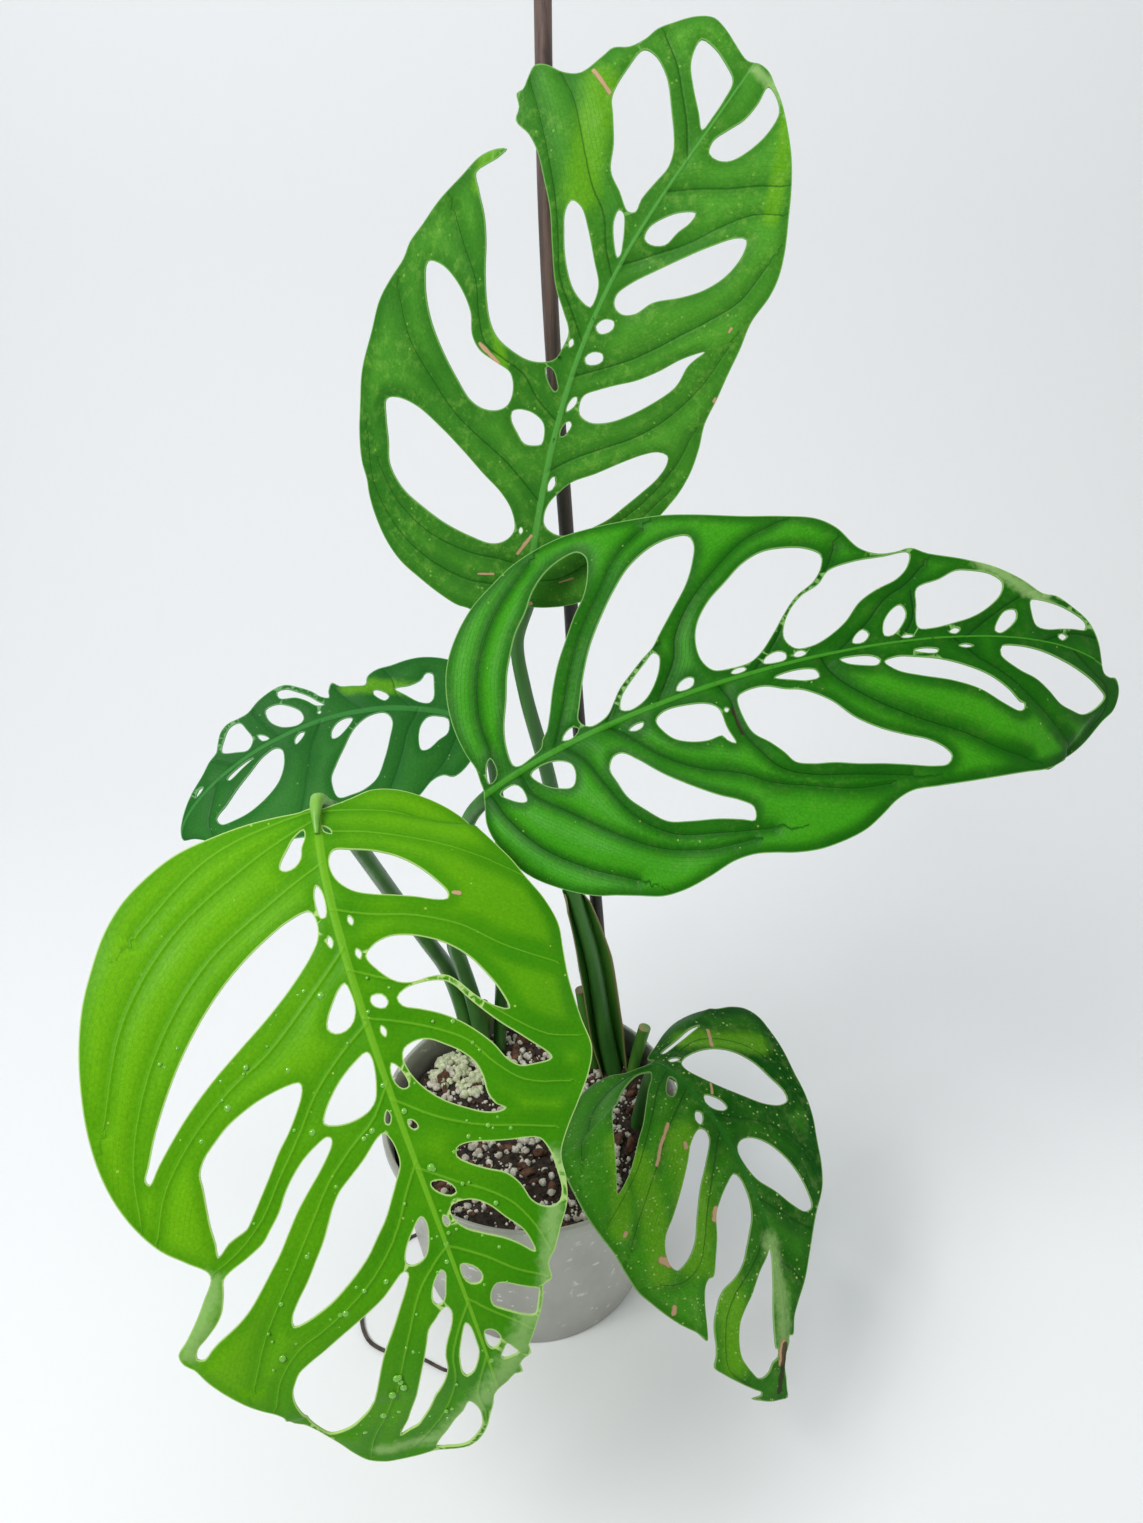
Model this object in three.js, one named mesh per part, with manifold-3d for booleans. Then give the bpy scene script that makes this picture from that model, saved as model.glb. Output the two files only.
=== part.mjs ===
// A potted climbing aroid with long perforated leaves, standing in a plain round nursery pot.
// Millimetres, +Z up. The origin is the centre of the pot's underside, on the surface it stands on.
import * as THREE from 'three';
import { mergeVertices } from 'three/addons/utils/BufferGeometryUtils.js';
import Module from 'manifold-3d';

// Driving dimensions
const POT_RIM_RADIUS = 85;
const POT_HEIGHT = 121;
const POT_BASE_RADIUS = 68;
const POT_WALL = 1.6;
const POT_FLOOR = 2.5;
const LIP_HEIGHT = 7;
const LIP_STEP = 2.2;
const DRAIN_HOLE_RADIUS = 4;
const DRAIN_HOLE_CIRCLE = 46;
const DRAIN_HOLES = 6;
const SOIL_LEVEL = 104;
const SEAT_GAP = 0.35;
const GRAIN_COUNT = 64;
const STAKE_RADIUS = 3.5;
const BLADE_THICKNESS = 1.0;
const RIB_DEPTH = 1.5;
const INNER_GRID = 15;

// Leaves. Each blade is read in its own flat frame: u runs along the midrib from the stalk to the tip,
// v is the distance to either side, in millimetres. The rib is the midrib in space (four Bezier points),
// up gives the face's direction at the base and at the tip, fold and bend (degrees, and degrees per
// 100 mm) shape the two sides (the v > 0 side first, base then tip). Windows are the leaf's holes.
const LEAVES = {
  leaf_front: {
    color: '#69b21a', size: 1,
    rib: [[-75, -83, 379], [-72, -134, 366], [-11, -212, 266], [-4, -214, 212]],
    up: [[0.1, -0.6, 0.8], [0, -0.93, 0.3]], fold: [[0, 0], [-8, -8]], bend: [[8, 8], [-20, -20]],
    stalk: [[-40, 56, 90], [-40, 56, 104], [-41, 55, 130], [-48, 50, 173], [-56, 25, 220],
      [-64, 3, 261], [-69, -48, 331], [-73.5, -72, 368]],
    stalkRadius: [5, 5, 5, 4.8, 4.4, 4.2, 3.8, 3.6],
    margin: [4, -1, 1, -6, -4, -12.5, -10, -20, -12.5, -30, -11, -43, -7, -54, -2, -61, 5, -62.5, 15, -64,
      27, -68, 40, -73, 52, -76.5, 65, -80.5, 78, -82, 90, -79.5, 102, -77, 118, -75.5, 130, -75,
      138, -70, 146, -62, 153, -54.5, 160, -49, 168, -47.6, 176, -45, 184, -39, 190, -34.5, 193, -31.2,
      198.8, -30.4, 199.5, -27, 204, -25.2, 208.5, -22.7, 213, -19.5, 217, -16.8, 219, -15.2,
      222.3, -15.2, 223.5, -12.3, 225.5, -10.2, 229.2, -10.5, 229, -7.5, 231.5, -4.5, 234, -1, 237, 1.2,
      243, 2.8, 250, 5.2, 256, 7.2, 260.5, 9.5, 264.5, 12.6, 266.8, 16, 267.3, 20, 266.8, 25, 266.5, 29,
      267.8, 35, 268.5, 43, 268.3, 48, 265.5, 54, 260, 58, 252, 62, 245, 66, 240, 69, 236.7, 71.7,
      235, 74.5, 231.7, 76.5, 223.3, 76.5, 218.3, 78.3, 213.3, 81.7, 206.7, 85.8, 196.7, 90.8,
      188.3, 94.2, 181.5, 96.2, 178, 98.5, 173.3, 98.7, 170, 95, 165, 90, 158, 84, 150.5, 78.8,
      143, 84.5, 136, 90.5, 126, 95.5, 115, 98.7, 104, 100, 92, 99.7, 80, 98, 67, 95, 55, 90.8,
      45, 85.5, 35, 79, 27.5, 71.7, 20.8, 61.7, 15.8, 51.7, 11.7, 38.3, 8.7, 26.7, 6.7, 16.5, 5, 6.5,
      3.5, 3],
    windows: [
      [23, -5, 23.8, -11.7, 25.8, -20, 30, -28.3, 36.7, -35.3, 44.2, -40.3, 50.8, -43.3, 53.3, -42.5,
        52.7, -38.7, 49.2, -30.8, 46.3, -22.5, 44.2, -15.8, 40.8, -8.7, 35, -3.8, 27.5, -2.6],
      [62.3, -17.5, 63.3, -11.7, 66.7, -7.3, 73.3, -10, 79.2, -15, 81.3, -20, 81.6, -26.7, 83, -32.5,
        86.4, -35.8, 95, -41, 101.5, -47, 103.5, -50.5, 96.7, -50, 86.7, -46.7, 78.3, -42.5,
        70.8, -35.8, 65.8, -28.3, 63.3, -22.5],
      [83, -16.7, 82.9, -24.2, 84.6, -30.6, 87.6, -34, 94, -37.4, 102.2, -42.2, 108, -46, 116.7, -52.5,
        127, -58.7, 126.3, -51.7, 124.7, -46.7, 120.8, -43.3, 113.3, -40.3, 105, -35, 99.2, -30,
        95, -25, 91.3, -19.2, 88.3, -14.2, 85, -13.3],
      [102, -15, 103, -9.8, 105.8, -8.3, 111.7, -8.9, 118.3, -11.7, 125, -16.7, 130.8, -23.3,
        135, -29.2, 136.7, -33.8, 136.5, -36, 134, -33.5, 129.2, -32, 123.3, -32.5, 117.5, -31.7,
        111.7, -28.3, 106.7, -23.3, 103.3, -19.2],
      [142, -17.5, 142.5, -15, 145, -14.2, 148.3, -16.7, 153.3, -22.5, 157.5, -28.3, 163.3, -31.7,
        170, -33.3, 173.3, -35.8, 175.3, -39.2, 175, -42.5, 171.7, -44.7, 165, -45.5, 156.7, -45.5,
        151.7, -43.7, 149.7, -40, 147.5, -33.3, 145, -26.7, 143, -21.7],
      [159.7, -7.4, 160.8, -5.6, 164.2, -5.5, 169.2, -8.3, 173.3, -13.3, 178.3, -20, 182.5, -24.2,
        187, -28, 184, -28, 178.3, -26.7, 171.7, -22.5, 165, -18.3, 160.8, -13.3],
      [192.1, -11.9, 193.5, -9.6, 196.2, -8.1, 199.2, -8.2, 201.5, -10.4, 203.8, -13.1, 206.5, -16.5,
        208.5, -20.8, 206.2, -22.3, 203.1, -23.8, 200.2, -24.8, 198.5, -22.3, 196.5, -19.2,
        193.8, -15.4],
      [12, -1.8, 13.5, -4.5, 15.5, -5, 14.5, -2.5],
      [50.4, -5.2, 52.2, -4.5, 54, -5.4, 52.2, -6.2], [63.2, -4.7, 65, -3.9, 66.9, -4.8, 65, -5.8],
      [81.3, -5, 82, -8.3, 85, -9.5, 86.7, -8, 85.3, -5, 83, -4],
      [92.6, -4.7, 94.5, -4, 96.4, -4.9, 94.5, -5.7],
      [106.2, -3.8, 108.3, -5.5, 113.3, -7, 115.8, -6.7, 115.8, -4.7, 113.3, -3, 109.2, -2.7],
      [126.7, -2.7, 127.5, -4.2, 130, -5, 130.5, -3.7, 128.7, -2.4],
      [149.7, -2.7, 150.3, -5.8, 153.3, -8.8, 156.3, -9.5, 156.7, -7.5, 154.2, -4.2, 151.3, -2.4],
      [162, -2.6, 163.4, -3.7, 165.6, -3.6, 166, -2.5, 164, -1.9],
      [180.7, -2.2, 181.3, -4.2, 184.2, -7, 187.5, -7.8, 189.2, -6.3, 188.3, -3.3, 185.3, -1.8],
      [207.1, -2.3, 207.7, -4.6, 210, -6.2, 212.3, -6.5, 214.8, -4.6, 215, -2.7, 213.1, -1.7,
        209.6, -1.6],
      [215.2, -8.1, 217.7, -9.8, 220.4, -11, 220.9, -8.5, 220.8, -5.4, 219.2, -4.9, 216.9, -6.5],
      [36, 3.7, 38.3, 2.4, 44.2, 2, 48.3, 3, 48.3, 4.6, 44.2, 5.2, 39.2, 5],
      [55.7, 3.7, 57.8, 2.8, 60, 3.8, 57.8, 4.7],
      [12.8, 5.3, 15.8, 5, 20, 6.7, 24.2, 7.5, 27, 10, 27.8, 13.3, 26.7, 15.3, 24.2, 14.7, 20, 12,
        15.8, 9.2],
      [44.7, 8.5, 46.7, 7, 51.7, 6.7, 55.8, 8, 60, 11.3, 65, 16.7, 70.8, 24.2, 76.7, 33.3, 83.3, 45,
        90, 56.7, 96.7, 66.7, 103.3, 75, 109.2, 81.7, 113.7, 86.3, 112, 87, 108.3, 84.7, 100, 79.7,
        90, 72.5, 80, 64.2, 70, 54.2, 61.7, 44.2, 55, 34.2, 50, 25, 46.3, 16.7],
      [73.8, 3, 76.7, 2.1, 83.3, 2.1, 87.5, 4.2, 89.5, 7.5, 89.2, 11.3, 86.7, 13.3, 83.3, 12,
        78.3, 8.3, 75, 5.3],
      [99.4, 3.1, 101.4, 2.2, 106.4, 2.6, 111.4, 3.9, 115.7, 5.7, 118.2, 8.6, 119.5, 12.9,
        119.6, 17.9, 118.6, 22.1, 116.8, 25, 113.9, 23.6, 109.3, 19.6, 105, 14.6, 101.4, 8.6],
      [100.6, 28.9, 101.8, 28.2, 105, 29.4, 109.3, 32.5, 115, 37.5, 120, 42.9, 126.4, 48.6,
        132.1, 53.9, 137.1, 58.6, 140.4, 62.1, 141.4, 65.7, 142.5, 69.3, 145.5, 74, 141.4, 73.2,
        135, 72.7, 127.1, 71.4, 121.4, 70.4, 117.1, 69.9, 114.3, 68.2, 112.1, 66.1, 108.6, 61.1,
        105.7, 56.4, 103.2, 50, 101.6, 44.3, 100.7, 38.6, 100.3, 32.9],
      [121.6, 25.8, 122.5, 24.6, 124.3, 25.1, 127.1, 27.5, 131.4, 32.1, 136.4, 38.2, 141.4, 43.9,
        147.1, 49.3, 152.9, 54.6, 158.6, 60.7, 163.6, 66.1, 167.9, 71.1, 171.1, 76.1, 173.2, 80.7,
        175, 85, 177.1, 88.6, 179.3, 91.6, 177.9, 93.7, 174.3, 92.1, 171.8, 88.2, 168.6, 83.6,
        165.4, 80.4, 159.3, 77.3, 153.9, 75.2, 152.1, 72.1, 150.4, 66.4, 148.6, 61.4, 147.1, 58.2,
        144.3, 55, 139.3, 49.6, 134.3, 45.7, 130, 41.4, 125.7, 35.7, 122.9, 30],
      [120.8, 3, 123, 2.5, 125.4, 4, 124.6, 5, 122.5, 4.4],
      [128.4, 9.3, 127.7, 6.8, 130.7, 5.3, 135, 4.8, 139.6, 5.3, 145, 8.9, 150, 12.5, 155.7, 16.8,
        160.7, 21.8, 165.7, 26.8, 170, 32.5, 173.6, 38.2, 177.1, 44.6, 179.3, 50.7, 180.6, 55.7,
        180.6, 59.6, 177.1, 58.9, 172.1, 55, 166.4, 49.3, 160.7, 44.3, 155, 39.3, 150, 35.7,
        145, 32.1, 140.7, 27.9, 137.1, 22.1, 133.6, 16.4],
      [159.6, 4.9, 161.1, 4, 165.4, 4.4, 170, 6.1, 173.2, 8.2, 174.8, 11.4, 174.7, 14, 173.4, 15.4,
        171.8, 15.2, 167.9, 13.2, 163.6, 9.6],
      [175.9, 17.3, 177.1, 16.2, 179.3, 17.2, 183.6, 20, 188.6, 23.6, 194.3, 27.5, 200, 31.6,
        204.6, 34.6, 210.8, 37.7, 218.5, 40.8, 226.2, 43.5, 232.3, 45.4, 236.2, 47.7, 240, 51.2,
        243.1, 54.6, 245, 58.5, 245.4, 63.6, 242.3, 66, 240, 67.2, 235.4, 69, 230, 69.5, 223.1, 70,
        214.6, 70.2, 208.5, 69.2, 203.8, 66.9, 200, 64.2, 197.3, 59.6, 194.6, 53.5, 191.5, 46.9,
        188.5, 40, 185.4, 33.1, 182.3, 26.9, 179, 22.3],
      [180, 4.8, 181.4, 4, 185.7, 5.4, 190, 7.1, 191.9, 8.9, 191.7, 10.6, 190, 11.4, 185.7, 10,
        182.1, 7.5],
      [193.6, 7.6, 195.4, 6.7, 198.5, 7.3, 202.3, 9.2, 206.9, 11.9, 212.3, 14.1, 218.5, 15,
        223.1, 16.7, 229.2, 20, 234.6, 23.1, 240, 25.8, 245.4, 29.2, 249.6, 32.3, 251.2, 35.4,
        253.6, 39.3, 250, 37.7, 245.4, 35, 240, 32.7, 233.1, 29.6, 226.2, 27.5, 218.5, 24.6,
        210.8, 21.2, 205.4, 18.8, 200, 16.2, 196.9, 12.7, 194.2, 9.6],
      [201.9, 3.2, 203.8, 2.2, 209.2, 2, 214.6, 2.3, 219.2, 4.2, 223.1, 6.5, 224.8, 9.2, 223.1, 10.2,
        218.5, 10, 213.1, 8.8, 208.5, 6.9, 204.6, 5],
      [239.6, 11.2, 241.5, 9.6, 245.4, 8.3, 251.5, 8.4, 255.4, 9.2, 259.2, 11.2, 262.7, 13.8,
        265.2, 16.5, 265.8, 20, 265.2, 24, 264.4, 27.8, 260, 25.8, 255.4, 22.3, 249.2, 18.1,
        244.6, 14.2],
    ],
  },
  leaf_right: {
    color: '#2f7d1c', size: 0.94,
    rib: [[-15.5, -45.3, 356.1], [56.8, -33.1, 412.5], [217.6, -26.5, 450.1], [252.4, -27.5, 401.2]],
    up: [[-0.15, -0.72, 0.66], [0.05, -0.72, 0.66]], fold: [[6, 6], [6, 6]],
    bend: [[-14, -14], [-14, -14]],
    stalk: [[-30, 50, 90], [-30, 50, 104], [-34, 47, 150], [-39, 32, 198], [-40.7, 22.5, 219],
      [-32, -5, 278], [-22.6, -33.5, 337.3]],
    stalkRadius: [5, 5, 4.7, 4.3, 4.1, 3.7, 3.4],
    margin: [2, -2, 2.8, -5.5, 4.5, -12.5, 4.2, -19.5, 5, -30, 7.1, -40.5, 10.6, -51, 15.9, -61.5,
      23.8, -71.1, 34.3, -79.9, 44.8, -85.1, 55.3, -89.5, 65.8, -91.6, 78, -92.1, 92, -90, 106, -86.9,
      118.3, -83.7, 130.5, -79, 142.8, -73.8, 149.8, -71.1, 163.8, -66.8, 176, -62.4, 183, -56.3,
      190, -44.9, 197, -41, 204, -40.8, 210.1, -41.9, 216.3, -38.8, 230.3, -35.3, 242.5, -31.8,
      253, -26.9, 261.8, -21.7, 267, -21.8, 274, -18.8, 281.9, -14.8, 288, -9, 293.3, -2, 297.6, 2.4,
      302, 1.5, 304.6, -0.6, 309.9, 0.6, 313.4, 4.1, 315.5, 9.4, 314.6, 17.3, 314.6, 33, 312.5, 43.5,
      307.3, 54.9, 302.9, 50.5, 296.8, 48.8, 289.8, 49.3, 281, 53.1, 268.8, 57.5, 254.8, 60.1,
      237.3, 62.8, 221.5, 64.5, 205.8, 65.4, 191.8, 65.9, 183, 68.9, 174.3, 74.1, 165.5, 78.5,
      155, 81.1, 141, 82.4, 128.8, 81.1, 118.3, 78.5, 109.5, 76.8, 99, 76.8, 85, 79.4, 71, 80.8,
      58.8, 79.7, 46.5, 75, 36, 70.6, 25.5, 66.3, 11.5, 56.6, -0.8, 43, -4.5, 31, -6, 21, -5.1, 12,
      -0.8, 3.3],
    windows: [
      [5.9, -3.4, 7.1, -7.3, 9.8, -11.1, 12.4, -12.5, 12.7, -9, 11.2, -4.6, 8, -2.7],
      [19.9, -4.1, 21.1, -12.5, 24.6, -21.3, 30.8, -31.8, 36, -42.3, 40.4, -49.3, 46.5, -58, 53.5, -65,
        59.6, -72.9, 67.5, -79, 75.4, -81.6, 81.5, -81.6, 84.1, -77.3, 82.4, -69.4, 78, -60.6,
        71, -52.8, 64, -44, 57, -35.3, 50, -24.8, 44.8, -16, 40.4, -9.9, 36.9, -7.3, 35.1, -4.6,
        27.3, -2.6, 22, -2.4],
      [45.1, -2.9, 48.3, -5.5, 51.8, -6, 53.8, -4.1, 50.9, -2, 47.4, -1.8],
      [55.4, -7.4, 58.8, -14.3, 65.8, -26.5, 72.8, -37, 81.5, -47.5, 90.3, -57.1, 99, -65,
        109.5, -70.3, 118.3, -71.5, 125.3, -69.9, 126.5, -65, 123.5, -56.3, 118.3, -47.5,
        109.5, -37.9, 100.8, -29.1, 96.9, -25.1, 91.1, -21.8, 84.1, -17.4, 77.1, -12.8, 72.8, -8.5,
        67.5, -4, 58.8, -3],
      [74.5, -4.1, 75.4, -7, 78, -10.4, 85, -15.5, 92, -20, 96.4, -22.6, 98.1, -20.4, 96.4, -15.1,
        92, -9, 85.9, -4.1, 78, -2.4],
      [100.4, -2.9, 102.5, -5.5, 106.9, -6.7, 109, -5.5, 107.8, -2.8, 104.3, -1.9],
      [114.8, -12.5, 115.1, -21.3, 118.3, -29.1, 125.3, -37, 134, -43.1, 142.8, -49.3, 151.5, -52.4,
        160.3, -51.9, 169, -49.3, 174.3, -44.9, 173.4, -39.6, 169, -33.5, 160.3, -28.3, 153.3, -21.3,
        147.1, -14.3, 139.3, -7.2, 134, -4.8, 125.3, -4.8, 118.3, -6.4],
      [125.5, -2.6, 127, -3.6, 131, -3.6, 132, -2.4, 129.5, -1.7, 127, -1.8],
      [140.1, -2.9, 141.9, -5.1, 147.1, -6.3, 150.2, -4.6, 149.7, -2.2, 144.5, -1.8],
      [153.5, -2.6, 154.7, -3.9, 157, -4.2, 159, -2.8, 157.5, -1.9, 155, -1.8],
      [151.5, -10.8, 152.4, -16, 156.8, -23, 162.9, -28.3, 170.8, -31.8, 176, -37, 186.5, -39.1,
        198.8, -39.4, 209, -39.8, 207.5, -33.5, 202.3, -28.3, 193.5, -24.8, 185.6, -20.4,
        177.8, -12.5, 169, -7.3, 162, -5.2, 155, -5.8],
      [179.5, -2.9, 180.9, -5.5, 184.8, -7.8, 186.9, -5.5, 183.9, -2.4],
      [193.5, -3.8, 193.9, -9, 197.9, -14.3, 202.3, -16.4, 204, -12.5, 201.4, -7.3, 197, -3.6],
      [200.6, -2.1, 203.3, -2.9, 206, -2.1, 203.3, -1.5],
      [208.4, -5.5, 208.9, -16, 210.1, -23, 219.8, -26.5, 226.8, -30, 232, -30, 240.8, -28.3,
        245.1, -24.8, 244.3, -19.5, 239, -13.4, 232, -9, 223.3, -6.4, 214.5, -4.8],
      [221.5, -2.4, 224.1, -4.1, 226.2, -3.4, 224.1, -1.7],
      [241.6, -2.9, 242.5, -6.4, 246, -11.6, 250.4, -12.5, 250.9, -9, 247.8, -4.6, 243.6, -1.9],
      [257.4, -12.5, 257, -17.8, 263.5, -18.3, 272.3, -16.9, 281, -13.5, 281.5, -10.8, 275.8, -9,
        270.5, -7.5, 265.3, -6, 260, -6.6],
      [270.2, -3.8, 271.9, -5.5, 274.2, -4.9, 272.3, -2.7],
      [8, 4.1, 11.5, 3.3, 15.9, 4.1, 18.2, 7.6, 17.6, 13.8, 15, 12.9, 10.6, 8.5],
      [25, 4.1, 30.8, 2.9, 39.5, 5, 44.2, 9.4, 43.9, 14.6, 40.4, 18.7, 34.3, 16.4, 29, 12],
      [60.5, 26, 59.6, 19, 63.1, 14.6, 67.5, 14.6, 72.8, 19.9, 81.5, 30.4, 92, 40, 102.5, 47.9,
        111.3, 53.1, 116.2, 57.5, 114.8, 62.8, 109.5, 61, 99, 57.5, 85, 54, 75.4, 50.5, 67.5, 41.8,
        62.3, 33.9],
      [74.5, 6.2, 77.1, 5, 81.5, 5.4, 80.6, 7.1, 77.1, 7.6],
      [87.3, 6.8, 92, 4.1, 102.5, 5, 111.3, 7.6, 115.1, 11.1, 116, 20.8, 117.6, 28.4, 114.5, 26,
        113, 23.4, 106, 23.4, 97.3, 20.8, 91.1, 16.4],
      [117.4, 12.9, 118.3, 11.9, 119.4, 12.9, 118.3, 14],
      [124.9, 9, 128.8, 7.3, 137.5, 7.5, 146, 11.2, 153, 13.4, 163.8, 20.8, 172.5, 30.4, 183, 37.4,
        193.5, 41.8, 204, 45.3, 211, 49.6, 213.6, 53.1, 211, 56.3, 204, 56.6, 193.5, 54.9,
        181.3, 52.6, 169, 50.5, 158.5, 47.9, 148, 46.1, 141, 43.5, 137.5, 38.3, 132.3, 32.1,
        127, 26.9, 124.9, 20.8],
      [143, 4.9, 148, 4, 156.8, 4.4, 161, 6, 161.6, 9.4, 156, 9.7, 150, 7.8],
      [172.5, 3.6, 177.8, 3.3, 186.5, 4.7, 189.3, 6.8, 187.8, 8.9, 181.3, 8, 175.1, 5.9],
      [191.2, 8.2, 197, 6.6, 205.8, 7.8, 216.3, 9.9, 226.8, 13.4, 237.3, 18.1, 246, 24.3,
        251.3, 29.5, 253.5, 30, 253, 32.5, 250.4, 33.5, 242.5, 30.4, 232, 24.3, 219.8, 19.9,
        205.8, 16.4, 196.1, 12.9],
      [204.9, 4.7, 209.3, 4.1, 215.4, 5.3, 214.5, 6.6, 208.4, 6],
      [225, 4.1, 228, 3.4, 231.1, 4.3, 228, 5],
      [243.4, 8.5, 244.3, 4.4, 251.3, 3.6, 261.8, 4.4, 274, 6.8, 286.3, 8.9, 298.5, 9.9, 306.4, 10.3,
        305.9, 16.4, 300.3, 22.5, 291.5, 26.9, 282.8, 27.8, 274, 26.9, 267, 22.5, 260, 18.1,
        251.3, 14.6],
    ],
  },
  leaf_upper: {
    color: '#3c8a22', size: 0.975,
    rib: [[2.5, 24, 415], [18.1, 48.4, 537.8], [45.4, 17.2, 565.1], [90.3, 54.3, 620.7]],
    up: [[-0.1, -0.95, 0.2], [-0.2, -0.95, 0.25]], fold: [[4, 4], [4, 4]],
    bend: [[-14, -14], [-14, -14]],
    stalk: [[49, 41.5, 90], [48, 42, 104], [43, 46.5, 131], [35, 48, 188], [24, 45.6, 237.6],
      [11.2, 33.8, 319.4], [0.5, 30.4, 369.4], [-2.4, 30, 395.5]],
    stalkRadius: [5.4, 5.4, 5.2, 4.5, 4.2, 3.8, 3.4, 3.2],
    margin: [-1, -2, -5, -12, -7, -20, -5, -27.5, -4.2, -32.5, 0, -41.7, 5, -50.8, 11.7, -61.7, 20, -70,
      30, -76.7, 36.7, -80, 41.7, -81.7, 48.3, -85.3, 58.3, -88.3, 68.3, -90, 80, -92, 93.3, -91.3,
      103.3, -91.2, 110, -89.2, 118.3, -85.8, 123.3, -85.5, 130, -82.8, 138.3, -80, 148.3, -75.3,
      156.7, -71.7, 161.7, -66.7, 163.3, -63.3, 159.2, -65, 155, -68.3, 151.7, -70.3, 147.5, -65.8,
      141.7, -59.2, 135, -54.2, 126.7, -50, 118.3, -45.3, 111.7, -40.8, 107.5, -35.8, 105, -28.3,
      103.9, -20, 105.4, -13.3, 108.5, -9, 113.3, -7.8, 120, -7.6, 126.7, -13.3, 133.3, -20,
      145, -28.3, 155, -35.8, 161.7, -43.3, 168.3, -51.7, 171.3, -58.3, 172.5, -65.8, 176.7, -67.5,
      180, -71.3, 182.5, -70, 186.7, -70.8, 192, -71.3, 194.7, -67.5, 196.3, -60, 200, -54.2,
      210, -50.8, 215.8, -49.2, 220, -44.2, 226.7, -40.8, 233.3, -39.2, 240, -35, 246.7, -29.2,
      250, -23.3, 248.7, -16.7, 245.8, -10, 243.3, -3, 245, 1.7, 244.2, 6.7, 240.8, 11.7,
      236.7, 17.5, 230, 25, 221.7, 33.3, 213.3, 40, 203.3, 46.7, 193.3, 53, 185, 56.7, 176.7, 58.3,
      163.3, 58, 150, 60, 136.7, 60.8, 121.7, 61.3, 106.7, 60.8, 93.3, 62.2, 80, 62, 68.3, 59.7,
      60, 56.5, 50, 52, 36, 47, 22, 41, 11, 33, 4, 22, 0.5, 10, -0.5, 2.5],
    windows: [
      [25.8, -20, 27.5, -30, 30.8, -41.7, 35.8, -53.3, 41.7, -64.2, 50, -71.7, 58.3, -73.8,
        66.7, -76.7, 72.8, -78, 74.7, -73.3, 73.8, -63.3, 68.3, -50, 61.7, -38.3, 55, -28.3,
        48.3, -18.3, 41.7, -12.5, 34.2, -10, 30, -11.7, 27.2, -15],
      [32.2, -7, 33.8, -6.1, 35.4, -7, 33.8, -7.9],
      [71.7, -7.5, 71.3, -12.5, 75, -16.7, 79.2, -20.3, 82.5, -20.8, 84.2, -18.3, 84.5, -11.7,
        81.7, -6.3, 76.7, -4.7, 73, -5],
      [80.3, -33.3, 82, -40, 88.3, -48.3, 96.7, -58.3, 105, -66.7, 113.3, -72.5, 120.5, -75,
        121.7, -68.3, 118.3, -58.3, 111.7, -50, 105, -46.7, 100.8, -41.7, 98.7, -33.3, 96.7, -25.8,
        90.8, -22.8, 85, -23.3, 81.7, -26.7],
      [95.8, -5, 98.3, -8.6, 103, -11.6, 104.4, -10.9, 103.5, -8, 99.5, -5.2, 97.5, -4.2],
      [114.7, -5, 116.5, -3.9, 118.3, -5, 116.5, -6.1],
      [132.5, -3.3, 133, -7.5, 135.8, -13.3, 143.3, -20.8, 151.7, -26.7, 157.5, -30, 161.7, -30,
        161.7, -25, 156.7, -18.3, 148.3, -10, 141.7, -4.2, 135.8, -2.8],
      [154.2, -2.5, 158.3, -6.7, 164.2, -10.8, 168.6, -11.5, 168.6, -9.2, 165, -6.3, 159.2, -3.3,
        155.8, -2],
      [170.3, -8.2, 174.2, -15, 178.3, -22.5, 186.7, -27.5, 195, -34.2, 200, -38.3, 213.3, -39.7,
        222.5, -38.8, 223.3, -34.2, 219.2, -25.8, 210, -16.7, 198.3, -6.7, 191.7, -4.5, 185, -5.3,
        176.7, -6.3, 171.7, -5.6],
      [210.8, -2, 215, -6.7, 221.7, -14.2, 228.3, -20, 235, -22.5, 240, -22.5, 240, -16.7,
        237.5, -10, 233.3, -3.3, 225, -1.8, 216.7, -1.6],
      [35, 11.7, 35.8, 6.7, 38.3, 3.3, 43.3, 2.5, 48.3, 3.7, 53.3, 6.7, 60, 12, 66.7, 21.7,
        75, 31.7, 81.7, 40, 85, 45.8, 84.7, 50, 80, 50.8, 71.7, 48.3, 63.3, 43.3, 55, 37.5,
        46.7, 31, 39, 21],
      [53.7, 2.2, 56.5, 1.7, 60, 3, 60.5, 4.4, 58.3, 4.9, 55, 4],
      [78.5, 2.4, 81, 2, 85, 3.6, 85.8, 5, 84.5, 6, 81, 5, 79, 3.8],
      [89.5, 2.2, 92, 2, 96, 3.5, 96.7, 4.9, 94.2, 5.4, 91, 3.8],
      [88.3, 13.3, 90, 8.3, 93.6, 7, 98.3, 7.6, 103.3, 13.3, 108.3, 20, 113.3, 26.7, 121.7, 34.2,
        131.7, 40.8, 140, 47.8, 135, 45.8, 130, 44.2, 121.7, 43.7, 116.7, 42.5, 106.7, 36.7,
        96.7, 28.3, 90.8, 20.8],
      [111.3, 4.2, 113.3, 2.8, 116.7, 5, 117.8, 9.2, 115.3, 10.3, 112.5, 8],
      [125, 4.2, 126.7, 2.2, 130.8, 4.2, 132, 8.3, 129.2, 9.2, 125.8, 6.7],
      [136.2, 10, 137.5, 5.8, 141.7, 4.5, 148.3, 7.5, 158.3, 14.2, 168.3, 20.8, 178.3, 27.5,
        186.7, 34.2, 188.3, 37.5, 183.3, 39.7, 173.3, 39.2, 163.3, 35, 155, 28.3, 146.7, 19.2,
        139.2, 15],
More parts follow.
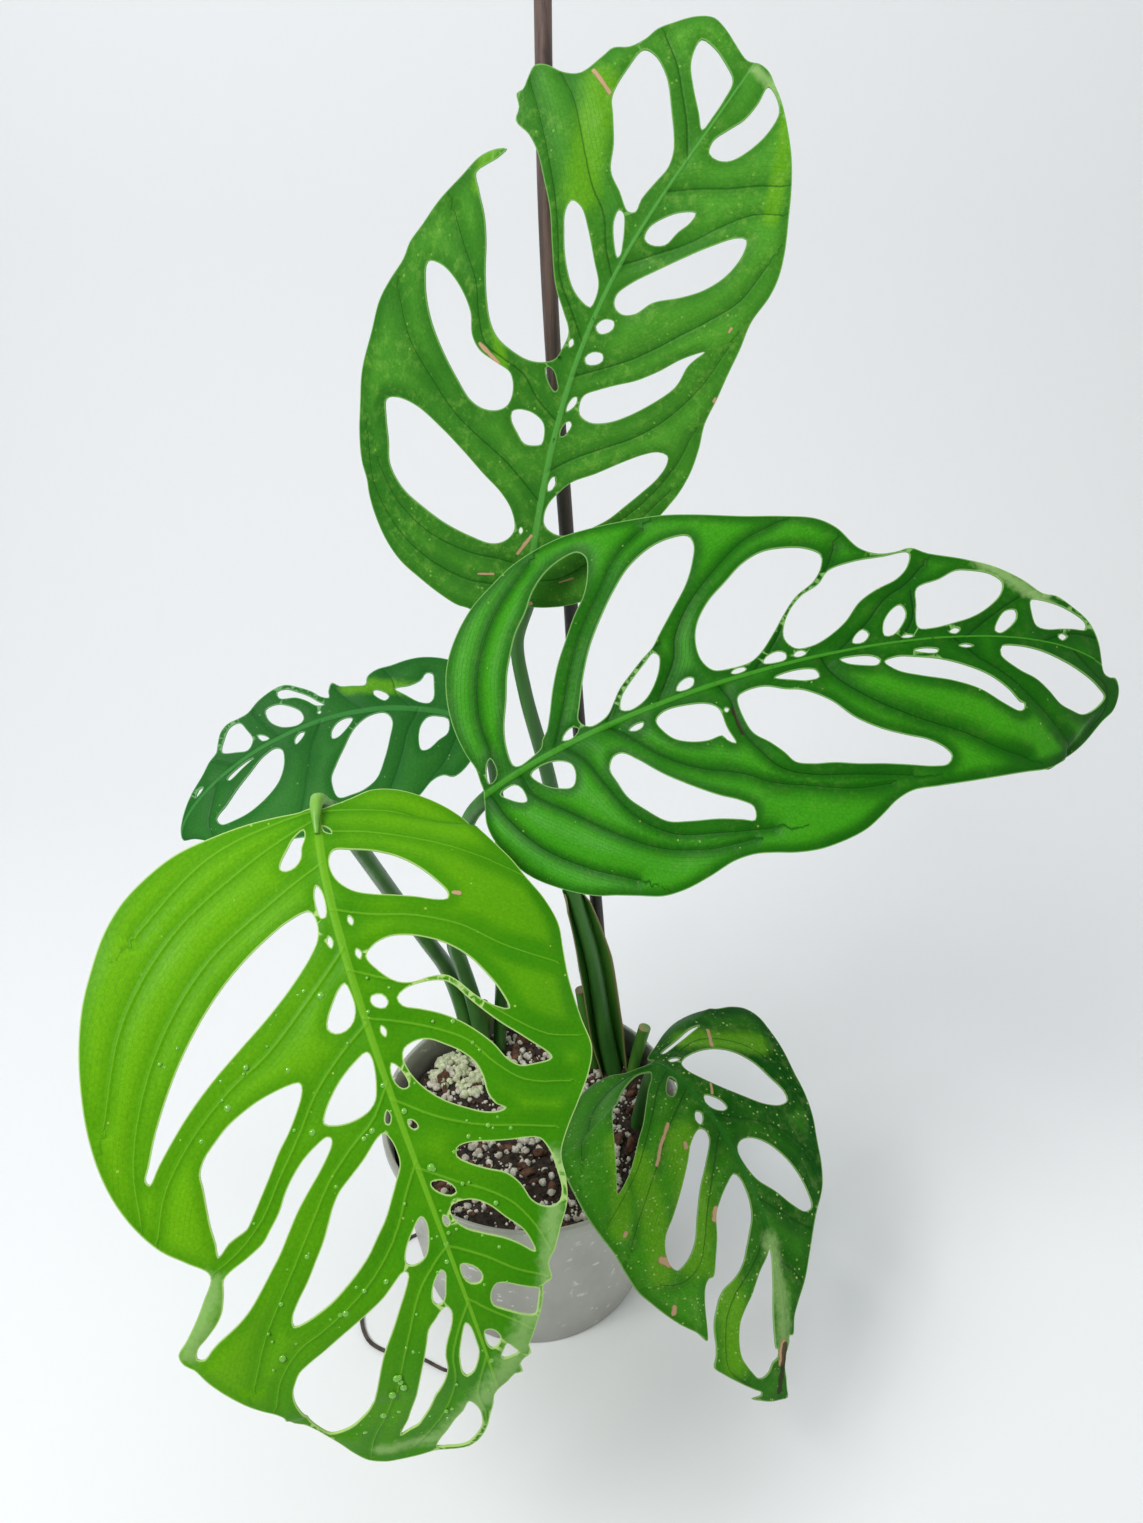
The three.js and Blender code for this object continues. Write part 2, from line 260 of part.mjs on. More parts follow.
      [165.3, 6.7, 165.8, 3.3, 170, 2.5, 176.7, 5.8, 181.7, 10, 184.7, 15, 180.8, 15.3, 175, 13.3,
        168.3, 11.7],
      [205, 10, 205.3, 5.8, 210, 4.2, 216.7, 6.7, 223.3, 9.5, 231.7, 10.3, 239, 9.8, 237, 15,
        232.5, 19.2, 223.3, 20, 213.3, 17.5, 207.5, 14.2],
    ],
  },
  leaf_low: {
    color: '#327a1e', size: 1,
    rib: [[67, -27, 180], [85, -43, 191], [136, -104, 152], [122, -149, 91]],
    up: [[0.35, -0.35, 0.87], [0.5, -0.7, 0.35]], fold: [[0, 4], [4, 4]], bend: [[-6, -10], [-14, -14]],
    stalk: [[61, -1, 90], [61, -1, 104], [64, -8, 140], [66, -20, 166]],
    stalkRadius: [4, 4, 3.6, 3.2],
    margin: [-3, -2, -7.5, -1.7, -10, -11.7, -12.5, -23.3, -12.5, -33.3, -8.3, -42.5, -1.7, -49.2,
      0.8, -52.5, 3.7, -60, 7.5, -65, 13.3, -66.7, 21.7, -65, 31.7, -62.5, 43.3, -58.7, 53.3, -56.7,
      63.3, -53.3, 73.3, -48.3, 83.3, -44.2, 91.7, -39.2, 100, -30.8, 105, -26.7, 115, -20,
      125, -14.2, 133.3, -8.3, 139.3, -5.1, 147.1, -3.6, 146.8, -1.4, 149.6, -1.1, 153.6, 0.7,
      157.1, 1.1, 160, 1.4, 164.3, 0.4, 169.3, -1.1, 174.4, -2.9, 175.1, 2.9, 175, 8.6, 173.9, 15,
      172.3, 21.4, 171.8, 18.6, 171.4, 15.4, 170.1, 15.4, 168.2, 20, 165.7, 25.7, 162.1, 32.9,
      157.9, 40, 153.9, 45, 148.6, 43.7, 142.9, 43.2, 137.1, 43.4, 131.4, 42.5, 125.7, 40,
      121.4, 37.5, 117.9, 33.9, 115.7, 28.6, 112.9, 23.6, 108.6, 18.9, 103.6, 15.4, 97.1, 10.7,
      92.1, 7.1, 87.1, 5, 80, 3.8, 72.5, 4.2, 70, 6.2, 73.3, 13.3, 78.3, 20, 83.3, 25, 93.3, 29.2,
      101.7, 33.3, 110.7, 38, 110.7, 40.4, 113.6, 43.2, 120, 45.4, 126.4, 46.4, 132.9, 46.9,
      140, 48, 135, 52.5, 131.7, 56.7, 128.3, 60.8, 121.7, 66.7, 113.3, 72.5, 105, 77.2, 93.3, 80,
      80, 81.7, 66.7, 84.2, 53.3, 85.5, 40, 85, 26.7, 83.3, 15, 80.8, 6.7, 79.7, 0, 78.5, -9, 71,
      -17, 60, -23, 46, -26.5, 33, -25.5, 24.5, -20.5, 15.5, -13, 11.5, -8.5, 6.5, -5, 2.5],
    windows: [
      [-2.8, -8, -1, -20, 0.2, -32, 1.6, -36, 1.6, -28, 1, -18, -0.8, -8],
      [3.8, -5.4, 5, -8.3, 7.5, -10, 7.8, -8, 5.8, -4.9],
      [9.2, -11.7, 10, -18.3, 13.3, -26.7, 20, -35, 30, -40.8, 40, -43.3, 48.3, -45.5, 52.2, -44.2,
        52.5, -38.3, 48.3, -30, 40, -21.7, 31.7, -15, 23.3, -10, 15, -6.9, 10.5, -7.9],
      [30.5, -4.2, 33.3, -7.5, 37.5, -10, 41.3, -10.3, 41.7, -7.5, 38.3, -3.3, 33.3, -2],
      [58.3, -5, 58.3, -10.8, 62.5, -17.5, 70, -23.3, 80, -27.8, 91.7, -29.7, 97.3, -29, 98, -24.2,
        93.3, -18.3, 85, -11.7, 76.7, -4.6, 68.3, -2, 61.7, -2],
      [12, 3.2, 15, 2.3, 19.2, 5, 22, 10.8, 19.2, 12, 15, 8.3],
      [-4.2, 10, 1.5, 7, 5, 9.5, 10, 17, 17.5, 26, 25, 34, 31, 41.5, 38, 49, 45, 57, 50.8, 66.7,
        44, 63.5, 33, 57.5, 22, 51, 12, 44.5, 4, 38, 0, 33.3, -3, 27, -5.2, 19, -5.3, 13],
      [35, 5.8, 37, 3.8, 40.8, 6.2, 41.6, 8.6, 38.3, 9.1],
      [43.3, 10.6, 45, 8, 49.2, 8.3, 58.3, 16.7, 68.3, 26.7, 80, 35, 91.7, 41.7, 98.3, 48.3,
        101.3, 55, 98.3, 57.5, 91.7, 58, 83.3, 55, 75, 46.7, 65, 36.7, 55, 26.7, 46.7, 18.3],
      [107.5, 2, 112.1, 2.5, 117.9, 3.9, 124.3, 5.4, 130, 6.8, 137.1, 7.9, 144.3, 8, 151.4, 7.1,
        152.1, 5.6, 155.4, 5.7, 157.1, 8.9, 161.4, 11.8, 163.2, 15, 162.9, 18.6, 160, 22.1,
        155.7, 26.1, 151.4, 28.9, 145.7, 29.9, 139.3, 29.3, 134.3, 27.5, 129.3, 23.6, 124.3, 18.6,
        119.3, 14.6, 115, 10.7, 110.7, 5.4],
    ],
  },
  leaf_back: {
    color: '#2c6e2a', size: 1,
    rib: [[-28, 51, 342], [-109, 58, 369], [-180, 10, 311], [-169, 9, 295]],
    up: [[-0.15, -0.6, 0.75], [-0.4, -0.7, 0.5]], fold: [[4, 4], [4, 4]], bend: [[-10, -10], [-10, -10]],
    stalk: [[-22, 60, 90], [-22, 60, 104], [-17, 62, 200], [-17, 61, 290], [-22, 56, 328]],
    stalkRadius: [4, 4, 3.7, 3.3, 3],
    margin: [-1, -2, -5, -10, -7.5, -17, -6.7, -23.3, -1.7, -31.7, 5, -32.5, 11.7, -36.7, 18, -44.5,
      28, -53, 42, -59, 60, -62, 80, -62, 100, -58, 120, -52, 140, -43, 155, -32, 165, -21,
      170, -10.8, 172, -4, 172, -0.8, 168, 0.6, 160, 2.9, 150, 5.8, 140, 8.3, 133.3, 11.3,
      128.3, 12.6, 125.5, 15.8, 121.2, 20.4, 116.7, 22, 111.7, 21.2, 106.7, 21, 100, 24.2,
      91.7, 26.2, 86.7, 25.9, 81.2, 21.7, 76.2, 17, 73, 12.9, 69.6, 11.2, 69.2, 14.2, 66.7, 18.7,
      63.3, 15.8, 58.3, 14.8, 52, 14.2, 50.8, 18.3, 46.7, 21.7, 40, 23.7, 33.3, 26.7, 26.7, 28.7,
      17.5, 29.2, 8, 27, 0, 20, -4, 10, -2, 2],
    windows: [
      [9.2, -10, 13.3, -15, 18.3, -20.8, 22.5, -21.7, 24.7, -15.8, 24.2, -8.3, 20.8, -3.3, 15, -2.2,
        10.8, -2.6],
      [40, -6.7, 41.7, -16.7, 45, -26.7, 50.8, -36.7, 60, -41.7, 70, -43.3, 80, -42.5, 80.3, -32.5,
        75, -25.8, 68.3, -18.3, 60, -8.3, 51.7, -3, 43.3, -2.2],
      [60.5, -3, 63.3, -6.7, 70, -11.3, 73, -11.3, 72.5, -7.5, 68.3, -3.3, 63.3, -2],
      [85.8, -2.8, 88.3, -5.3, 92.2, -7, 91.7, -4.2, 88.3, -2],
      [100, -6.7, 101.7, -13.3, 108.3, -20.8, 118.3, -25, 131.7, -26.3, 141.7, -24.2, 150, -20,
        150, -15.8, 140, -14.2, 130, -11.3, 120, -8.3, 110, -4.6, 102.5, -4],
      [115, -2.2, 121.7, -3.4, 131, -4.4, 131.5, -3, 125, -1.9, 118, -1.7],
      [20, 6.7, 21.7, 4.2, 26.7, 4.2, 33.3, 7.5, 38.3, 10.8, 31.7, 12.5, 26.7, 15.8, 24.5, 20,
        22, 20, 20.8, 15],
      [41.3, 6.7, 43.3, 4.7, 48.3, 8.3, 48.3, 10.6, 45, 10],
      [75, 5, 75.8, 4.2, 76.7, 5, 75.8, 5.9],
      [84.2, 4.2, 87.5, 2.6, 95, 5, 99.2, 10.8, 98.7, 17.5, 93.3, 17.6, 87.5, 13.2, 84.2, 8.6],
      [72.6, 8.2, 76, 8.9, 80, 13.5, 84, 17, 90.8, 20, 90.8, 24, 87, 23.4, 82.4, 19.3, 78, 14.8,
        75, 10.8],
      [103.3, 2.6, 106.7, 3.4, 107.5, 7.5, 105, 5.8],
      [110.5, 6.7, 115, 3.3, 120, 5.8, 125.8, 10.8, 121.7, 15.8, 116.7, 19.5, 112, 18.7,
        110.8, 13.3],
      [143.3, 3.2, 146.5, 2.3, 149.5, 2.6, 145.8, 4.2],
    ],
  },
};

// Stems and other long pieces: centre line and radius at each point
const CROWN_SHOOT = {
  path: [[-32, 66, 90], [-32, 66, 104], [-31, 64, 122], [-31, 62.5, 134], [-31, 62, 140]],
  radius: [3.4, 3.4, 3.9, 4.6, 3.2],
};
const CUT_STEM = {
  path: [[38.4, 47.8, 90], [36.6, 48, 104], [32.4, 49, 135], [28.6, 49.6, 162]],
  radius: [3.7, 3.7, 3.6, 3.6],
};
const CUT_STUB = {
  path: [[59.5, 39, 90], [60, 39.4, 104], [63, 40.5, 122], [66.5, 41, 140]],
  radius: [3.2, 3.3, 3.5, 3.7],
};
const STAKE = {
  path: [[42, 51, 50], [45, 57.5, 104], [38.5, 57, 203], [25.5, 57, 353], [20.9, 56.5, 435], [15, 58, 520],
    [12.6, 60, 578], [12.2, 64, 617], [11.9, 72, 668]],
  radius: Array(9).fill(STAKE_RADIUS),
};
const DRY_ROOT = {
  path: [[-69.1, 5, 1.4], [-81, -2, 1.4], [-93, -24, 1.4], [-100, -50, 1.4], [-94, -66, 1.4],
    [-83, -73, 1.4], [-63, -77, 1.4], [-48, -84, 1.4], [-38, -86, 1.4]],
  radius: [0.9, 1.1, 1.1, 1.1, 1.1, 1.1, 1, 0.9, 0.7],
};

const wasm = await Module();
wasm.setup();

// Solids: closed meshes for joining and cutting
const toSolid = (geometry) => {
  const g = geometry.clone();
  g.deleteAttribute('normal');
  g.deleteAttribute('uv');
  const merged = mergeVertices(g, 1e-4);
  return new wasm.Manifold(new wasm.Mesh({
    numProp: 3,
    vertProperties: new Float32Array(merged.attributes.position.array),
    triVerts: new Uint32Array(merged.index.array),
  }));
};
const toGeometry = (solid) => {
  const mesh = solid.getMesh();
  const g = new THREE.BufferGeometry();
  g.setAttribute('position', new THREE.BufferAttribute(new Float32Array(mesh.vertProperties), 3));
  g.setIndex(Array.from(mesh.triVerts));
  return g;
};
const fromArrays = (points, faces) => {
  const g = new THREE.BufferGeometry();
  g.setAttribute('position', new THREE.Float32BufferAttribute(points.flatMap((p) => [p.x, p.y, p.z]), 3));
  g.setIndex(faces.flat());
  return g;
};

// A round stem along a smooth line, thicker or thinner from point to point
function stem({ path, radius }, { sides = 10, steps = path.length * 2, grow = 0 } = {}) {
  const line = new THREE.CatmullRomCurve3(path.map((p) => new THREE.Vector3(...p)), false, 'centripetal');
  const frames = line.computeFrenetFrames(steps, false);
  const points = [];
  const faces = [];
  for (let i = 0; i <= steps; i += 1) {
    const along = i / steps;
    const centre = line.getPointAt(along);
    const at = line.getUtoTmapping(along) * (radius.length - 1);
    const k = Math.min(Math.floor(at), radius.length - 2);
    const r = THREE.MathUtils.lerp(radius[k], radius[k + 1], at - k) + grow;
    for (let j = 0; j < sides; j += 1) {
      const a = (j / sides) * 2 * Math.PI;
      points.push(centre.clone().addScaledVector(frames.normals[i], r * Math.cos(a))
        .addScaledVector(frames.binormals[i], r * Math.sin(a)));
    }
  }
  for (let i = 0; i < steps; i += 1) {
    for (let j = 0; j < sides; j += 1) {
      const a = i * sides + j;
      const b = i * sides + ((j + 1) % sides);
      faces.push([a, b, a + sides], [b, b + sides, a + sides]);
    }
  }
  const ends = [[0, -grow], [steps, grow]];
  for (const [i, reach] of ends) {
    const tip = line.getPointAt(i / steps).addScaledVector(frames.tangents[i], reach);
    points.push(tip);
    for (let j = 0; j < sides; j += 1) {
      const a = i * sides + j;
      const b = i * sides + ((j + 1) % sides);
      faces.push(i === 0 ? [b, a, points.length - 1] : [a, b, points.length - 1]);
    }
  }
  return fromArrays(points, faces);
}

// The leaf's surface in space from its flat frame
function leafSurface({ rib, up, fold, bend, size }) {
  const line = new THREE.CubicBezierCurve3(...rib.map((p) => new THREE.Vector3(...p)));
  line.arcLengthDivisions = 400;
  const length = line.getLength();
  const ups = up.map((p) => new THREE.Vector3(...p));
  const rad = Math.PI / 180;
  const place = (flatU, flatV) => {
    const u = flatU * size;
    const v = flatV * size;
    const k = THREE.MathUtils.clamp(u / length, 0, 1);
    const p = line.getPointAt(k);
    const t = line.getTangentAt(k);
    p.addScaledVector(t, u - k * length);
    const b = new THREE.Vector3().crossVectors(t, ups[0].clone().lerp(ups[1], k)).normalize();
    const n = new THREE.Vector3().crossVectors(b, t);
    const side = v >= 0 ? 0 : 1;
    const phi = THREE.MathUtils.lerp(...fold[side], k) * rad;
    const curl = THREE.MathUtils.lerp(...bend[side], k) * rad / (100 * size) || 1e-8;
    const out = (Math.sin(phi + curl * Math.abs(v)) - Math.sin(phi)) / curl;
    const rise = (Math.cos(phi) - Math.cos(phi + curl * Math.abs(v))) / curl;
    return p.addScaledVector(b, v >= 0 ? out : -out).addScaledVector(n, rise);
  };
  const normal = (u, v) => {
    const e = 0.4;
    const s = v >= 0 ? 1 : -1;
    const du = place(u + e, v).sub(place(u - e, v));
    const dv = place(u, v + s * e).sub(place(u, v)).multiplyScalar(s);
    return dv.cross(du).normalize();
  };
  return { place, normal, length: length / size };
}

const pairs = (flat) => Array.from({ length: flat.length / 2 },
  (_, i) => new THREE.Vector2(flat[2 * i], flat[2 * i + 1]));
const cross = (a, b, c) => (b.x - a.x) * (c.y - a.y) - (b.y - a.y) * (c.x - a.x);

// Flat triangles of a blade: its outline and windows, with points added inside and thin ones flipped
function bladeTriangles(outline, windows, inner) {
  const points = [outline, ...windows].flat();
  const fixed = points.length;
  const tris = THREE.ShapeUtils.triangulateShape(outline, windows)
    .map(([a, b, c]) => (cross(points[a], points[b], points[c]) > 0 ? [a, b, c] : [a, c, b]));
  for (const p of inner) {
    const hit = tris.findIndex(([a, b, c]) => cross(points[a], points[b], p) > 0.2
      && cross(points[b], points[c], p) > 0.2 && cross(points[c], points[a], p) > 0.2);
    if (hit >= 0) {
      const [a, b, c] = tris[hit];
      const n = points.push(p) - 1;
      tris.splice(hit, 1, [a, b, n], [b, c, n], [c, a, n]);
    }
  }
  const inCircle = (a, b, c, d) => {
    const [ax, ay, bx, by, cx, cy] = [a.x - d.x, a.y - d.y, b.x - d.x, b.y - d.y, c.x - d.x, c.y - d.y];
    return (ax * ax + ay * ay) * (bx * cy - cx * by) - (bx * bx + by * by) * (ax * cy - cx * ay)
      + (cx * cx + cy * cy) * (ax * by - bx * ay);
  };
  for (let round = 0, flipped = true; flipped && round < 200; round += 1) {
    flipped = false;
    const owner = new Map();
    tris.forEach((t, i) => t.forEach((a, j) => owner.set(`${a},${t[(j + 1) % 3]}`, i)));
    const touched = new Set();
    for (const [key, i] of owner) {
      const [a, b] = key.split(',').map(Number);
      const o = owner.get(`${b},${a}`);
      if (a > b || o === undefined || touched.has(i) || touched.has(o)) continue;
      const c = tris[i].find((x) => x !== a && x !== b);
      const d = tris[o].find((x) => x !== a && x !== b);
      if (cross(points[a], points[d], points[c]) > 1e-3 && cross(points[d], points[b], points[c]) > 1e-3
        && inCircle(points[a], points[b], points[c], points[d]) > 1e-6) {
        tris[i] = [a, d, c];
        tris[o] = [d, b, c];
        touched.add(i).add(o);
        flipped = true;
      }
    }
  }
  return { points, tris, fixed };
}

// A blade as one thin closed solid, thicker along its midrib
function blade(leaf) {
  const surface = leafSurface(leaf);
  const outline = pairs(leaf.margin);
  const windows = leaf.windows.map(pairs);
  const loops = [outline, ...windows];
  const clearOf = (p, gap) => loops.every((loop) => loop.every((a, i) => {
    const b = loop[(i + 1) % loop.length];
    const t = THREE.MathUtils.clamp(b.clone().sub(a).dot(p.clone().sub(a)) / a.distanceToSquared(b), 0, 1);
    return a.clone().lerp(b, t).distanceTo(p) > gap;
  }));
  const inner = [];
  const reach = surface.length;
  for (let u = 8; u < reach - 6; u += 11) {
    inner.push(new THREE.Vector2(u, 0));
  }
  for (let row = 0; row * INNER_GRID < 200; row += 1) {
    for (let u = -20; u < 320; u += INNER_GRID) {
      const p = new THREE.Vector2(u + (row % 2) * INNER_GRID * 0.5, row * INNER_GRID - 98);
      if (Math.abs(p.y) > 6 && clearOf(p, 4)) inner.push(p);
    }
  }
  const { points, tris, fixed } = bladeTriangles(outline, windows, inner.filter((p) => clearOf(p, 0.7)));
  const half = BLADE_THICKNESS / 2;
  const rib = (p) => Math.max(0, 1 - Math.abs(p.y) / 2) * RIB_DEPTH * Math.max(0.15, 1 - p.x / reach);
  const top = points.map((p) => surface.place(p.x, p.y).addScaledVector(surface.normal(p.x, p.y), half));
  const bottom = points.map((p, i) => surface.place(p.x, p.y)
    .addScaledVector(surface.normal(p.x, p.y), -half - (i < fixed ? 0 : rib(p))));
  const n = points.length;
  const faces = [];
  tris.forEach(([a, b, c]) => faces.push([a, c, b], [a + n, b + n, c + n]));
  const edges = new Map();
  tris.forEach((t) => t.forEach((a, j) => edges.set(`${a},${t[(j + 1) % 3]}`, [a, t[(j + 1) % 3]])));
  for (const [a, b] of edges.values()) {
    if (!edges.has(`${b},${a}`)) faces.push([a, b, b + n], [a, b + n, a + n]);
  }
  return fromArrays([...top, ...bottom], faces);
}

// A leaf's stalk, run on under the blade so that the two grow together
function stalkLine(leaf) {
  const surface = leafSurface(leaf);
  const last = leaf.stalkRadius.at(-1);
  const under = [[2, last], [12, last * 0.6], [24, last * 0.32]].map(([u, r]) => surface.place(u, 0)
    .addScaledVector(surface.normal(u, 0), -r).toArray());
  return { path: [...leaf.stalk, ...under], radius: [...leaf.stalkRadius, last, last * 0.6, last * 0.32] };
}

// Pot: a thin tapered wall, a stepped lip and a floor with drain holes
const wallRadius = (z) => POT_BASE_RADIUS + (POT_RIM_RADIUS - LIP_STEP - POT_BASE_RADIUS) * (z / POT_HEIGHT);
function pot() {
  const lipFoot = POT_HEIGHT - LIP_HEIGHT;
  const profile = [
    [0, 0], [POT_BASE_RADIUS - 1.5, 0], [POT_BASE_RADIUS, 1.5], [wallRadius(lipFoot), lipFoot],
    [POT_RIM_RADIUS - 0.5, lipFoot], [POT_RIM_RADIUS, lipFoot + 1], [POT_RIM_RADIUS, POT_HEIGHT - 1],
    [POT_RIM_RADIUS - 0.8, POT_HEIGHT], [POT_RIM_RADIUS - 2.6, POT_HEIGHT],
    [wallRadius(lipFoot) - POT_WALL, lipFoot - 2], [POT_BASE_RADIUS - POT_WALL, POT_FLOOR], [0, POT_FLOOR],
  ].map(([r, z]) => new THREE.Vector2(r, z));
  const shell = new THREE.LatheGeometry(profile, 48);
  shell.rotateX(Math.PI / 2);
  let solid = toSolid(shell);
  for (let i = 0; i < DRAIN_HOLES; i += 1) {
    const hole = new THREE.CylinderGeometry(DRAIN_HOLE_RADIUS, DRAIN_HOLE_RADIUS, 4 * POT_FLOOR, 10);
    hole.rotateX(Math.PI / 2);
    const a = ((i + 0.5) / DRAIN_HOLES) * 2 * Math.PI;
    hole.translate(DRAIN_HOLE_CIRCLE * Math.cos(a), DRAIN_HOLE_CIRCLE * Math.sin(a), POT_FLOOR / 2);
    solid = solid.subtract(toSolid(hole));
  }
  return solid;
}

// Soil: fills the pot to its level, with an uneven surface and coarse grains that stand out of it
function soil(holes) {
  let seed = 71;
  const random = () => {
    seed = (seed * 1664525 + 1013904223) % 4294967296;
    return seed / 4294967296;
  };
  const low = POT_FLOOR + SEAT_GAP;
  const profile = [[0, low], [wallRadius(low) - POT_WALL - SEAT_GAP - 0.4, low],
    [wallRadius(SOIL_LEVEL) - POT_WALL - SEAT_GAP - 0.4, SOIL_LEVEL - 3],
    [70, SOIL_LEVEL], [54, SOIL_LEVEL], [38, SOIL_LEVEL], [20, SOIL_LEVEL], [0, SOIL_LEVEL]]
    .map(([r, z]) => new THREE.Vector2(r, z));
  const body = new THREE.LatheGeometry(profile, 32);
  body.rotateX(Math.PI / 2);
  const at = body.attributes.position;
  for (let i = 0; i < at.count; i += 1) {
    if (at.getZ(i) > SOIL_LEVEL - 1) {
      const [x, y] = [at.getX(i), at.getY(i)];
      at.setZ(i, SOIL_LEVEL + 1.6 * Math.sin(x / 9 + 1) * Math.cos(y / 7) + Math.sin((x - y) / 5));
    }
  }
  let solid = toSolid(body);
  for (let i = 0; i < GRAIN_COUNT; i += 1) {
    const r = 72 * Math.sqrt(random());
    const a = 2 * Math.PI * random();
    const grain = new THREE.IcosahedronGeometry(2.2 + 1.6 * random(), 0);
    grain.rotateX(3 * random());
    grain.rotateY(3 * random());
    grain.translate(r * Math.cos(a), r * Math.sin(a), SOIL_LEVEL + 0.8);
    solid = solid.add(toSolid(grain));
  }
  for (const hole of holes) solid = solid.subtract(hole);
  return solid;
}

const part = new THREE.Group();
const add = (name, geometry, color, roughness, metalness = 0) => {
  const flat = geometry.index ? geometry : mergeVertices(geometry);
  flat.computeVertexNormals();
  const mesh = new THREE.Mesh(flat, new THREE.MeshStandardMaterial({ color, roughness, metalness }));
  mesh.name = name;
  part.add(mesh);
  return mesh;
};

const sockets = [];
for (const [name, leaf] of Object.entries(LEAVES)) {
  const line = stalkLine(leaf);
  const solid = toSolid(blade(leaf)).add(toSolid(stem(line, { steps: 20 })));
  sockets.push(toSolid(stem(line, { steps: 20, grow: SEAT_GAP })));
  add(name, toGeometry(solid), leaf.color, 0.42);
}
const grown = (piece, steps) => toSolid(stem(piece, { steps, grow: SEAT_GAP }));

add('crown_shoot', stem(CROWN_SHOOT), '#8fa63c', 0.55);
add('cut_stem', stem(CUT_STEM), '#4c7a2c', 0.55);
add('cut_stub', stem(CUT_STUB), '#6fa040', 0.55);
add('stake', stem(STAKE, { steps: 22 }), '#4a3530', 0.5);
add('dry_root', stem(DRY_ROOT, { sides: 7, steps: 26 }), '#3a332e', 0.8);
add('pot', toGeometry(pot()), '#9b9a95', 0.55);
add('soil', toGeometry(soil([...sockets, grown(CROWN_SHOOT), grown(CUT_STEM), grown(CUT_STUB), grown(STAKE, 22)])),
  '#2b2420', 0.95);

export default part;
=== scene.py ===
"""Looks of a potted climbing aroid with perforated leaves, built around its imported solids.

The leaves are cut from flat outlines (millimetres: u along the midrib, v to the side), laid on the same
curved surfaces as the solids and given veins, relief, rims and marks. Soil, pot, stems and stake are
finer versions of their solids. Everything is in the row frame, in metres.
"""

import logging
import math
import random
from dataclasses import dataclass
from enum import Enum
from typing import Iterable, Optional, Sequence, Union

import bmesh
import bpy
from mathutils import Matrix, Vector, noise
from mathutils.kdtree import KDTree

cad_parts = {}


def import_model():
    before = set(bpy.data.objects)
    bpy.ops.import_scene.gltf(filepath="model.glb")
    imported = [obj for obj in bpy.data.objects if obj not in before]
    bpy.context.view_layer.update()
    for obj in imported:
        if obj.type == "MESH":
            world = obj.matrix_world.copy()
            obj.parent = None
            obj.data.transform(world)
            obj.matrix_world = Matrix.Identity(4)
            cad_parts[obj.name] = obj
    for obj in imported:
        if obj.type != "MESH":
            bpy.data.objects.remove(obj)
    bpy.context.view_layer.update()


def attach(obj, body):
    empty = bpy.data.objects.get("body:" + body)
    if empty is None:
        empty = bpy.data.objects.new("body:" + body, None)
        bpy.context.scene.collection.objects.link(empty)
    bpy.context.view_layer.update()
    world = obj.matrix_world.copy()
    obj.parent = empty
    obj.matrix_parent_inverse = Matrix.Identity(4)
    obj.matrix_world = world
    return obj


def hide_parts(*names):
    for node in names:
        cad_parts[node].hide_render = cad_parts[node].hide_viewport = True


LOG = logging.getLogger("aroid")
MM = 0.001
FLAT_UNIT = 100.0  # millimetres to one unit of the flat coordinates, and of a vein's run
VEIN_UNIT = 10.0  # millimetres to one unit of the distance from a vein
Flat = Sequence[float]
Triple = tuple[float, float, float]
Color = tuple[float, float, float]
Input = Union[bpy.types.NodeSocket, float, Sequence[float]]


class Side(Enum):
    """Which side of its midrib a part of a blade lies on."""

    LEFT = 0
    RIGHT = 1


class Grain(Enum):
    """Kinds of loose pieces in the soil."""

    PERLITE = "perlite"
    CLUMP = "clump"
    BARK = "bark"
    CRUMB = "crumb"


class MarkKind(Enum):
    """Kinds of painted marks on a blade."""

    SCAR = "Scar"
    WILT = "Wilt"
    DARK = "Dark"
    GLOW = "Glow"


@dataclass(frozen=True)
class Mark:
    """A painted mark along a short line in a leaf's flat frame.

    Args:
        kind: what the mark looks like.
        start: u and v where it starts, in millimetres.
        end: u and v where it ends.
        width: its half width.
        soft: the share of that width over which it fades.
    """

    kind: MarkKind
    start: tuple[float, float]
    end: tuple[float, float]
    width: float
    soft: float = 0.4


@dataclass(frozen=True)
class LeafFinish:
    """Colours and strengths of a leaf's marks.

    Args:
        deep: colour of the darker patches.
        fresh: colour of the lighter patches.
        fleck: colour of small flecks.
        vein: colour of the side veins.
        midrib: colour of the midrib.
        rim: colour of the thin margin line, a painted backlit-edge highlight.
        fleck_amount: how many flecks there are, 0 to 1.
        vein_strength: how strongly the side veins show, 0 to 1.
        shading_band: how strongly painted light and shade show: lighter halfway between veins, darker along
            veins, midrib and margins, 0 to 1.
        roughness: the blade's roughness.
        tone: painted shade: how fast the blade darkens along u and v per 100 mm, and its start.
        mottle: how strongly yellowish blotches show, 0 to 1.
    """

    deep: Color
    fresh: Color
    fleck: Color
    vein: Color
    midrib: Color
    rim: Color
    fleck_amount: float = 0.2
    vein_strength: float = 0.6
    shading_band: float = 0.3
    roughness: float = 0.4
    tone: Triple = (0.0, 0.0, 0.5)
    mottle: float = 0.0


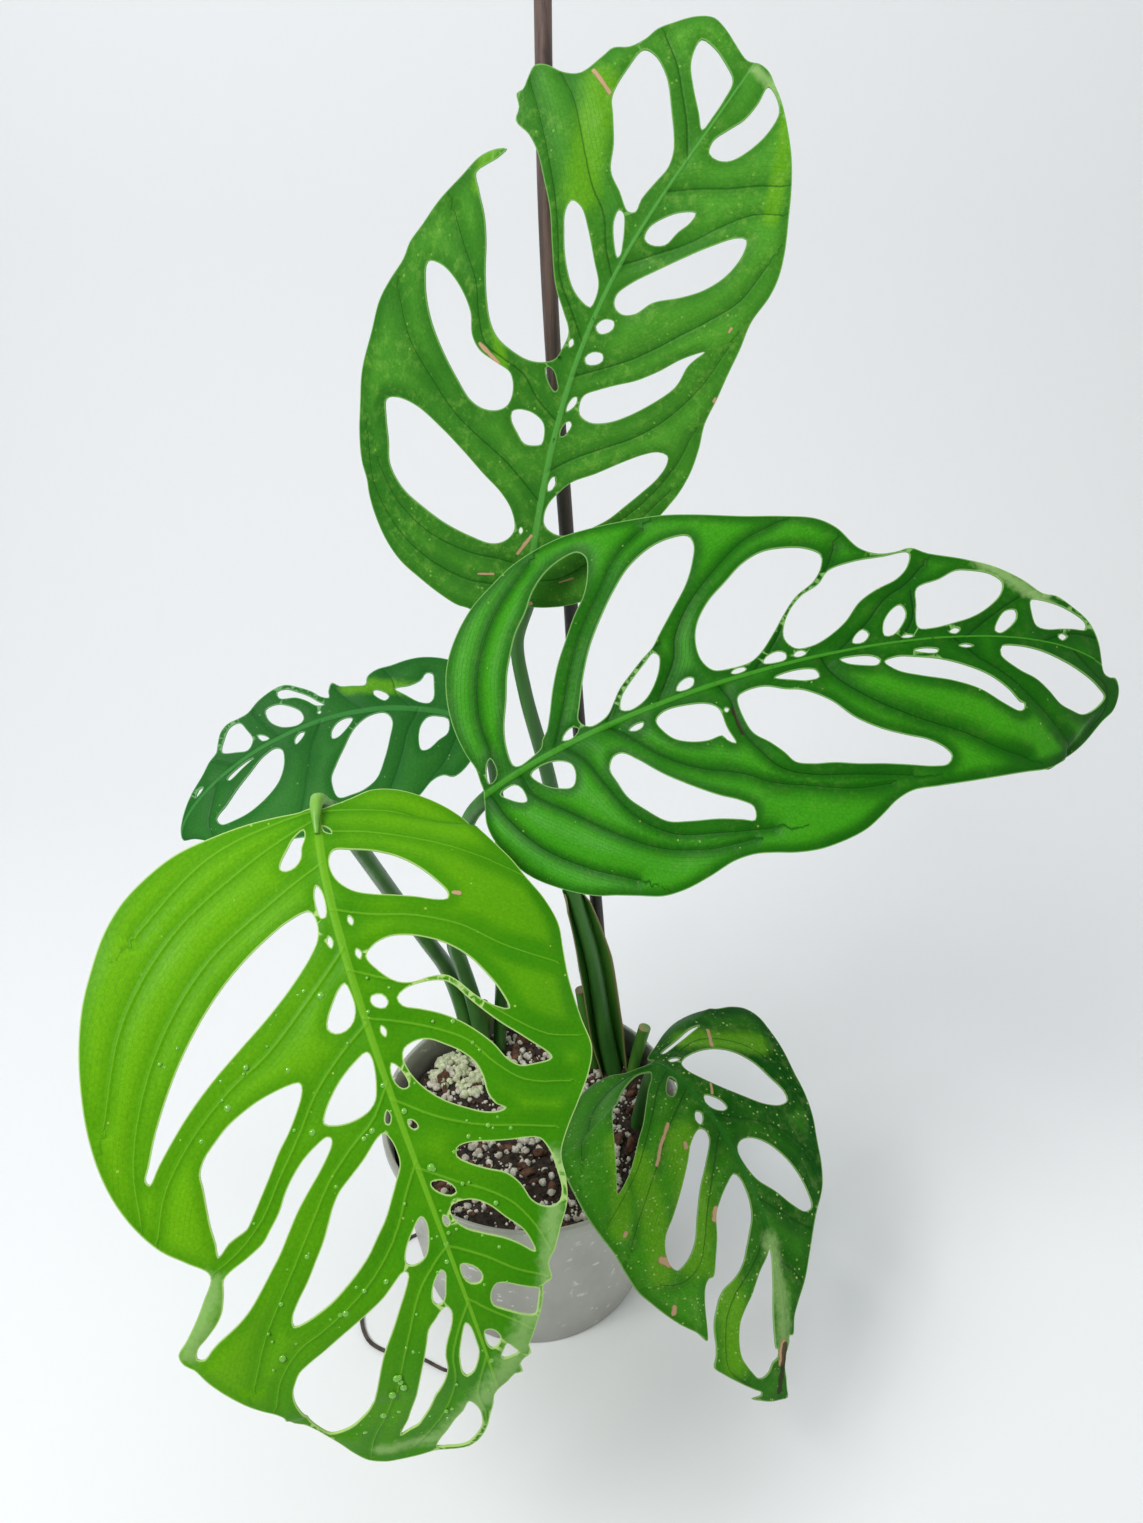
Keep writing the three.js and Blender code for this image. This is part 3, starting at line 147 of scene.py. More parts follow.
@dataclass(frozen=True)
class LeafShape:
    """A leaf's outline in its flat frame and how it lies in space.

    Args:
        name: the solid's node.
        slot: the record's material slot; not used.
        size: scale of the flat frame.
        rib: four Bezier points of the midrib.
        up: the face's direction at the base and the tip.
        fold: degrees each side is folded at the midrib, at the base and the tip.
        bend: degrees per 100 mm each side bends, at the base and the tip.
        stalk: points of the stalk's centre line.
        stalk_radius: the stalk's radius at those points.
        margin: the outer outline, u and v in turn.
        windows: the holes' outlines.
        veins: side veins, each starting at the midrib.
        finish: the blade's colours.
        relief: depth of the sunken veins in millimetres.
        marks: painted marks.
        inset: how far the outlines draw in towards their middle, so that the blade stays in its solid.
    """

    name: str
    slot: str
    size: float
    rib: Sequence[Triple]
    up: Sequence[Triple]
    fold: Sequence[tuple[float, float]]
    bend: Sequence[tuple[float, float]]
    stalk: Sequence[Triple]
    stalk_radius: Sequence[float]
    margin: Flat
    windows: Sequence[Flat]
    veins: Sequence[Flat]
    finish: LeafFinish
    relief: float = 0.6
    marks: Sequence[Mark] = ()
    inset: float = 0.006


FRONT_MARGIN = (
    4, -1, 1, -6, -4, -12.5, -10, -20, -12.5, -30, -11, -43, -7, -54, -2, -61, 5, -62.5, 15, -64, 27, -68,
    40, -73, 52, -76.5, 65, -80.5, 78, -82, 90, -79.5, 102, -77, 118, -75.5, 130, -75, 138, -70, 146, -62,
    153, -54.5, 160, -49, 168, -47.6, 176, -45, 184, -39, 190, -34.5, 193, -31.2, 198.8, -30.4, 199.5, -27,
    204, -25.2, 208.5, -22.7, 213, -19.5, 217, -16.8, 219, -15.2, 222.3, -15.2, 223.5, -12.3, 225.5, -10.2,
    229.2, -10.5, 229, -7.5, 231.5, -4.5, 234, -1, 237, 1.2, 243, 2.8, 250, 5.2, 256, 7.2, 260.5, 9.5,
    264.5, 12.6, 266.8, 16, 267.3, 20, 266.8, 25, 266.5, 29, 267.8, 35, 268.5, 43, 268.3, 48, 265.5, 54,
    260, 58, 252, 62, 245, 66, 240, 69, 236.7, 71.7, 235, 74.5, 231.7, 76.5, 223.3, 76.5, 218.3, 78.3,
    213.3, 81.7, 206.7, 85.8, 196.7, 90.8, 188.3, 94.2, 181.5, 96.2, 178, 98.5, 173.3, 98.7, 170, 95, 165,
    90, 158, 84, 150.5, 78.8, 143, 84.5, 136, 90.5, 126, 95.5, 115, 98.7, 104, 100, 92, 99.7, 80, 98, 67,
    95, 55, 90.8, 45, 85.5, 35, 79, 27.5, 71.7, 20.8, 61.7, 15.8, 51.7, 11.7, 38.3, 8.7, 26.7, 6.7, 16.5, 5,
    6.5, 3.5, 3,
)
FRONT_WINDOWS = (
    (23, -5, 23.8, -11.7, 25.8, -20, 30, -28.3, 36.7, -35.3, 44.2, -40.3, 50.8, -43.3, 53.3, -42.5, 52.7,
     -38.7, 49.2, -30.8, 46.3, -22.5, 44.2, -15.8, 40.8, -8.7, 35, -3.8, 27.5, -2.6), (62.3, -17.5, 63.3,
     -11.7, 66.7, -7.3, 73.3, -10, 79.2, -15, 81.3, -20, 81.6, -26.7, 83, -32.5, 86.4, -35.8, 95, -41,
     101.5, -47, 103.5, -50.5, 96.7, -50, 86.7, -46.7, 78.3, -42.5, 70.8, -35.8, 65.8, -28.3, 63.3, -22.5),
    (83, -16.7, 82.9, -24.2, 84.6, -30.6, 87.6, -34, 94, -37.4, 102.2, -42.2, 108, -46, 116.7, -52.5, 127,
     -58.7, 126.3, -51.7, 124.7, -46.7, 120.8, -43.3, 113.3, -40.3, 105, -35, 99.2, -30, 95, -25, 91.3,
     -19.2, 88.3, -14.2, 85, -13.3), (102, -15, 103, -9.8, 105.8, -8.3, 111.7, -8.9, 118.3, -11.7, 125,
     -16.7, 130.8, -23.3, 135, -29.2, 136.7, -33.8, 136.5, -36, 134, -33.5, 129.2, -32, 123.3, -32.5, 117.5,
     -31.7, 111.7, -28.3, 106.7, -23.3, 103.3, -19.2), (142, -17.5, 142.5, -15, 145, -14.2, 148.3, -16.7,
     153.3, -22.5, 157.5, -28.3, 163.3, -31.7, 170, -33.3, 173.3, -35.8, 175.3, -39.2, 175, -42.5, 171.7,
     -44.7, 165, -45.5, 156.7, -45.5, 151.7, -43.7, 149.7, -40, 147.5, -33.3, 145, -26.7, 143, -21.7),
    (159.7, -7.4, 160.8, -5.6, 164.2, -5.5, 169.2, -8.3, 173.3, -13.3, 178.3, -20, 182.5, -24.2, 187, -28,
     184, -28, 178.3, -26.7, 171.7, -22.5, 165, -18.3, 160.8, -13.3), (192.1, -11.9, 193.5, -9.6, 196.2,
     -8.1, 199.2, -8.2, 201.5, -10.4, 203.8, -13.1, 206.5, -16.5, 208.5, -20.8, 206.2, -22.3, 203.1, -23.8,
     200.2, -24.8, 198.5, -22.3, 196.5, -19.2, 193.8, -15.4), (12, -1.8, 13.5, -4.5, 15.5, -5, 14.5, -2.5),
    (50.4, -5.2, 52.2, -4.5, 54, -5.4, 52.2, -6.2), (63.2, -4.7, 65, -3.9, 66.9, -4.8, 65, -5.8),
    (81.3, -5, 82, -8.3, 85, -9.5, 86.7, -8, 85.3, -5, 83, -4), (92.6, -4.7, 94.5, -4, 96.4, -4.9, 94.5,
     -5.7), (106.2, -3.8, 108.3, -5.5, 113.3, -7, 115.8, -6.7, 115.8, -4.7, 113.3, -3, 109.2, -2.7),
    (126.7, -2.7, 127.5, -4.2, 130, -5, 130.5, -3.7, 128.7, -2.4), (149.7, -2.7, 150.3, -5.8, 153.3, -8.8,
     156.3, -9.5, 156.7, -7.5, 154.2, -4.2, 151.3, -2.4), (162, -2.6, 163.4, -3.7, 165.6, -3.6, 166, -2.5,
     164, -1.9), (180.7, -2.2, 181.3, -4.2, 184.2, -7, 187.5, -7.8, 189.2, -6.3, 188.3, -3.3, 185.3, -1.8),
    (207.1, -2.3, 207.7, -4.6, 210, -6.2, 212.3, -6.5, 214.8, -4.6, 215, -2.7, 213.1, -1.7, 209.6, -1.6),
    (215.2, -8.1, 217.7, -9.8, 220.4, -11, 220.9, -8.5, 220.8, -5.4, 219.2, -4.9, 216.9, -6.5), (36, 3.7,
     38.3, 2.4, 44.2, 2, 48.3, 3, 48.3, 4.6, 44.2, 5.2, 39.2, 5), (55.7, 3.7, 57.8, 2.8, 60, 3.8, 57.8,
     4.7), (12.8, 5.3, 15.8, 5, 20, 6.7, 24.2, 7.5, 27, 10, 27.8, 13.3, 26.7, 15.3, 24.2, 14.7, 20, 12,
     15.8, 9.2), (44.7, 8.5, 46.7, 7, 51.7, 6.7, 55.8, 8, 60, 11.3, 65, 16.7, 70.8, 24.2, 76.7, 33.3, 83.3,
     45, 90, 56.7, 96.7, 66.7, 103.3, 75, 109.2, 81.7, 113.7, 86.3, 112, 87, 108.3, 84.7, 100, 79.7, 90,
     72.5, 80, 64.2, 70, 54.2, 61.7, 44.2, 55, 34.2, 50, 25, 46.3, 16.7), (73.8, 3, 76.7, 2.1, 83.3, 2.1,
     87.5, 4.2, 89.5, 7.5, 89.2, 11.3, 86.7, 13.3, 83.3, 12, 78.3, 8.3, 75, 5.3), (99.4, 3.1, 101.4, 2.2,
     106.4, 2.6, 111.4, 3.9, 115.7, 5.7, 118.2, 8.6, 119.5, 12.9, 119.6, 17.9, 118.6, 22.1, 116.8, 25,
     113.9, 23.6, 109.3, 19.6, 105, 14.6, 101.4, 8.6), (100.6, 28.9, 101.8, 28.2, 105, 29.4, 109.3, 32.5,
     115, 37.5, 120, 42.9, 126.4, 48.6, 132.1, 53.9, 137.1, 58.6, 140.4, 62.1, 141.4, 65.7, 142.5, 69.3,
     145.5, 74, 141.4, 73.2, 135, 72.7, 127.1, 71.4, 121.4, 70.4, 117.1, 69.9, 114.3, 68.2, 112.1, 66.1,
     108.6, 61.1, 105.7, 56.4, 103.2, 50, 101.6, 44.3, 100.7, 38.6, 100.3, 32.9), (121.6, 25.8, 122.5, 24.6,
     124.3, 25.1, 127.1, 27.5, 131.4, 32.1, 136.4, 38.2, 141.4, 43.9, 147.1, 49.3, 152.9, 54.6, 158.6, 60.7,
     163.6, 66.1, 167.9, 71.1, 171.1, 76.1, 173.2, 80.7, 175, 85, 177.1, 88.6, 179.3, 91.6, 177.9, 93.7,
     174.3, 92.1, 171.8, 88.2, 168.6, 83.6, 165.4, 80.4, 159.3, 77.3, 153.9, 75.2, 152.1, 72.1, 150.4, 66.4,
     148.6, 61.4, 147.1, 58.2, 144.3, 55, 139.3, 49.6, 134.3, 45.7, 130, 41.4, 125.7, 35.7, 122.9, 30),
    (120.8, 3, 123, 2.5, 125.4, 4, 124.6, 5, 122.5, 4.4), (128.4, 9.3, 127.7, 6.8, 130.7, 5.3, 135, 4.8,
     139.6, 5.3, 145, 8.9, 150, 12.5, 155.7, 16.8, 160.7, 21.8, 165.7, 26.8, 170, 32.5, 173.6, 38.2, 177.1,
     44.6, 179.3, 50.7, 180.6, 55.7, 180.6, 59.6, 177.1, 58.9, 172.1, 55, 166.4, 49.3, 160.7, 44.3, 155,
     39.3, 150, 35.7, 145, 32.1, 140.7, 27.9, 137.1, 22.1, 133.6, 16.4), (159.6, 4.9, 161.1, 4, 165.4, 4.4,
     170, 6.1, 173.2, 8.2, 174.8, 11.4, 174.7, 14, 173.4, 15.4, 171.8, 15.2, 167.9, 13.2, 163.6, 9.6),
    (175.9, 17.3, 177.1, 16.2, 179.3, 17.2, 183.6, 20, 188.6, 23.6, 194.3, 27.5, 200, 31.6, 204.6, 34.6,
     210.8, 37.7, 218.5, 40.8, 226.2, 43.5, 232.3, 45.4, 236.2, 47.7, 240, 51.2, 243.1, 54.6, 245, 58.5,
     245.4, 63.6, 242.3, 66, 240, 67.2, 235.4, 69, 230, 69.5, 223.1, 70, 214.6, 70.2, 208.5, 69.2, 203.8,
     66.9, 200, 64.2, 197.3, 59.6, 194.6, 53.5, 191.5, 46.9, 188.5, 40, 185.4, 33.1, 182.3, 26.9, 179,
     22.3), (180, 4.8, 181.4, 4, 185.7, 5.4, 190, 7.1, 191.9, 8.9, 191.7, 10.6, 190, 11.4, 185.7, 10, 182.1,
     7.5), (193.6, 7.6, 195.4, 6.7, 198.5, 7.3, 202.3, 9.2, 206.9, 11.9, 212.3, 14.1, 218.5, 15, 223.1,
     16.7, 229.2, 20, 234.6, 23.1, 240, 25.8, 245.4, 29.2, 249.6, 32.3, 251.2, 35.4, 253.6, 39.3, 250, 37.7,
     245.4, 35, 240, 32.7, 233.1, 29.6, 226.2, 27.5, 218.5, 24.6, 210.8, 21.2, 205.4, 18.8, 200, 16.2,
     196.9, 12.7, 194.2, 9.6), (201.9, 3.2, 203.8, 2.2, 209.2, 2, 214.6, 2.3, 219.2, 4.2, 223.1, 6.5, 224.8,
     9.2, 223.1, 10.2, 218.5, 10, 213.1, 8.8, 208.5, 6.9, 204.6, 5), (239.6, 11.2, 241.5, 9.6, 245.4, 8.3,
     251.5, 8.4, 255.4, 9.2, 259.2, 11.2, 262.7, 13.8, 265.2, 16.5, 265.8, 20, 265.2, 24, 264.4, 27.8, 260,
     25.8, 255.4, 22.3, 249.2, 18.1, 244.6, 14.2),
)
FRONT_VEINS = (
    (6, 0, 3, -15, 1, -32, 6, -52), (15, 0, 16, -18, 22, -38, 36, -60, 50, -74), (47, 0, 52, -12, 57, -28,
     66, -44, 80, -58, 94, -75), (70, 0, 78, -13, 82.3, -24, 84.5, -33, 92, -38.5, 104, -47, 118, -60, 124,
     -72), (88, 0, 94, -12, 101, -23, 109, -32, 120, -38, 130, -46, 138, -62), (118, 0, 130, -13, 139, -27,
     144, -38, 150, -50), (143, 0, 153, -11, 160, -19.5, 168, -26.5, 178, -31, 188, -33), (172, 0, 181, -11,
     190, -20, 196, -28), (192, 0, 200, -6.5, 208, -14, 213, -18), (5, 0, 10, 16, 20, 42, 38, 68),
    (9, 0, 22, 24, 40, 55, 62, 78, 90, 93), (28, 0, 38, 20, 52, 46, 74, 70, 104, 88, 125, 93), (62, 0, 70,
     10, 79, 22, 88, 36, 95, 52, 105, 68, 118, 82, 132, 90), (90, 0, 97, 12, 106, 24, 118, 35, 128, 45, 139,
     55.5, 146, 66, 149.5, 75), (112, 0, 122, 9, 128, 19, 136, 30, 147, 40.5, 158, 50.5, 169, 60.5, 182, 71,
     198, 80), (141, 0, 150, 7, 159, 13, 168, 21, 176, 31, 181.5, 41, 186, 51, 190, 61, 200, 71, 214, 77),
    (172, 0, 178, 8, 185, 15, 200, 24, 212, 30, 226, 35.5, 240, 42, 252, 49, 261, 52), (194, 0, 202, 5.8,
     213, 11.5, 224, 13.4, 234, 16.5, 244, 21.5, 253, 28, 262, 36), (216, 0, 226, 4.5, 236, 7.5, 246, 6.5,
     256, 7.6),
)
LEAF_FRONT = LeafShape(
    name="leaf_front", slot="leaf_bright", size=1,
    rib=((-75, -83, 379), (-72, -134, 366), (-11, -212, 266), (-4, -214, 212)),
    up=((0.1, -0.6, 0.8), (0, -0.93, 0.3)),
    fold=((0, 0), (-8, -8)),
    bend=((8, 8), (-20, -20)),
    stalk=((-40, 56, 90), (-40, 56, 104), (-41, 55, 130), (-48, 50, 173), (-56, 25, 220),
           (-64, 3, 261), (-69, -48, 331), (-73.5, -72, 368)),
    stalk_radius=(5, 5, 5, 4.8, 4.4, 4.2, 3.8, 3.6),
    margin=FRONT_MARGIN, windows=FRONT_WINDOWS, veins=FRONT_VEINS,
    finish=LeafFinish(
        deep=(0.038, 0.228, 0.002), fresh=(0.142, 0.42, 0.005), fleck=(0.42, 0.6, 0.1),
        vein=(0.22, 0.52, 0.03), midrib=(0.17, 0.45, 0.02), rim=(0.55, 0.76, 0.26), fleck_amount=0.04,
        vein_strength=0.4, shading_band=0.6, roughness=0.38, tone=(0.25, -0.5, 0.2),
    ),
    relief=0.4,
    marks=(
        Mark(MarkKind.WILT, (154, 80), (173, 93), 8, 0.95),
        Mark(MarkKind.WILT, (160, -46), (204, -26), 6, 0.95),
        Mark(MarkKind.WILT, (206, -20), (234, 2), 8, 0.95),
        Mark(MarkKind.WILT, (234, 2), (258, 24), 8, 0.95),
        Mark(MarkKind.WILT, (258, 24), (260, 48), 5, 0.95),
        Mark(MarkKind.WILT, (84, -24), (90, -38), 2.2, 0.95),
        Mark(MarkKind.WILT, (90, -38), (102, -48), 2.2, 0.95),
        Mark(MarkKind.SCAR, (52, -45), (53, -47), 1.0),
    ),
)
RIGHT_MARGIN = (
    2, -2, 2.8, -5.5, 4.5, -12.5, 4.2, -19.5, 5, -30, 7.1, -40.5, 10.6, -51, 15.9, -61.5, 23.8, -71.1, 34.3,
    -79.9, 44.8, -85.1, 55.3, -89.5, 65.8, -91.6, 78, -92.1, 92, -90, 106, -86.9, 118.3, -83.7, 130.5, -79,
    142.8, -73.8, 149.8, -71.1, 163.8, -66.8, 176, -62.4, 183, -56.3, 190, -44.9, 197, -41, 204, -40.8,
    210.1, -41.9, 216.3, -38.8, 230.3, -35.3, 242.5, -31.8, 253, -26.9, 261.8, -21.7, 267, -21.8, 274,
    -18.8, 281.9, -14.8, 288, -9, 293.3, -2, 297.6, 2.4, 302, 1.5, 304.6, -0.6, 309.9, 0.6, 313.4, 4.1,
    315.5, 9.4, 314.6, 17.3, 314.6, 33, 312.5, 43.5, 307.3, 54.9, 302.9, 50.5, 296.8, 48.8, 289.8, 49.3,
    281, 53.1, 268.8, 57.5, 254.8, 60.1, 237.3, 62.8, 221.5, 64.5, 205.8, 65.4, 191.8, 65.9, 183, 68.9,
    174.3, 74.1, 165.5, 78.5, 155, 81.1, 141, 82.4, 128.8, 81.1, 118.3, 78.5, 109.5, 76.8, 99, 76.8, 85,
    79.4, 71, 80.8, 58.8, 79.7, 46.5, 75, 36, 70.6, 25.5, 66.3, 11.5, 56.6, -0.8, 43, -4.5, 31, -6, 21,
    -5.1, 12, -0.8, 3.3,
)
RIGHT_WINDOWS = (
    (5.9, -3.4, 7.1, -7.3, 9.8, -11.1, 12.4, -12.5, 12.7, -9, 11.2, -4.6, 8, -2.7), (19.9, -4.1, 21.1,
     -12.5, 24.6, -21.3, 30.8, -31.8, 36, -42.3, 40.4, -49.3, 46.5, -58, 53.5, -65, 59.6, -72.9, 67.5, -79,
     75.4, -81.6, 81.5, -81.6, 84.1, -77.3, 82.4, -69.4, 78, -60.6, 71, -52.8, 64, -44, 57, -35.3, 50,
     -24.8, 44.8, -16, 40.4, -9.9, 36.9, -7.3, 35.1, -4.6, 27.3, -2.6, 22, -2.4), (45.1, -2.9, 48.3, -5.5,
     51.8, -6, 53.8, -4.1, 50.9, -2, 47.4, -1.8), (55.4, -7.4, 58.8, -14.3, 65.8, -26.5, 72.8, -37, 81.5,
     -47.5, 90.3, -57.1, 99, -65, 109.5, -70.3, 118.3, -71.5, 125.3, -69.9, 126.5, -65, 123.5, -56.3, 118.3,
     -47.5, 109.5, -37.9, 100.8, -29.1, 96.9, -25.1, 91.1, -21.8, 84.1, -17.4, 77.1, -12.8, 72.8, -8.5,
     67.5, -4, 58.8, -3), (74.5, -4.1, 75.4, -7, 78, -10.4, 85, -15.5, 92, -20, 96.4, -22.6, 98.1, -20.4,
     96.4, -15.1, 92, -9, 85.9, -4.1, 78, -2.4), (100.4, -2.9, 102.5, -5.5, 106.9, -6.7, 109, -5.5, 107.8,
     -2.8, 104.3, -1.9), (114.8, -12.5, 115.1, -21.3, 118.3, -29.1, 125.3, -37, 134, -43.1, 142.8, -49.3,
     151.5, -52.4, 160.3, -51.9, 169, -49.3, 174.3, -44.9, 173.4, -39.6, 169, -33.5, 160.3, -28.3, 153.3,
     -21.3, 147.1, -14.3, 139.3, -7.2, 134, -4.8, 125.3, -4.8, 118.3, -6.4), (125.5, -2.6, 127, -3.6, 131,
     -3.6, 132, -2.4, 129.5, -1.7, 127, -1.8), (140.1, -2.9, 141.9, -5.1, 147.1, -6.3, 150.2, -4.6, 149.7,
     -2.2, 144.5, -1.8), (153.5, -2.6, 154.7, -3.9, 157, -4.2, 159, -2.8, 157.5, -1.9, 155, -1.8),
    (151.5, -10.8, 152.4, -16, 156.8, -23, 162.9, -28.3, 170.8, -31.8, 176, -37, 186.5, -39.1, 198.8, -39.4,
     209, -39.8, 207.5, -33.5, 202.3, -28.3, 193.5, -24.8, 185.6, -20.4, 177.8, -12.5, 169, -7.3, 162, -5.2,
     155, -5.8), (179.5, -2.9, 180.9, -5.5, 184.8, -7.8, 186.9, -5.5, 183.9, -2.4), (193.5, -3.8, 193.9, -9,
     197.9, -14.3, 202.3, -16.4, 204, -12.5, 201.4, -7.3, 197, -3.6), (200.6, -2.1, 203.3, -2.9, 206, -2.1,
     203.3, -1.5), (208.4, -5.5, 208.9, -16, 210.1, -23, 219.8, -26.5, 226.8, -30, 232, -30, 240.8, -28.3,
     245.1, -24.8, 244.3, -19.5, 239, -13.4, 232, -9, 223.3, -6.4, 214.5, -4.8), (221.5, -2.4, 224.1, -4.1,
     226.2, -3.4, 224.1, -1.7), (241.6, -2.9, 242.5, -6.4, 246, -11.6, 250.4, -12.5, 250.9, -9, 247.8, -4.6,
     243.6, -1.9), (257.4, -12.5, 257, -17.8, 263.5, -18.3, 272.3, -16.9, 281, -13.5, 281.5, -10.8, 275.8,
     -9, 270.5, -7.5, 265.3, -6, 260, -6.6), (270.2, -3.8, 271.9, -5.5, 274.2, -4.9, 272.3, -2.7),
    (8, 4.1, 11.5, 3.3, 15.9, 4.1, 18.2, 7.6, 17.6, 13.8, 15, 12.9, 10.6, 8.5), (25, 4.1, 30.8, 2.9, 39.5,
     5, 44.2, 9.4, 43.9, 14.6, 40.4, 18.7, 34.3, 16.4, 29, 12), (60.5, 26, 59.6, 19, 63.1, 14.6, 67.5, 14.6,
     72.8, 19.9, 81.5, 30.4, 92, 40, 102.5, 47.9, 111.3, 53.1, 116.2, 57.5, 114.8, 62.8, 109.5, 61, 99,
     57.5, 85, 54, 75.4, 50.5, 67.5, 41.8, 62.3, 33.9), (74.5, 6.2, 77.1, 5, 81.5, 5.4, 80.6, 7.1, 77.1,
     7.6), (87.3, 6.8, 92, 4.1, 102.5, 5, 111.3, 7.6, 115.1, 11.1, 116, 20.8, 117.6, 28.4, 114.5, 26, 113,
     23.4, 106, 23.4, 97.3, 20.8, 91.1, 16.4), (117.4, 12.9, 118.3, 11.9, 119.4, 12.9, 118.3, 14),
    (124.9, 9, 128.8, 7.3, 137.5, 7.5, 146, 11.2, 153, 13.4, 163.8, 20.8, 172.5, 30.4, 183, 37.4, 193.5,
     41.8, 204, 45.3, 211, 49.6, 213.6, 53.1, 211, 56.3, 204, 56.6, 193.5, 54.9, 181.3, 52.6, 169, 50.5,
     158.5, 47.9, 148, 46.1, 141, 43.5, 137.5, 38.3, 132.3, 32.1, 127, 26.9, 124.9, 20.8), (143, 4.9, 148,
     4, 156.8, 4.4, 161, 6, 161.6, 9.4, 156, 9.7, 150, 7.8), (172.5, 3.6, 177.8, 3.3, 186.5, 4.7, 189.3,
     6.8, 187.8, 8.9, 181.3, 8, 175.1, 5.9), (191.2, 8.2, 197, 6.6, 205.8, 7.8, 216.3, 9.9, 226.8, 13.4,
     237.3, 18.1, 246, 24.3, 251.3, 29.5, 253.5, 30, 253, 32.5, 250.4, 33.5, 242.5, 30.4, 232, 24.3, 219.8,
     19.9, 205.8, 16.4, 196.1, 12.9), (204.9, 4.7, 209.3, 4.1, 215.4, 5.3, 214.5, 6.6, 208.4, 6),
    (225, 4.1, 228, 3.4, 231.1, 4.3, 228, 5), (243.4, 8.5, 244.3, 4.4, 251.3, 3.6, 261.8, 4.4, 274, 6.8,
     286.3, 8.9, 298.5, 9.9, 306.4, 10.3, 305.9, 16.4, 300.3, 22.5, 291.5, 26.9, 282.8, 27.8, 274, 26.9,
     267, 22.5, 260, 18.1, 251.3, 14.6),
)
RIGHT_VEINS = (
    (8, 0, 14, -14, 17, -30, 26, -50, 41, -70, 62, -86), (40, 0, 47, -9, 52, -16, 61, -30, 72, -45, 85.5,
     -60, 96, -72, 108, -80), (66, 0, 72, -6.5, 78, -12, 88, -18.5, 98, -25), (90, 0, 98, -9, 104, -17, 108,
     -27, 117, -38, 130, -49, 146, -60, 160, -64), (134, 0, 142, -6, 149, -13, 155, -21.5, 164, -29.5, 175,
     -38, 180, -47), (172, 0, 186, -10, 196, -20, 206, -26, 213, -33), (199, 0, 206, -10, 207, -20),
    (228, 0, 238, -8, 248, -16, 256, -22), (262, 0, 276, -7, 286, -9), (4, 0, 6, 16, 14, 36, 30, 54, 50,
     68), (21, 0, 22, 12, 34, 28, 50, 46, 68, 60, 90, 68, 112, 70), (44, 0, 51, 10, 55, 24, 62, 42, 76, 56,
     100, 63.5, 122, 68), (66, 0, 76, 12, 85, 23, 98, 33, 117, 42, 128, 49, 144, 54.5, 164, 60, 182, 61),
    (118, 0, 121.5, 9, 121.8, 22, 127, 34, 134, 44, 146, 50, 170, 55, 192, 59), (164, 0, 168, 9, 178, 20,
     192, 30, 206, 37, 222, 43, 238, 50, 254, 54), (222, 0, 231, 8, 240, 14, 250, 21, 262, 30, 276, 38, 292,
     42, 306, 45), (276, 0, 290, 5.5, 303, 7, 310, 12, 311, 24),
)
LEAF_RIGHT = LeafShape(
    name="leaf_right", slot="leaf_deep", size=0.94,
    rib=((-15.5, -45.3, 356.1), (56.8, -33.1, 412.5), (217.6, -26.5, 450.1), (252.4, -27.5, 401.2)),
    up=((-0.15, -0.72, 0.66), (0.05, -0.72, 0.66)),
    fold=((6, 6), (6, 6)),
    bend=((-14, -14), (-14, -14)),
    stalk=((-30, 50, 90), (-30, 50, 104), (-34, 47, 150), (-39, 32, 198), (-40.7, 22.5, 219),
           (-32, -5, 278), (-22.6, -33.5, 337.3)),
    stalk_radius=(5, 5, 4.7, 4.3, 4.1, 3.7, 3.4),
    margin=RIGHT_MARGIN, windows=RIGHT_WINDOWS, veins=RIGHT_VEINS,
    finish=LeafFinish(
        deep=(0.006, 0.088, 0.003), fresh=(0.046, 0.305, 0.008), fleck=(0.3, 0.45, 0.1),
        vein=(0.004, 0.045, 0.002), midrib=(0.06, 0.3, 0.02), rim=(0.25, 0.5, 0.14), fleck_amount=0.05,
        vein_strength=0.75, shading_band=1.0, roughness=0.38, tone=(0.22, 0.1, 0.05), mottle=0.06,
    ),
    relief=0.9,
    marks=(
        Mark(MarkKind.WILT, (236, -34), (270, -12), 5, 0.95),
        Mark(MarkKind.WILT, (276, -22), (284, -14), 3, 0.95),
        Mark(MarkKind.DARK, (121, 13), (122, 25), 1.0),
    ),
)
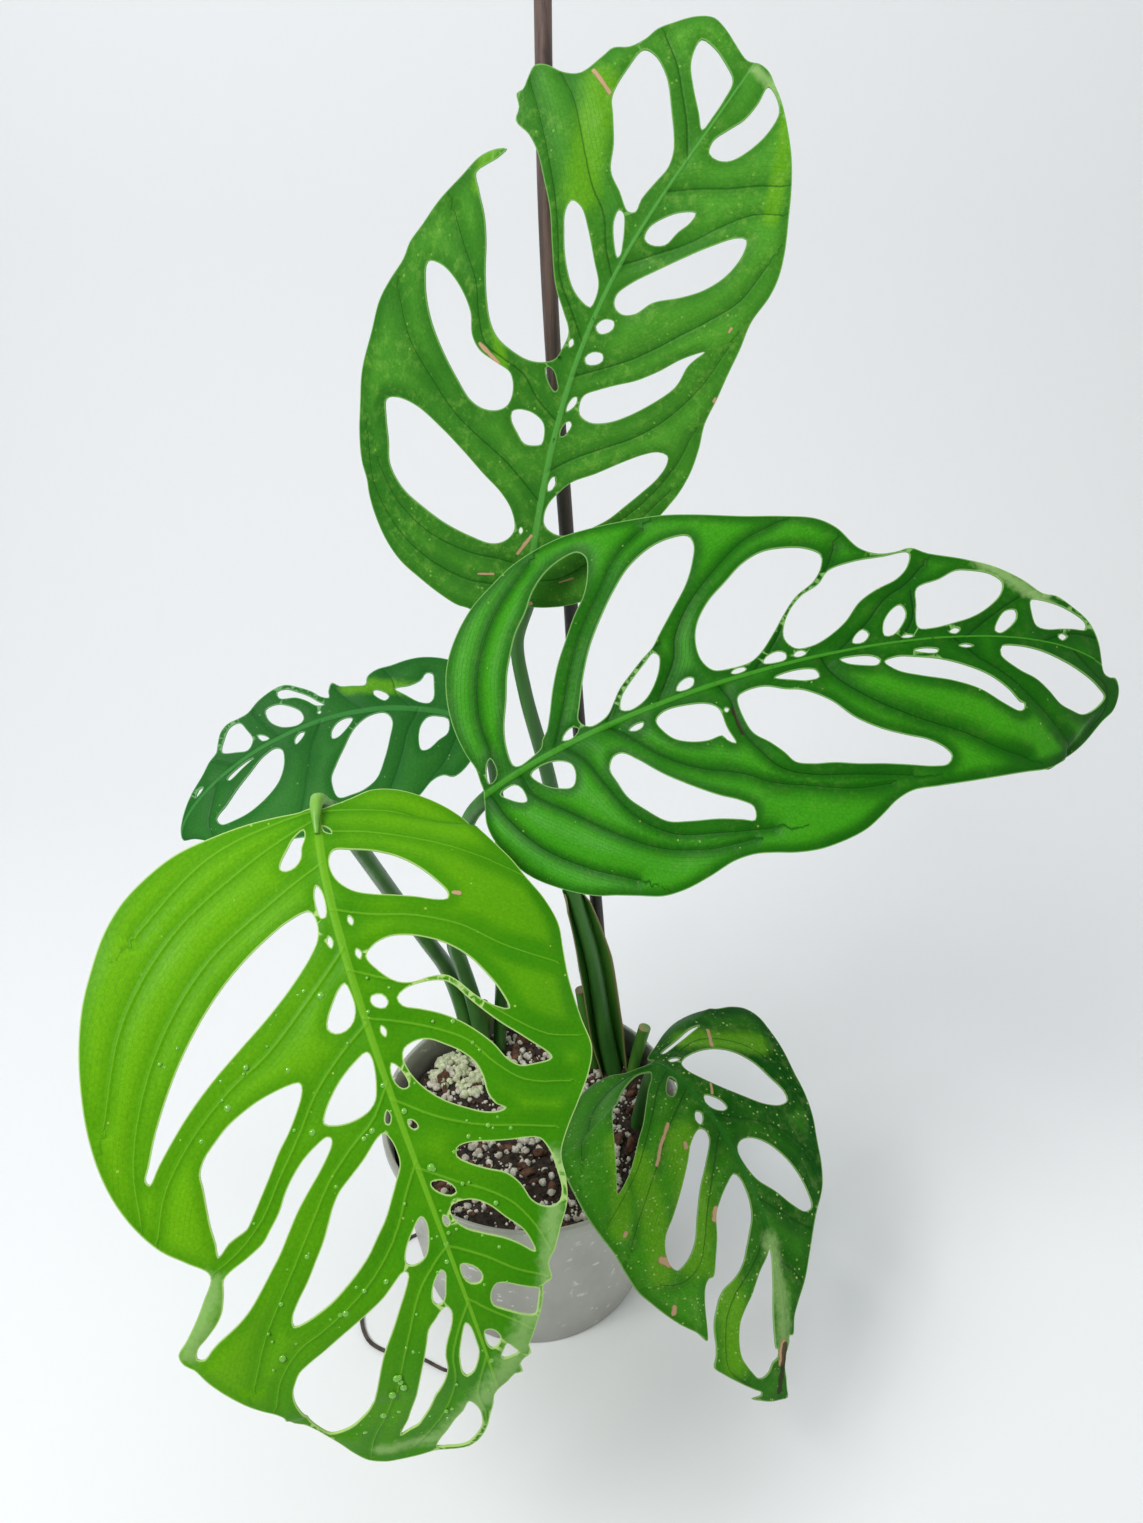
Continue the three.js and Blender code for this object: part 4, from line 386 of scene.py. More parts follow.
UPPER_MARGIN = (
    -1, -2, -5, -12, -7, -20, -5, -27.5, -4.2, -32.5, 0, -41.7, 5, -50.8, 11.7, -61.7, 20, -70, 30, -76.7,
    36.7, -80, 41.7, -81.7, 48.3, -85.3, 58.3, -88.3, 68.3, -90, 80, -92, 93.3, -91.3, 103.3, -91.2, 110,
    -89.2, 118.3, -85.8, 123.3, -85.5, 130, -82.8, 138.3, -80, 148.3, -75.3, 156.7, -71.7, 161.7, -66.7,
    163.3, -63.3, 159.2, -65, 155, -68.3, 151.7, -70.3, 147.5, -65.8, 141.7, -59.2, 135, -54.2, 126.7, -50,
    118.3, -45.3, 111.7, -40.8, 107.5, -35.8, 105, -28.3, 103.9, -20, 105.4, -13.3, 108.5, -9, 113.3, -7.8,
    120, -7.6, 126.7, -13.3, 133.3, -20, 145, -28.3, 155, -35.8, 161.7, -43.3, 168.3, -51.7, 171.3, -58.3,
    172.5, -65.8, 176.7, -67.5, 180, -71.3, 182.5, -70, 186.7, -70.8, 192, -71.3, 194.7, -67.5, 196.3, -60,
    200, -54.2, 210, -50.8, 215.8, -49.2, 220, -44.2, 226.7, -40.8, 233.3, -39.2, 240, -35, 246.7, -29.2,
    250, -23.3, 248.7, -16.7, 245.8, -10, 243.3, -3, 245, 1.7, 244.2, 6.7, 240.8, 11.7, 236.7, 17.5, 230,
    25, 221.7, 33.3, 213.3, 40, 203.3, 46.7, 193.3, 53, 185, 56.7, 176.7, 58.3, 163.3, 58, 150, 60, 136.7,
    60.8, 121.7, 61.3, 106.7, 60.8, 93.3, 62.2, 80, 62, 68.3, 59.7, 60, 56.5, 50, 52, 36, 47, 22, 41, 11,
    33, 4, 22, 0.5, 10, -0.5, 2.5,
)
UPPER_WINDOWS = (
    (25.8, -20, 27.5, -30, 30.8, -41.7, 35.8, -53.3, 41.7, -64.2, 50, -71.7, 58.3, -73.8, 66.7, -76.7, 72.8,
     -78, 74.7, -73.3, 73.8, -63.3, 68.3, -50, 61.7, -38.3, 55, -28.3, 48.3, -18.3, 41.7, -12.5, 34.2, -10,
     30, -11.7, 27.2, -15), (32.2, -7, 33.8, -6.1, 35.4, -7, 33.8, -7.9), (71.7, -7.5, 71.3, -12.5, 75,
     -16.7, 79.2, -20.3, 82.5, -20.8, 84.2, -18.3, 84.5, -11.7, 81.7, -6.3, 76.7, -4.7, 73, -5),
    (80.3, -33.3, 82, -40, 88.3, -48.3, 96.7, -58.3, 105, -66.7, 113.3, -72.5, 120.5, -75, 121.7, -68.3,
     118.3, -58.3, 111.7, -50, 105, -46.7, 100.8, -41.7, 98.7, -33.3, 96.7, -25.8, 90.8, -22.8, 85, -23.3,
     81.7, -26.7), (95.8, -5, 98.3, -8.6, 103, -11.6, 104.4, -10.9, 103.5, -8, 99.5, -5.2, 97.5, -4.2),
    (114.7, -5, 116.5, -3.9, 118.3, -5, 116.5, -6.1), (132.5, -3.3, 133, -7.5, 135.8, -13.3, 143.3, -20.8,
     151.7, -26.7, 157.5, -30, 161.7, -30, 161.7, -25, 156.7, -18.3, 148.3, -10, 141.7, -4.2, 135.8, -2.8),
    (154.2, -2.5, 158.3, -6.7, 164.2, -10.8, 168.6, -11.5, 168.6, -9.2, 165, -6.3, 159.2, -3.3, 155.8, -2),
    (170.3, -8.2, 174.2, -15, 178.3, -22.5, 186.7, -27.5, 195, -34.2, 200, -38.3, 213.3, -39.7, 222.5,
     -38.8, 223.3, -34.2, 219.2, -25.8, 210, -16.7, 198.3, -6.7, 191.7, -4.5, 185, -5.3, 176.7, -6.3, 171.7,
     -5.6), (210.8, -2, 215, -6.7, 221.7, -14.2, 228.3, -20, 235, -22.5, 240, -22.5, 240, -16.7, 237.5, -10,
     233.3, -3.3, 225, -1.8, 216.7, -1.6), (35, 11.7, 35.8, 6.7, 38.3, 3.3, 43.3, 2.5, 48.3, 3.7, 53.3, 6.7,
     60, 12, 66.7, 21.7, 75, 31.7, 81.7, 40, 85, 45.8, 84.7, 50, 80, 50.8, 71.7, 48.3, 63.3, 43.3, 55, 37.5,
     46.7, 31, 39, 21), (53.7, 2.2, 56.5, 1.7, 60, 3, 60.5, 4.4, 58.3, 4.9, 55, 4), (78.5, 2.4, 81, 2, 85,
     3.6, 85.8, 5, 84.5, 6, 81, 5, 79, 3.8), (89.5, 2.2, 92, 2, 96, 3.5, 96.7, 4.9, 94.2, 5.4, 91, 3.8),
    (88.3, 13.3, 90, 8.3, 93.6, 7, 98.3, 7.6, 103.3, 13.3, 108.3, 20, 113.3, 26.7, 121.7, 34.2, 131.7, 40.8,
     140, 47.8, 135, 45.8, 130, 44.2, 121.7, 43.7, 116.7, 42.5, 106.7, 36.7, 96.7, 28.3, 90.8, 20.8),
    (111.3, 4.2, 113.3, 2.8, 116.7, 5, 117.8, 9.2, 115.3, 10.3, 112.5, 8), (125, 4.2, 126.7, 2.2, 130.8,
     4.2, 132, 8.3, 129.2, 9.2, 125.8, 6.7), (136.2, 10, 137.5, 5.8, 141.7, 4.5, 148.3, 7.5, 158.3, 14.2,
     168.3, 20.8, 178.3, 27.5, 186.7, 34.2, 188.3, 37.5, 183.3, 39.7, 173.3, 39.2, 163.3, 35, 155, 28.3,
     146.7, 19.2, 139.2, 15), (165.3, 6.7, 165.8, 3.3, 170, 2.5, 176.7, 5.8, 181.7, 10, 184.7, 15, 180.8,
     15.3, 175, 13.3, 168.3, 11.7), (205, 10, 205.3, 5.8, 210, 4.2, 216.7, 6.7, 223.3, 9.5, 231.7, 10.3,
     239, 9.8, 237, 15, 232.5, 19.2, 223.3, 20, 213.3, 17.5, 207.5, 14.2),
)
UPPER_VEINS = (
    (4, 0, 8, -14, 9, -30, 15, -48, 27, -66, 42, -78, 60, -84), (18, 0, 20, -14, 21, -30, 26, -48, 37, -66,
     50, -77), (48, 0, 56, -10, 63, -20, 69, -32, 76, -46, 86, -60, 97, -74, 108, -83), (84, 0, 91, -12, 98,
     -20, 101, -30, 104, -40, 112, -46, 122, -52, 130, -62, 138, -72), (118, 0, 128, -10, 137, -20, 149,
     -28, 160, -37, 170, -48, 178, -58, 186, -69), (146, 0, 154, -8, 164, -16, 170, -26, 180, -38, 190, -50,
     195, -60), (198, 0, 208, -8, 216, -16, 225, -25, 232, -35), (12, 0, 16, 14, 28, 28, 46, 42, 66, 54),
    (26, 0, 30, 12, 37, 24, 50, 38, 66, 48.5, 84, 55, 100, 57), (62, 0, 70, 9, 78, 20, 87, 32, 97, 41, 110,
     48, 126, 53, 146, 55), (104, 0, 113, 12, 121, 21, 131, 29, 142, 36, 154, 43, 168, 49, 184, 50),
    (152, 0, 163, 10, 174, 19, 186, 26, 197, 34, 203, 43), (184, 0, 192, 10, 199, 20, 207, 30, 212, 38),
)
LEAF_UPPER = LeafShape(
    name="leaf_upper", slot="leaf_mottled", size=0.975,
    rib=((2.5, 24, 415), (18.1, 48.4, 537.8), (45.4, 17.2, 565.1), (90.3, 54.3, 620.7)),
    up=((-0.1, -0.95, 0.2), (-0.2, -0.95, 0.25)),
    fold=((4, 4), (4, 4)),
    bend=((-14, -14), (-14, -14)),
    stalk=((49, 41.5, 90), (48, 42, 104), (43, 46.5, 131), (35, 48, 188), (24, 45.6, 237.6),
           (11.2, 33.8, 319.4), (0.5, 30.4, 369.4), (-2.4, 30, 395.5)),
    stalk_radius=(5.4, 5.4, 5.2, 4.5, 4.2, 3.8, 3.4, 3.2),
    margin=UPPER_MARGIN, windows=UPPER_WINDOWS, veins=UPPER_VEINS,
    finish=LeafFinish(
        deep=(0.02, 0.135, 0.01), fresh=(0.08, 0.32, 0.025), fleck=(0.2, 0.44, 0.06),
        vein=(0.008, 0.075, 0.003), midrib=(0.1, 0.36, 0.06), rim=(0.22, 0.46, 0.12), fleck_amount=0.3,
        vein_strength=0.65, shading_band=0.65, roughness=0.42, tone=(-0.14, -0.2, 0.5), mottle=0.4,
    ),
    relief=0.6,
    marks=(
        Mark(MarkKind.SCAR, (33, -2), (24, -7), 0.9),
        Mark(MarkKind.SCAR, (1, -9), (2, 2), 1.1),
        Mark(MarkKind.SCAR, (12, -24), (13, -17), 0.6),
        Mark(MarkKind.SCAR, (14, 14), (17, 20), 0.5),
        Mark(MarkKind.SCAR, (103, -42), (99, -32), 0.9),
        Mark(MarkKind.SCAR, (203, -50), (200, -40), 1.0),
        Mark(MarkKind.SCAR, (120, 60), (122, 60), 0.8),
        Mark(MarkKind.SCAR, (154, 52), (156, 52), 0.7),
        Mark(MarkKind.GLOW, (150, -66), (162, -70), 6, 0.75),
        Mark(MarkKind.GLOW, (165, -28), (200, -44), 11, 0.75),
        Mark(MarkKind.GLOW, (98, -30), (112, -38), 4, 0.75),
        Mark(MarkKind.WILT, (241, 2), (238, 18), 4, 0.95),
        Mark(MarkKind.GLOW, (200, 40), (235, 22), 5, 0.75),
    ),
)
LOW_MARGIN = (
    -3, -2, -7.5, -1.7, -10, -11.7, -12.5, -23.3, -12.5, -33.3, -8.3, -42.5, -1.7, -49.2, 0.8, -52.5, 3.7,
    -60, 7.5, -65, 13.3, -66.7, 21.7, -65, 31.7, -62.5, 43.3, -58.7, 53.3, -56.7, 63.3, -53.3, 73.3, -48.3,
    83.3, -44.2, 91.7, -39.2, 100, -30.8, 105, -26.7, 115, -20, 125, -14.2, 133.3, -8.3, 139.3, -5.1, 147.1,
    -3.6, 146.8, -1.4, 149.6, -1.1, 153.6, 0.7, 157.1, 1.1, 160, 1.4, 164.3, 0.4, 169.3, -1.1, 174.4, -2.9,
    175.1, 2.9, 175, 8.6, 173.9, 15, 172.3, 21.4, 171.8, 18.6, 171.4, 15.4, 170.1, 15.4, 168.2, 20, 165.7,
    25.7, 162.1, 32.9, 157.9, 40, 153.9, 45, 148.6, 43.7, 142.9, 43.2, 137.1, 43.4, 131.4, 42.5, 125.7, 40,
    121.4, 37.5, 117.9, 33.9, 115.7, 28.6, 112.9, 23.6, 108.6, 18.9, 103.6, 15.4, 97.1, 10.7, 92.1, 7.1,
    87.1, 5, 80, 3.8, 72.5, 4.2, 70, 6.2, 73.3, 13.3, 78.3, 20, 83.3, 25, 93.3, 29.2, 101.7, 33.3, 110.7,
    38, 110.7, 40.4, 113.6, 43.2, 120, 45.4, 126.4, 46.4, 132.9, 46.9, 140, 48, 135, 52.5, 131.7, 56.7,
    128.3, 60.8, 121.7, 66.7, 113.3, 72.5, 105, 77.2, 93.3, 80, 80, 81.7, 66.7, 84.2, 53.3, 85.5, 40, 85,
    26.7, 83.3, 15, 80.8, 6.7, 79.7, 0, 78.5, -9, 71, -17, 60, -23, 46, -26.5, 33, -25.5, 24.5, -20.5, 15.5,
    -13, 11.5, -8.5, 6.5, -5, 2.5,
)
LOW_WINDOWS = (
    (-2.8, -8, -1, -20, 0.2, -32, 1.6, -36, 1.6, -28, 1, -18, -0.8, -8), (3.8, -5.4, 5, -8.3, 7.5, -10, 7.8,
     -8, 5.8, -4.9), (9.2, -11.7, 10, -18.3, 13.3, -26.7, 20, -35, 30, -40.8, 40, -43.3, 48.3, -45.5, 52.2,
     -44.2, 52.5, -38.3, 48.3, -30, 40, -21.7, 31.7, -15, 23.3, -10, 15, -6.9, 10.5, -7.9), (30.5, -4.2,
     33.3, -7.5, 37.5, -10, 41.3, -10.3, 41.7, -7.5, 38.3, -3.3, 33.3, -2), (58.3, -5, 58.3, -10.8, 62.5,
     -17.5, 70, -23.3, 80, -27.8, 91.7, -29.7, 97.3, -29, 98, -24.2, 93.3, -18.3, 85, -11.7, 76.7, -4.6,
     68.3, -2, 61.7, -2), (12, 3.2, 15, 2.3, 19.2, 5, 22, 10.8, 19.2, 12, 15, 8.3), (-4.2, 10, 1.5, 7, 5,
     9.5, 10, 17, 17.5, 26, 25, 34, 31, 41.5, 38, 49, 45, 57, 50.8, 66.7, 44, 63.5, 33, 57.5, 22, 51, 12,
     44.5, 4, 38, 0, 33.3, -3, 27, -5.2, 19, -5.3, 13), (35, 5.8, 37, 3.8, 40.8, 6.2, 41.6, 8.6, 38.3, 9.1),
    (43.3, 10.6, 45, 8, 49.2, 8.3, 58.3, 16.7, 68.3, 26.7, 80, 35, 91.7, 41.7, 98.3, 48.3, 101.3, 55, 98.3,
     57.5, 91.7, 58, 83.3, 55, 75, 46.7, 65, 36.7, 55, 26.7, 46.7, 18.3), (107.5, 2, 112.1, 2.5, 117.9, 3.9,
     124.3, 5.4, 130, 6.8, 137.1, 7.9, 144.3, 8, 151.4, 7.1, 152.1, 5.6, 155.4, 5.7, 157.1, 8.9, 161.4,
     11.8, 163.2, 15, 162.9, 18.6, 160, 22.1, 155.7, 26.1, 151.4, 28.9, 145.7, 29.9, 139.3, 29.3, 134.3,
     27.5, 129.3, 23.6, 124.3, 18.6, 119.3, 14.6, 115, 10.7, 110.7, 5.4),
)
LOW_VEINS = (
    (6, 0, 5, -10, 5, -20, 8, -31, 19, -43, 34, -50, 52, -54), (40, 0, 47, -10, 53, -20, 60, -29, 70, -36,
     82, -41), (84, 0, 94, -11, 102, -20, 106, -26), (112, 0, 120, -9, 126, -13), (-3, 4, -10, 14, -13, 26,
     -10, 42, 2, 58, 20, 70), (8, 0, 13, 12, 22, 24, 32, 36, 44, 50, 54, 64, 62, 76), (22, 0, 28, 12, 36,
     26, 46, 38, 56, 50, 68, 62, 80, 72), (48, 0, 58, 10, 68, 19, 80, 28.5, 92, 35.5, 103, 43, 108, 54, 106,
     64), (96, 0, 106, 8, 114, 17, 121, 27, 131, 35, 144, 37.5, 156, 36, 164, 26),
)
LEAF_LOW = LeafShape(
    name="leaf_low", slot="leaf_dark", size=1,
    rib=((67, -27, 180), (85, -43, 191), (136, -104, 152), (122, -149, 91)),
    up=((0.35, -0.35, 0.87), (0.5, -0.7, 0.35)),
    fold=((0, 4), (4, 4)),
    bend=((-6, -10), (-14, -14)),
    stalk=((61, -1, 90), (61, -1, 104), (64, -8, 140), (66, -20, 166)),
    stalk_radius=(4, 4, 3.6, 3.2),
    margin=LOW_MARGIN, windows=LOW_WINDOWS, veins=LOW_VEINS,
    finish=LeafFinish(
        deep=(0.003, 0.07, 0.003), fresh=(0.055, 0.28, 0.01), fleck=(0.42, 0.6, 0.18),
        vein=(0.005, 0.055, 0.004), midrib=(0.02, 0.16, 0.014), rim=(0.3, 0.5, 0.16), fleck_amount=0.85,
        vein_strength=0.6, shading_band=0.45, roughness=0.3, tone=(-0.05, -0.95, 0.5), mottle=0.12,
    ),
    relief=0.8,
    marks=(
        Mark(MarkKind.SCAR, (33, 23), (40, 33), 1.2),
        Mark(MarkKind.SCAR, (40, 33), (48, 41), 1.2),
        Mark(MarkKind.SCAR, (93, 61), (96, 58), 2.6),
        Mark(MarkKind.SCAR, (81, 24), (85, 27), 1.8),
        Mark(MarkKind.SCAR, (6, -36), (13, -29), 1.1),
        Mark(MarkKind.SCAR, (28, -11), (32, -8), 0.9),
        Mark(MarkKind.SCAR, (46, 22), (48, 23), 1.3),
        Mark(MarkKind.WILT, (104, 1), (150, 3), 7, 0.95),
        Mark(MarkKind.SCAR, (149, 3), (157, 4), 2.4),
        Mark(MarkKind.DARK, (150, 2), (170, 4), 2.0),
        Mark(MarkKind.GLOW, (44, 22), (98, 44), 15, 0.75),
        Mark(MarkKind.GLOW, (24, 52), (70, 74), 8, 0.75),
        Mark(MarkKind.GLOW, (112, 32), (152, 32), 13, 0.75),
        Mark(MarkKind.GLOW, (2, -22), (24, -50), 9, 0.75),
        Mark(MarkKind.GLOW, (40, 48), (100, 64), 10, 0.75),
        Mark(MarkKind.SCAR, (72, 72), (73, 73), 1.4),
        Mark(MarkKind.SCAR, (118, 62), (121, 63), 1.6),
    ),
)
BACK_MARGIN = (
    -1, -2, -5, -10, -7.5, -17, -6.7, -23.3, -1.7, -31.7, 5, -32.5, 11.7, -36.7, 18, -44.5, 28, -53, 42,
    -59, 60, -62, 80, -62, 100, -58, 120, -52, 140, -43, 155, -32, 165, -21, 170, -10.8, 172, -4, 172, -0.8,
    168, 0.6, 160, 2.9, 150, 5.8, 140, 8.3, 133.3, 11.3, 128.3, 12.6, 125.5, 15.8, 121.2, 20.4, 116.7, 22,
    111.7, 21.2, 106.7, 21, 100, 24.2, 91.7, 26.2, 86.7, 25.9, 81.2, 21.7, 76.2, 17, 73, 12.9, 69.6, 11.2,
    69.2, 14.2, 66.7, 18.7, 63.3, 15.8, 58.3, 14.8, 52, 14.2, 50.8, 18.3, 46.7, 21.7, 40, 23.7, 33.3, 26.7,
    26.7, 28.7, 17.5, 29.2, 8, 27, 0, 20, -4, 10, -2, 2,
)
BACK_WINDOWS = (
    (9.2, -10, 13.3, -15, 18.3, -20.8, 22.5, -21.7, 24.7, -15.8, 24.2, -8.3, 20.8, -3.3, 15, -2.2, 10.8,
     -2.6), (40, -6.7, 41.7, -16.7, 45, -26.7, 50.8, -36.7, 60, -41.7, 70, -43.3, 80, -42.5, 80.3, -32.5,
     75, -25.8, 68.3, -18.3, 60, -8.3, 51.7, -3, 43.3, -2.2), (60.5, -3, 63.3, -6.7, 70, -11.3, 73, -11.3,
     72.5, -7.5, 68.3, -3.3, 63.3, -2), (85.8, -2.8, 88.3, -5.3, 92.2, -7, 91.7, -4.2, 88.3, -2),
    (100, -6.7, 101.7, -13.3, 108.3, -20.8, 118.3, -25, 131.7, -26.3, 141.7, -24.2, 150, -20, 150, -15.8,
     140, -14.2, 130, -11.3, 120, -8.3, 110, -4.6, 102.5, -4), (115, -2.2, 121.7, -3.4, 131, -4.4, 131.5,
     -3, 125, -1.9, 118, -1.7), (20, 6.7, 21.7, 4.2, 26.7, 4.2, 33.3, 7.5, 38.3, 10.8, 31.7, 12.5, 26.7,
     15.8, 24.5, 20, 22, 20, 20.8, 15), (41.3, 6.7, 43.3, 4.7, 48.3, 8.3, 48.3, 10.6, 45, 10), (75, 5, 75.8,
     4.2, 76.7, 5, 75.8, 5.9), (84.2, 4.2, 87.5, 2.6, 95, 5, 99.2, 10.8, 98.7, 17.5, 93.3, 17.6, 87.5, 13.2,
     84.2, 8.6), (72.6, 8.2, 76, 8.9, 80, 13.5, 84, 17, 90.8, 20, 90.8, 24, 87, 23.4, 82.4, 19.3, 78, 14.8,
     75, 10.8), (103.3, 2.6, 106.7, 3.4, 107.5, 7.5, 105, 5.8), (110.5, 6.7, 115, 3.3, 120, 5.8, 125.8,
     10.8, 121.7, 15.8, 116.7, 19.5, 112, 18.7, 110.8, 13.3), (143.3, 3.2, 146.5, 2.3, 149.5, 2.6, 145.8,
     4.2),
)
BACK_VEINS = (
    (4, 0, 5, -12, 8, -26, 14, -36), (27, 0, 32, -12, 35, -26, 42, -42, 54, -54), (76, 0, 84, -10, 91, -22,
     99, -34, 110, -46), (134, 0, 146, -8, 156, -15, 160, -24), (6, 0, 8, 10, 12, 22), (30, 0, 38, 7, 40,
     15, 44, 21), (54, 0, 62, 8, 66, 15), (98, 0, 103, 12, 104, 20), (124, 0, 130, 8),
)
LEAF_BACK = LeafShape(
    name="leaf_back", slot="leaf_bluish", size=1,
    rib=((-28, 51, 342), (-109, 58, 369), (-180, 10, 311), (-169, 9, 295)),
    up=((-0.15, -0.6, 0.75), (-0.4, -0.7, 0.5)),
    fold=((4, 4), (4, 4)),
    bend=((-10, -10), (-10, -10)),
    stalk=((-22, 60, 90), (-22, 60, 104), (-17, 62, 200), (-17, 61, 290), (-22, 56, 328)),
    stalk_radius=(4, 4, 3.7, 3.3, 3),
    margin=BACK_MARGIN, windows=BACK_WINDOWS, veins=BACK_VEINS,
    finish=LeafFinish(
        deep=(0.01, 0.1, 0.014), fresh=(0.035, 0.19, 0.026), fleck=(0.2, 0.35, 0.08),
        vein=(0.01, 0.09, 0.014), midrib=(0.05, 0.24, 0.05), rim=(0.2, 0.45, 0.18), fleck_amount=0.12,
        vein_strength=0.6, shading_band=0.5, roughness=0.42, tone=(0.0, 0.2, 0.4),
    ),
    relief=0.6,
    marks=(
        Mark(MarkKind.GLOW, (30, 10), (60, 14), 6, 0.75),
    ),
    inset=0.012,
)
LEAVES = (LEAF_FRONT, LEAF_RIGHT, LEAF_UPPER, LEAF_LOW, LEAF_BACK)


# Small helpers for building meshes


def pairs(flat: Flat) -> list[tuple[float, float]]:
    """Groups a flat list of u and v into points."""
    return list(zip(flat[0::2], flat[1::2]))


def runs_of(points: Sequence[Vector]) -> list[float]:
    """Measures a line of points.

    Args:
        points: the points in turn.

    Returns:
        The length of the line up to each point.
    """
    runs = [0.0]
    for a, b in zip(points, points[1:]):
        runs.append(runs[-1] + (b - a).length)
    return runs


def tree_of(points: Sequence[Vector]) -> KDTree:
    """Sorts points so that the nearest one is found quickly.

    Args:
        points: the points.

    Returns:
        The balanced tree.
    """
    tree = KDTree(len(points))
    for k, p in enumerate(points):
        tree.insert(p, k)
    tree.balance()
    return tree


def spline(points: Sequence[Sequence[float]], spacing: float, closed: bool = False) -> list[Vector]:
    """Rounds a line of points with a centripetal curve through all of them.

    Args:
        points: the points the curve passes.
        spacing: distance between the points returned.
        closed: whether the line joins up with its start.

    Returns:
        Points along the curve, with the last one kept on an open line.
    """
    p = [Vector((*q, 0.0)) if len(q) == 2 else Vector(q) for q in points]
    count = len(p)
    out: list[Vector] = []
    for i in range(count if closed else count - 1):
        if closed:
            a, b, c, d = p[i - 1], p[i], p[(i + 1) % count], p[(i + 2) % count]
        else:
            b, c = p[i], p[i + 1]
            a = p[i - 1] if i else b * 2 - c
            d = p[i + 2] if i + 2 < count else c * 2 - b
        t1 = max((b - a).length, 1e-6) ** 0.5
        t2 = t1 + max((c - b).length, 1e-6) ** 0.5
        t3 = t2 + max((d - c).length, 1e-6) ** 0.5
        steps = max(2, round((c - b).length / spacing))
        for k in range(steps):
            t = t1 + (t2 - t1) * k / steps
            ab = a * ((t1 - t) / t1) + b * (t / t1)
            bc = b * ((t2 - t) / (t2 - t1)) + c * ((t - t1) / (t2 - t1))
            cd = c * ((t3 - t) / (t3 - t2)) + d * ((t - t2) / (t3 - t2))
            abc = ab * ((t2 - t) / t2) + bc * (t / t2)
            bcd = bc * ((t3 - t) / (t3 - t1)) + cd * ((t - t1) / (t3 - t1))
            out.append(abc * ((t2 - t) / (t2 - t1)) + bcd * ((t - t1) / (t2 - t1)))
    if not closed:
        out.append(p[-1].copy())
    return out


def extrude_row(bm: bmesh.types.BMesh, row: Sequence[bmesh.types.BMVert], edges: Sequence) -> tuple:
    """Extrudes a row of edges once.

    Args:
        bm: the mesh.
        row: the row's vertices in turn.
        edges: the edges between them.

    Returns:
        The new vertices in the same order, and the new edges.
    """
    grown = bmesh.ops.extrude_edge_only(bm, edges=edges)["geom"]
    fresh = {g for g in grown if isinstance(g, bmesh.types.BMVert)}
    row = [next(w for e in v.link_edges if (w := e.other_vert(v)) in fresh) for v in row]
    return row, [g for g in grown if isinstance(g, bmesh.types.BMEdge)]


def revolve(bm: bmesh.types.BMesh, profile: Sequence[tuple[float, float]], steps: int, dist: float) -> None:
    """Turns a profile once around the upright axis.

    Args:
        bm: the mesh to build in.
        profile: radius and height of each point.
        steps: how many facets the turn has.
        dist: distance below which points are joined.
    """
    verts = [bm.verts.new((r, 0, z)) for r, z in profile]
    edges = [bm.edges.new(pair) for pair in zip(verts, verts[1:])]
    bmesh.ops.spin(bm, geom=verts + edges, cent=(0, 0, 0), axis=(0, 0, 1), angle=2 * math.pi,
                   steps=steps, use_merge=True)
    bmesh.ops.remove_doubles(bm, verts=bm.verts[:], dist=dist)


def sweep(bm: bmesh.types.BMesh, line: Sequence[Vector], radii: Sequence[float], sides: int = 20) -> None:
    """Extrudes a round section along a line, thicker or thinner as it goes, with both ends closed.

    Args:
        bm: the mesh to build in.
        line: points along the centre.
        radii: the radius at each of those points.
        sides: corners of the section.
    """
    tangent = (line[1] - line[0]).normalized()
    normal = tangent.orthogonal().normalized()
    ring = bmesh.ops.create_circle(bm, segments=sides, radius=1.0)["verts"]
    edges = list({e for v in ring for e in v.link_edges})
    starts = edges
    for i, (at, radius) in enumerate(zip(line, radii)):
        if i:
            tangent = (line[min(i + 1, len(line) - 1)] - line[i - 1]).normalized()
            normal = (normal - tangent * normal.dot(tangent)).normalized()
            ring, edges = extrude_row(bm, ring, edges)
        side = tangent.cross(normal)
        for k, v in enumerate(ring):
            angle = 2 * math.pi * k / sides
            v.co = at + (normal * math.cos(angle) + side * math.sin(angle)) * radius
    bmesh.ops.holes_fill(bm, edges=starts, sides=0)
    bmesh.ops.holes_fill(bm, edges=edges, sides=0)


def radii_along(points: Sequence[Triple], radii: Sequence[float], line: Sequence[Vector]) -> list[float]:
    """Spreads the radii stated at a line's points over its rounded version.

    Args:
        points: the stated points.
        radii: the radius at each of them.
        line: the rounded line.

    Returns:
        A radius for each point of the line.
    """
    stops = runs_of([Vector(p) for p in points])
    total = runs_of(line)
    out = []
    for run in total:
        at = run / total[-1] * stops[-1]
        k = max(i for i in range(len(stops) - 1) if stops[i] <= at + 1e-6)
        part = min(1.0, (at - stops[k]) / (stops[k + 1] - stops[k]))
        out.append(radii[k] + (radii[k + 1] - radii[k]) * part)
    return out


def link_mesh(name: str, bm: bmesh.types.BMesh, material: bpy.types.Material) -> bpy.types.Object:
    """Turns a mesh into a smooth object in the scene.

    Args:
        name: the object's name.
        bm: its mesh; it is freed.
        material: its material.

    Returns:
        The new object.
    """
    for face in bm.faces:
        face.smooth = True
    mesh = bpy.data.meshes.new(name)
    bm.to_mesh(mesh)
    bm.free()
    mesh.materials.append(material)
    made = bpy.data.objects.new(name, mesh)
    bpy.context.scene.collection.objects.link(made)
    return made


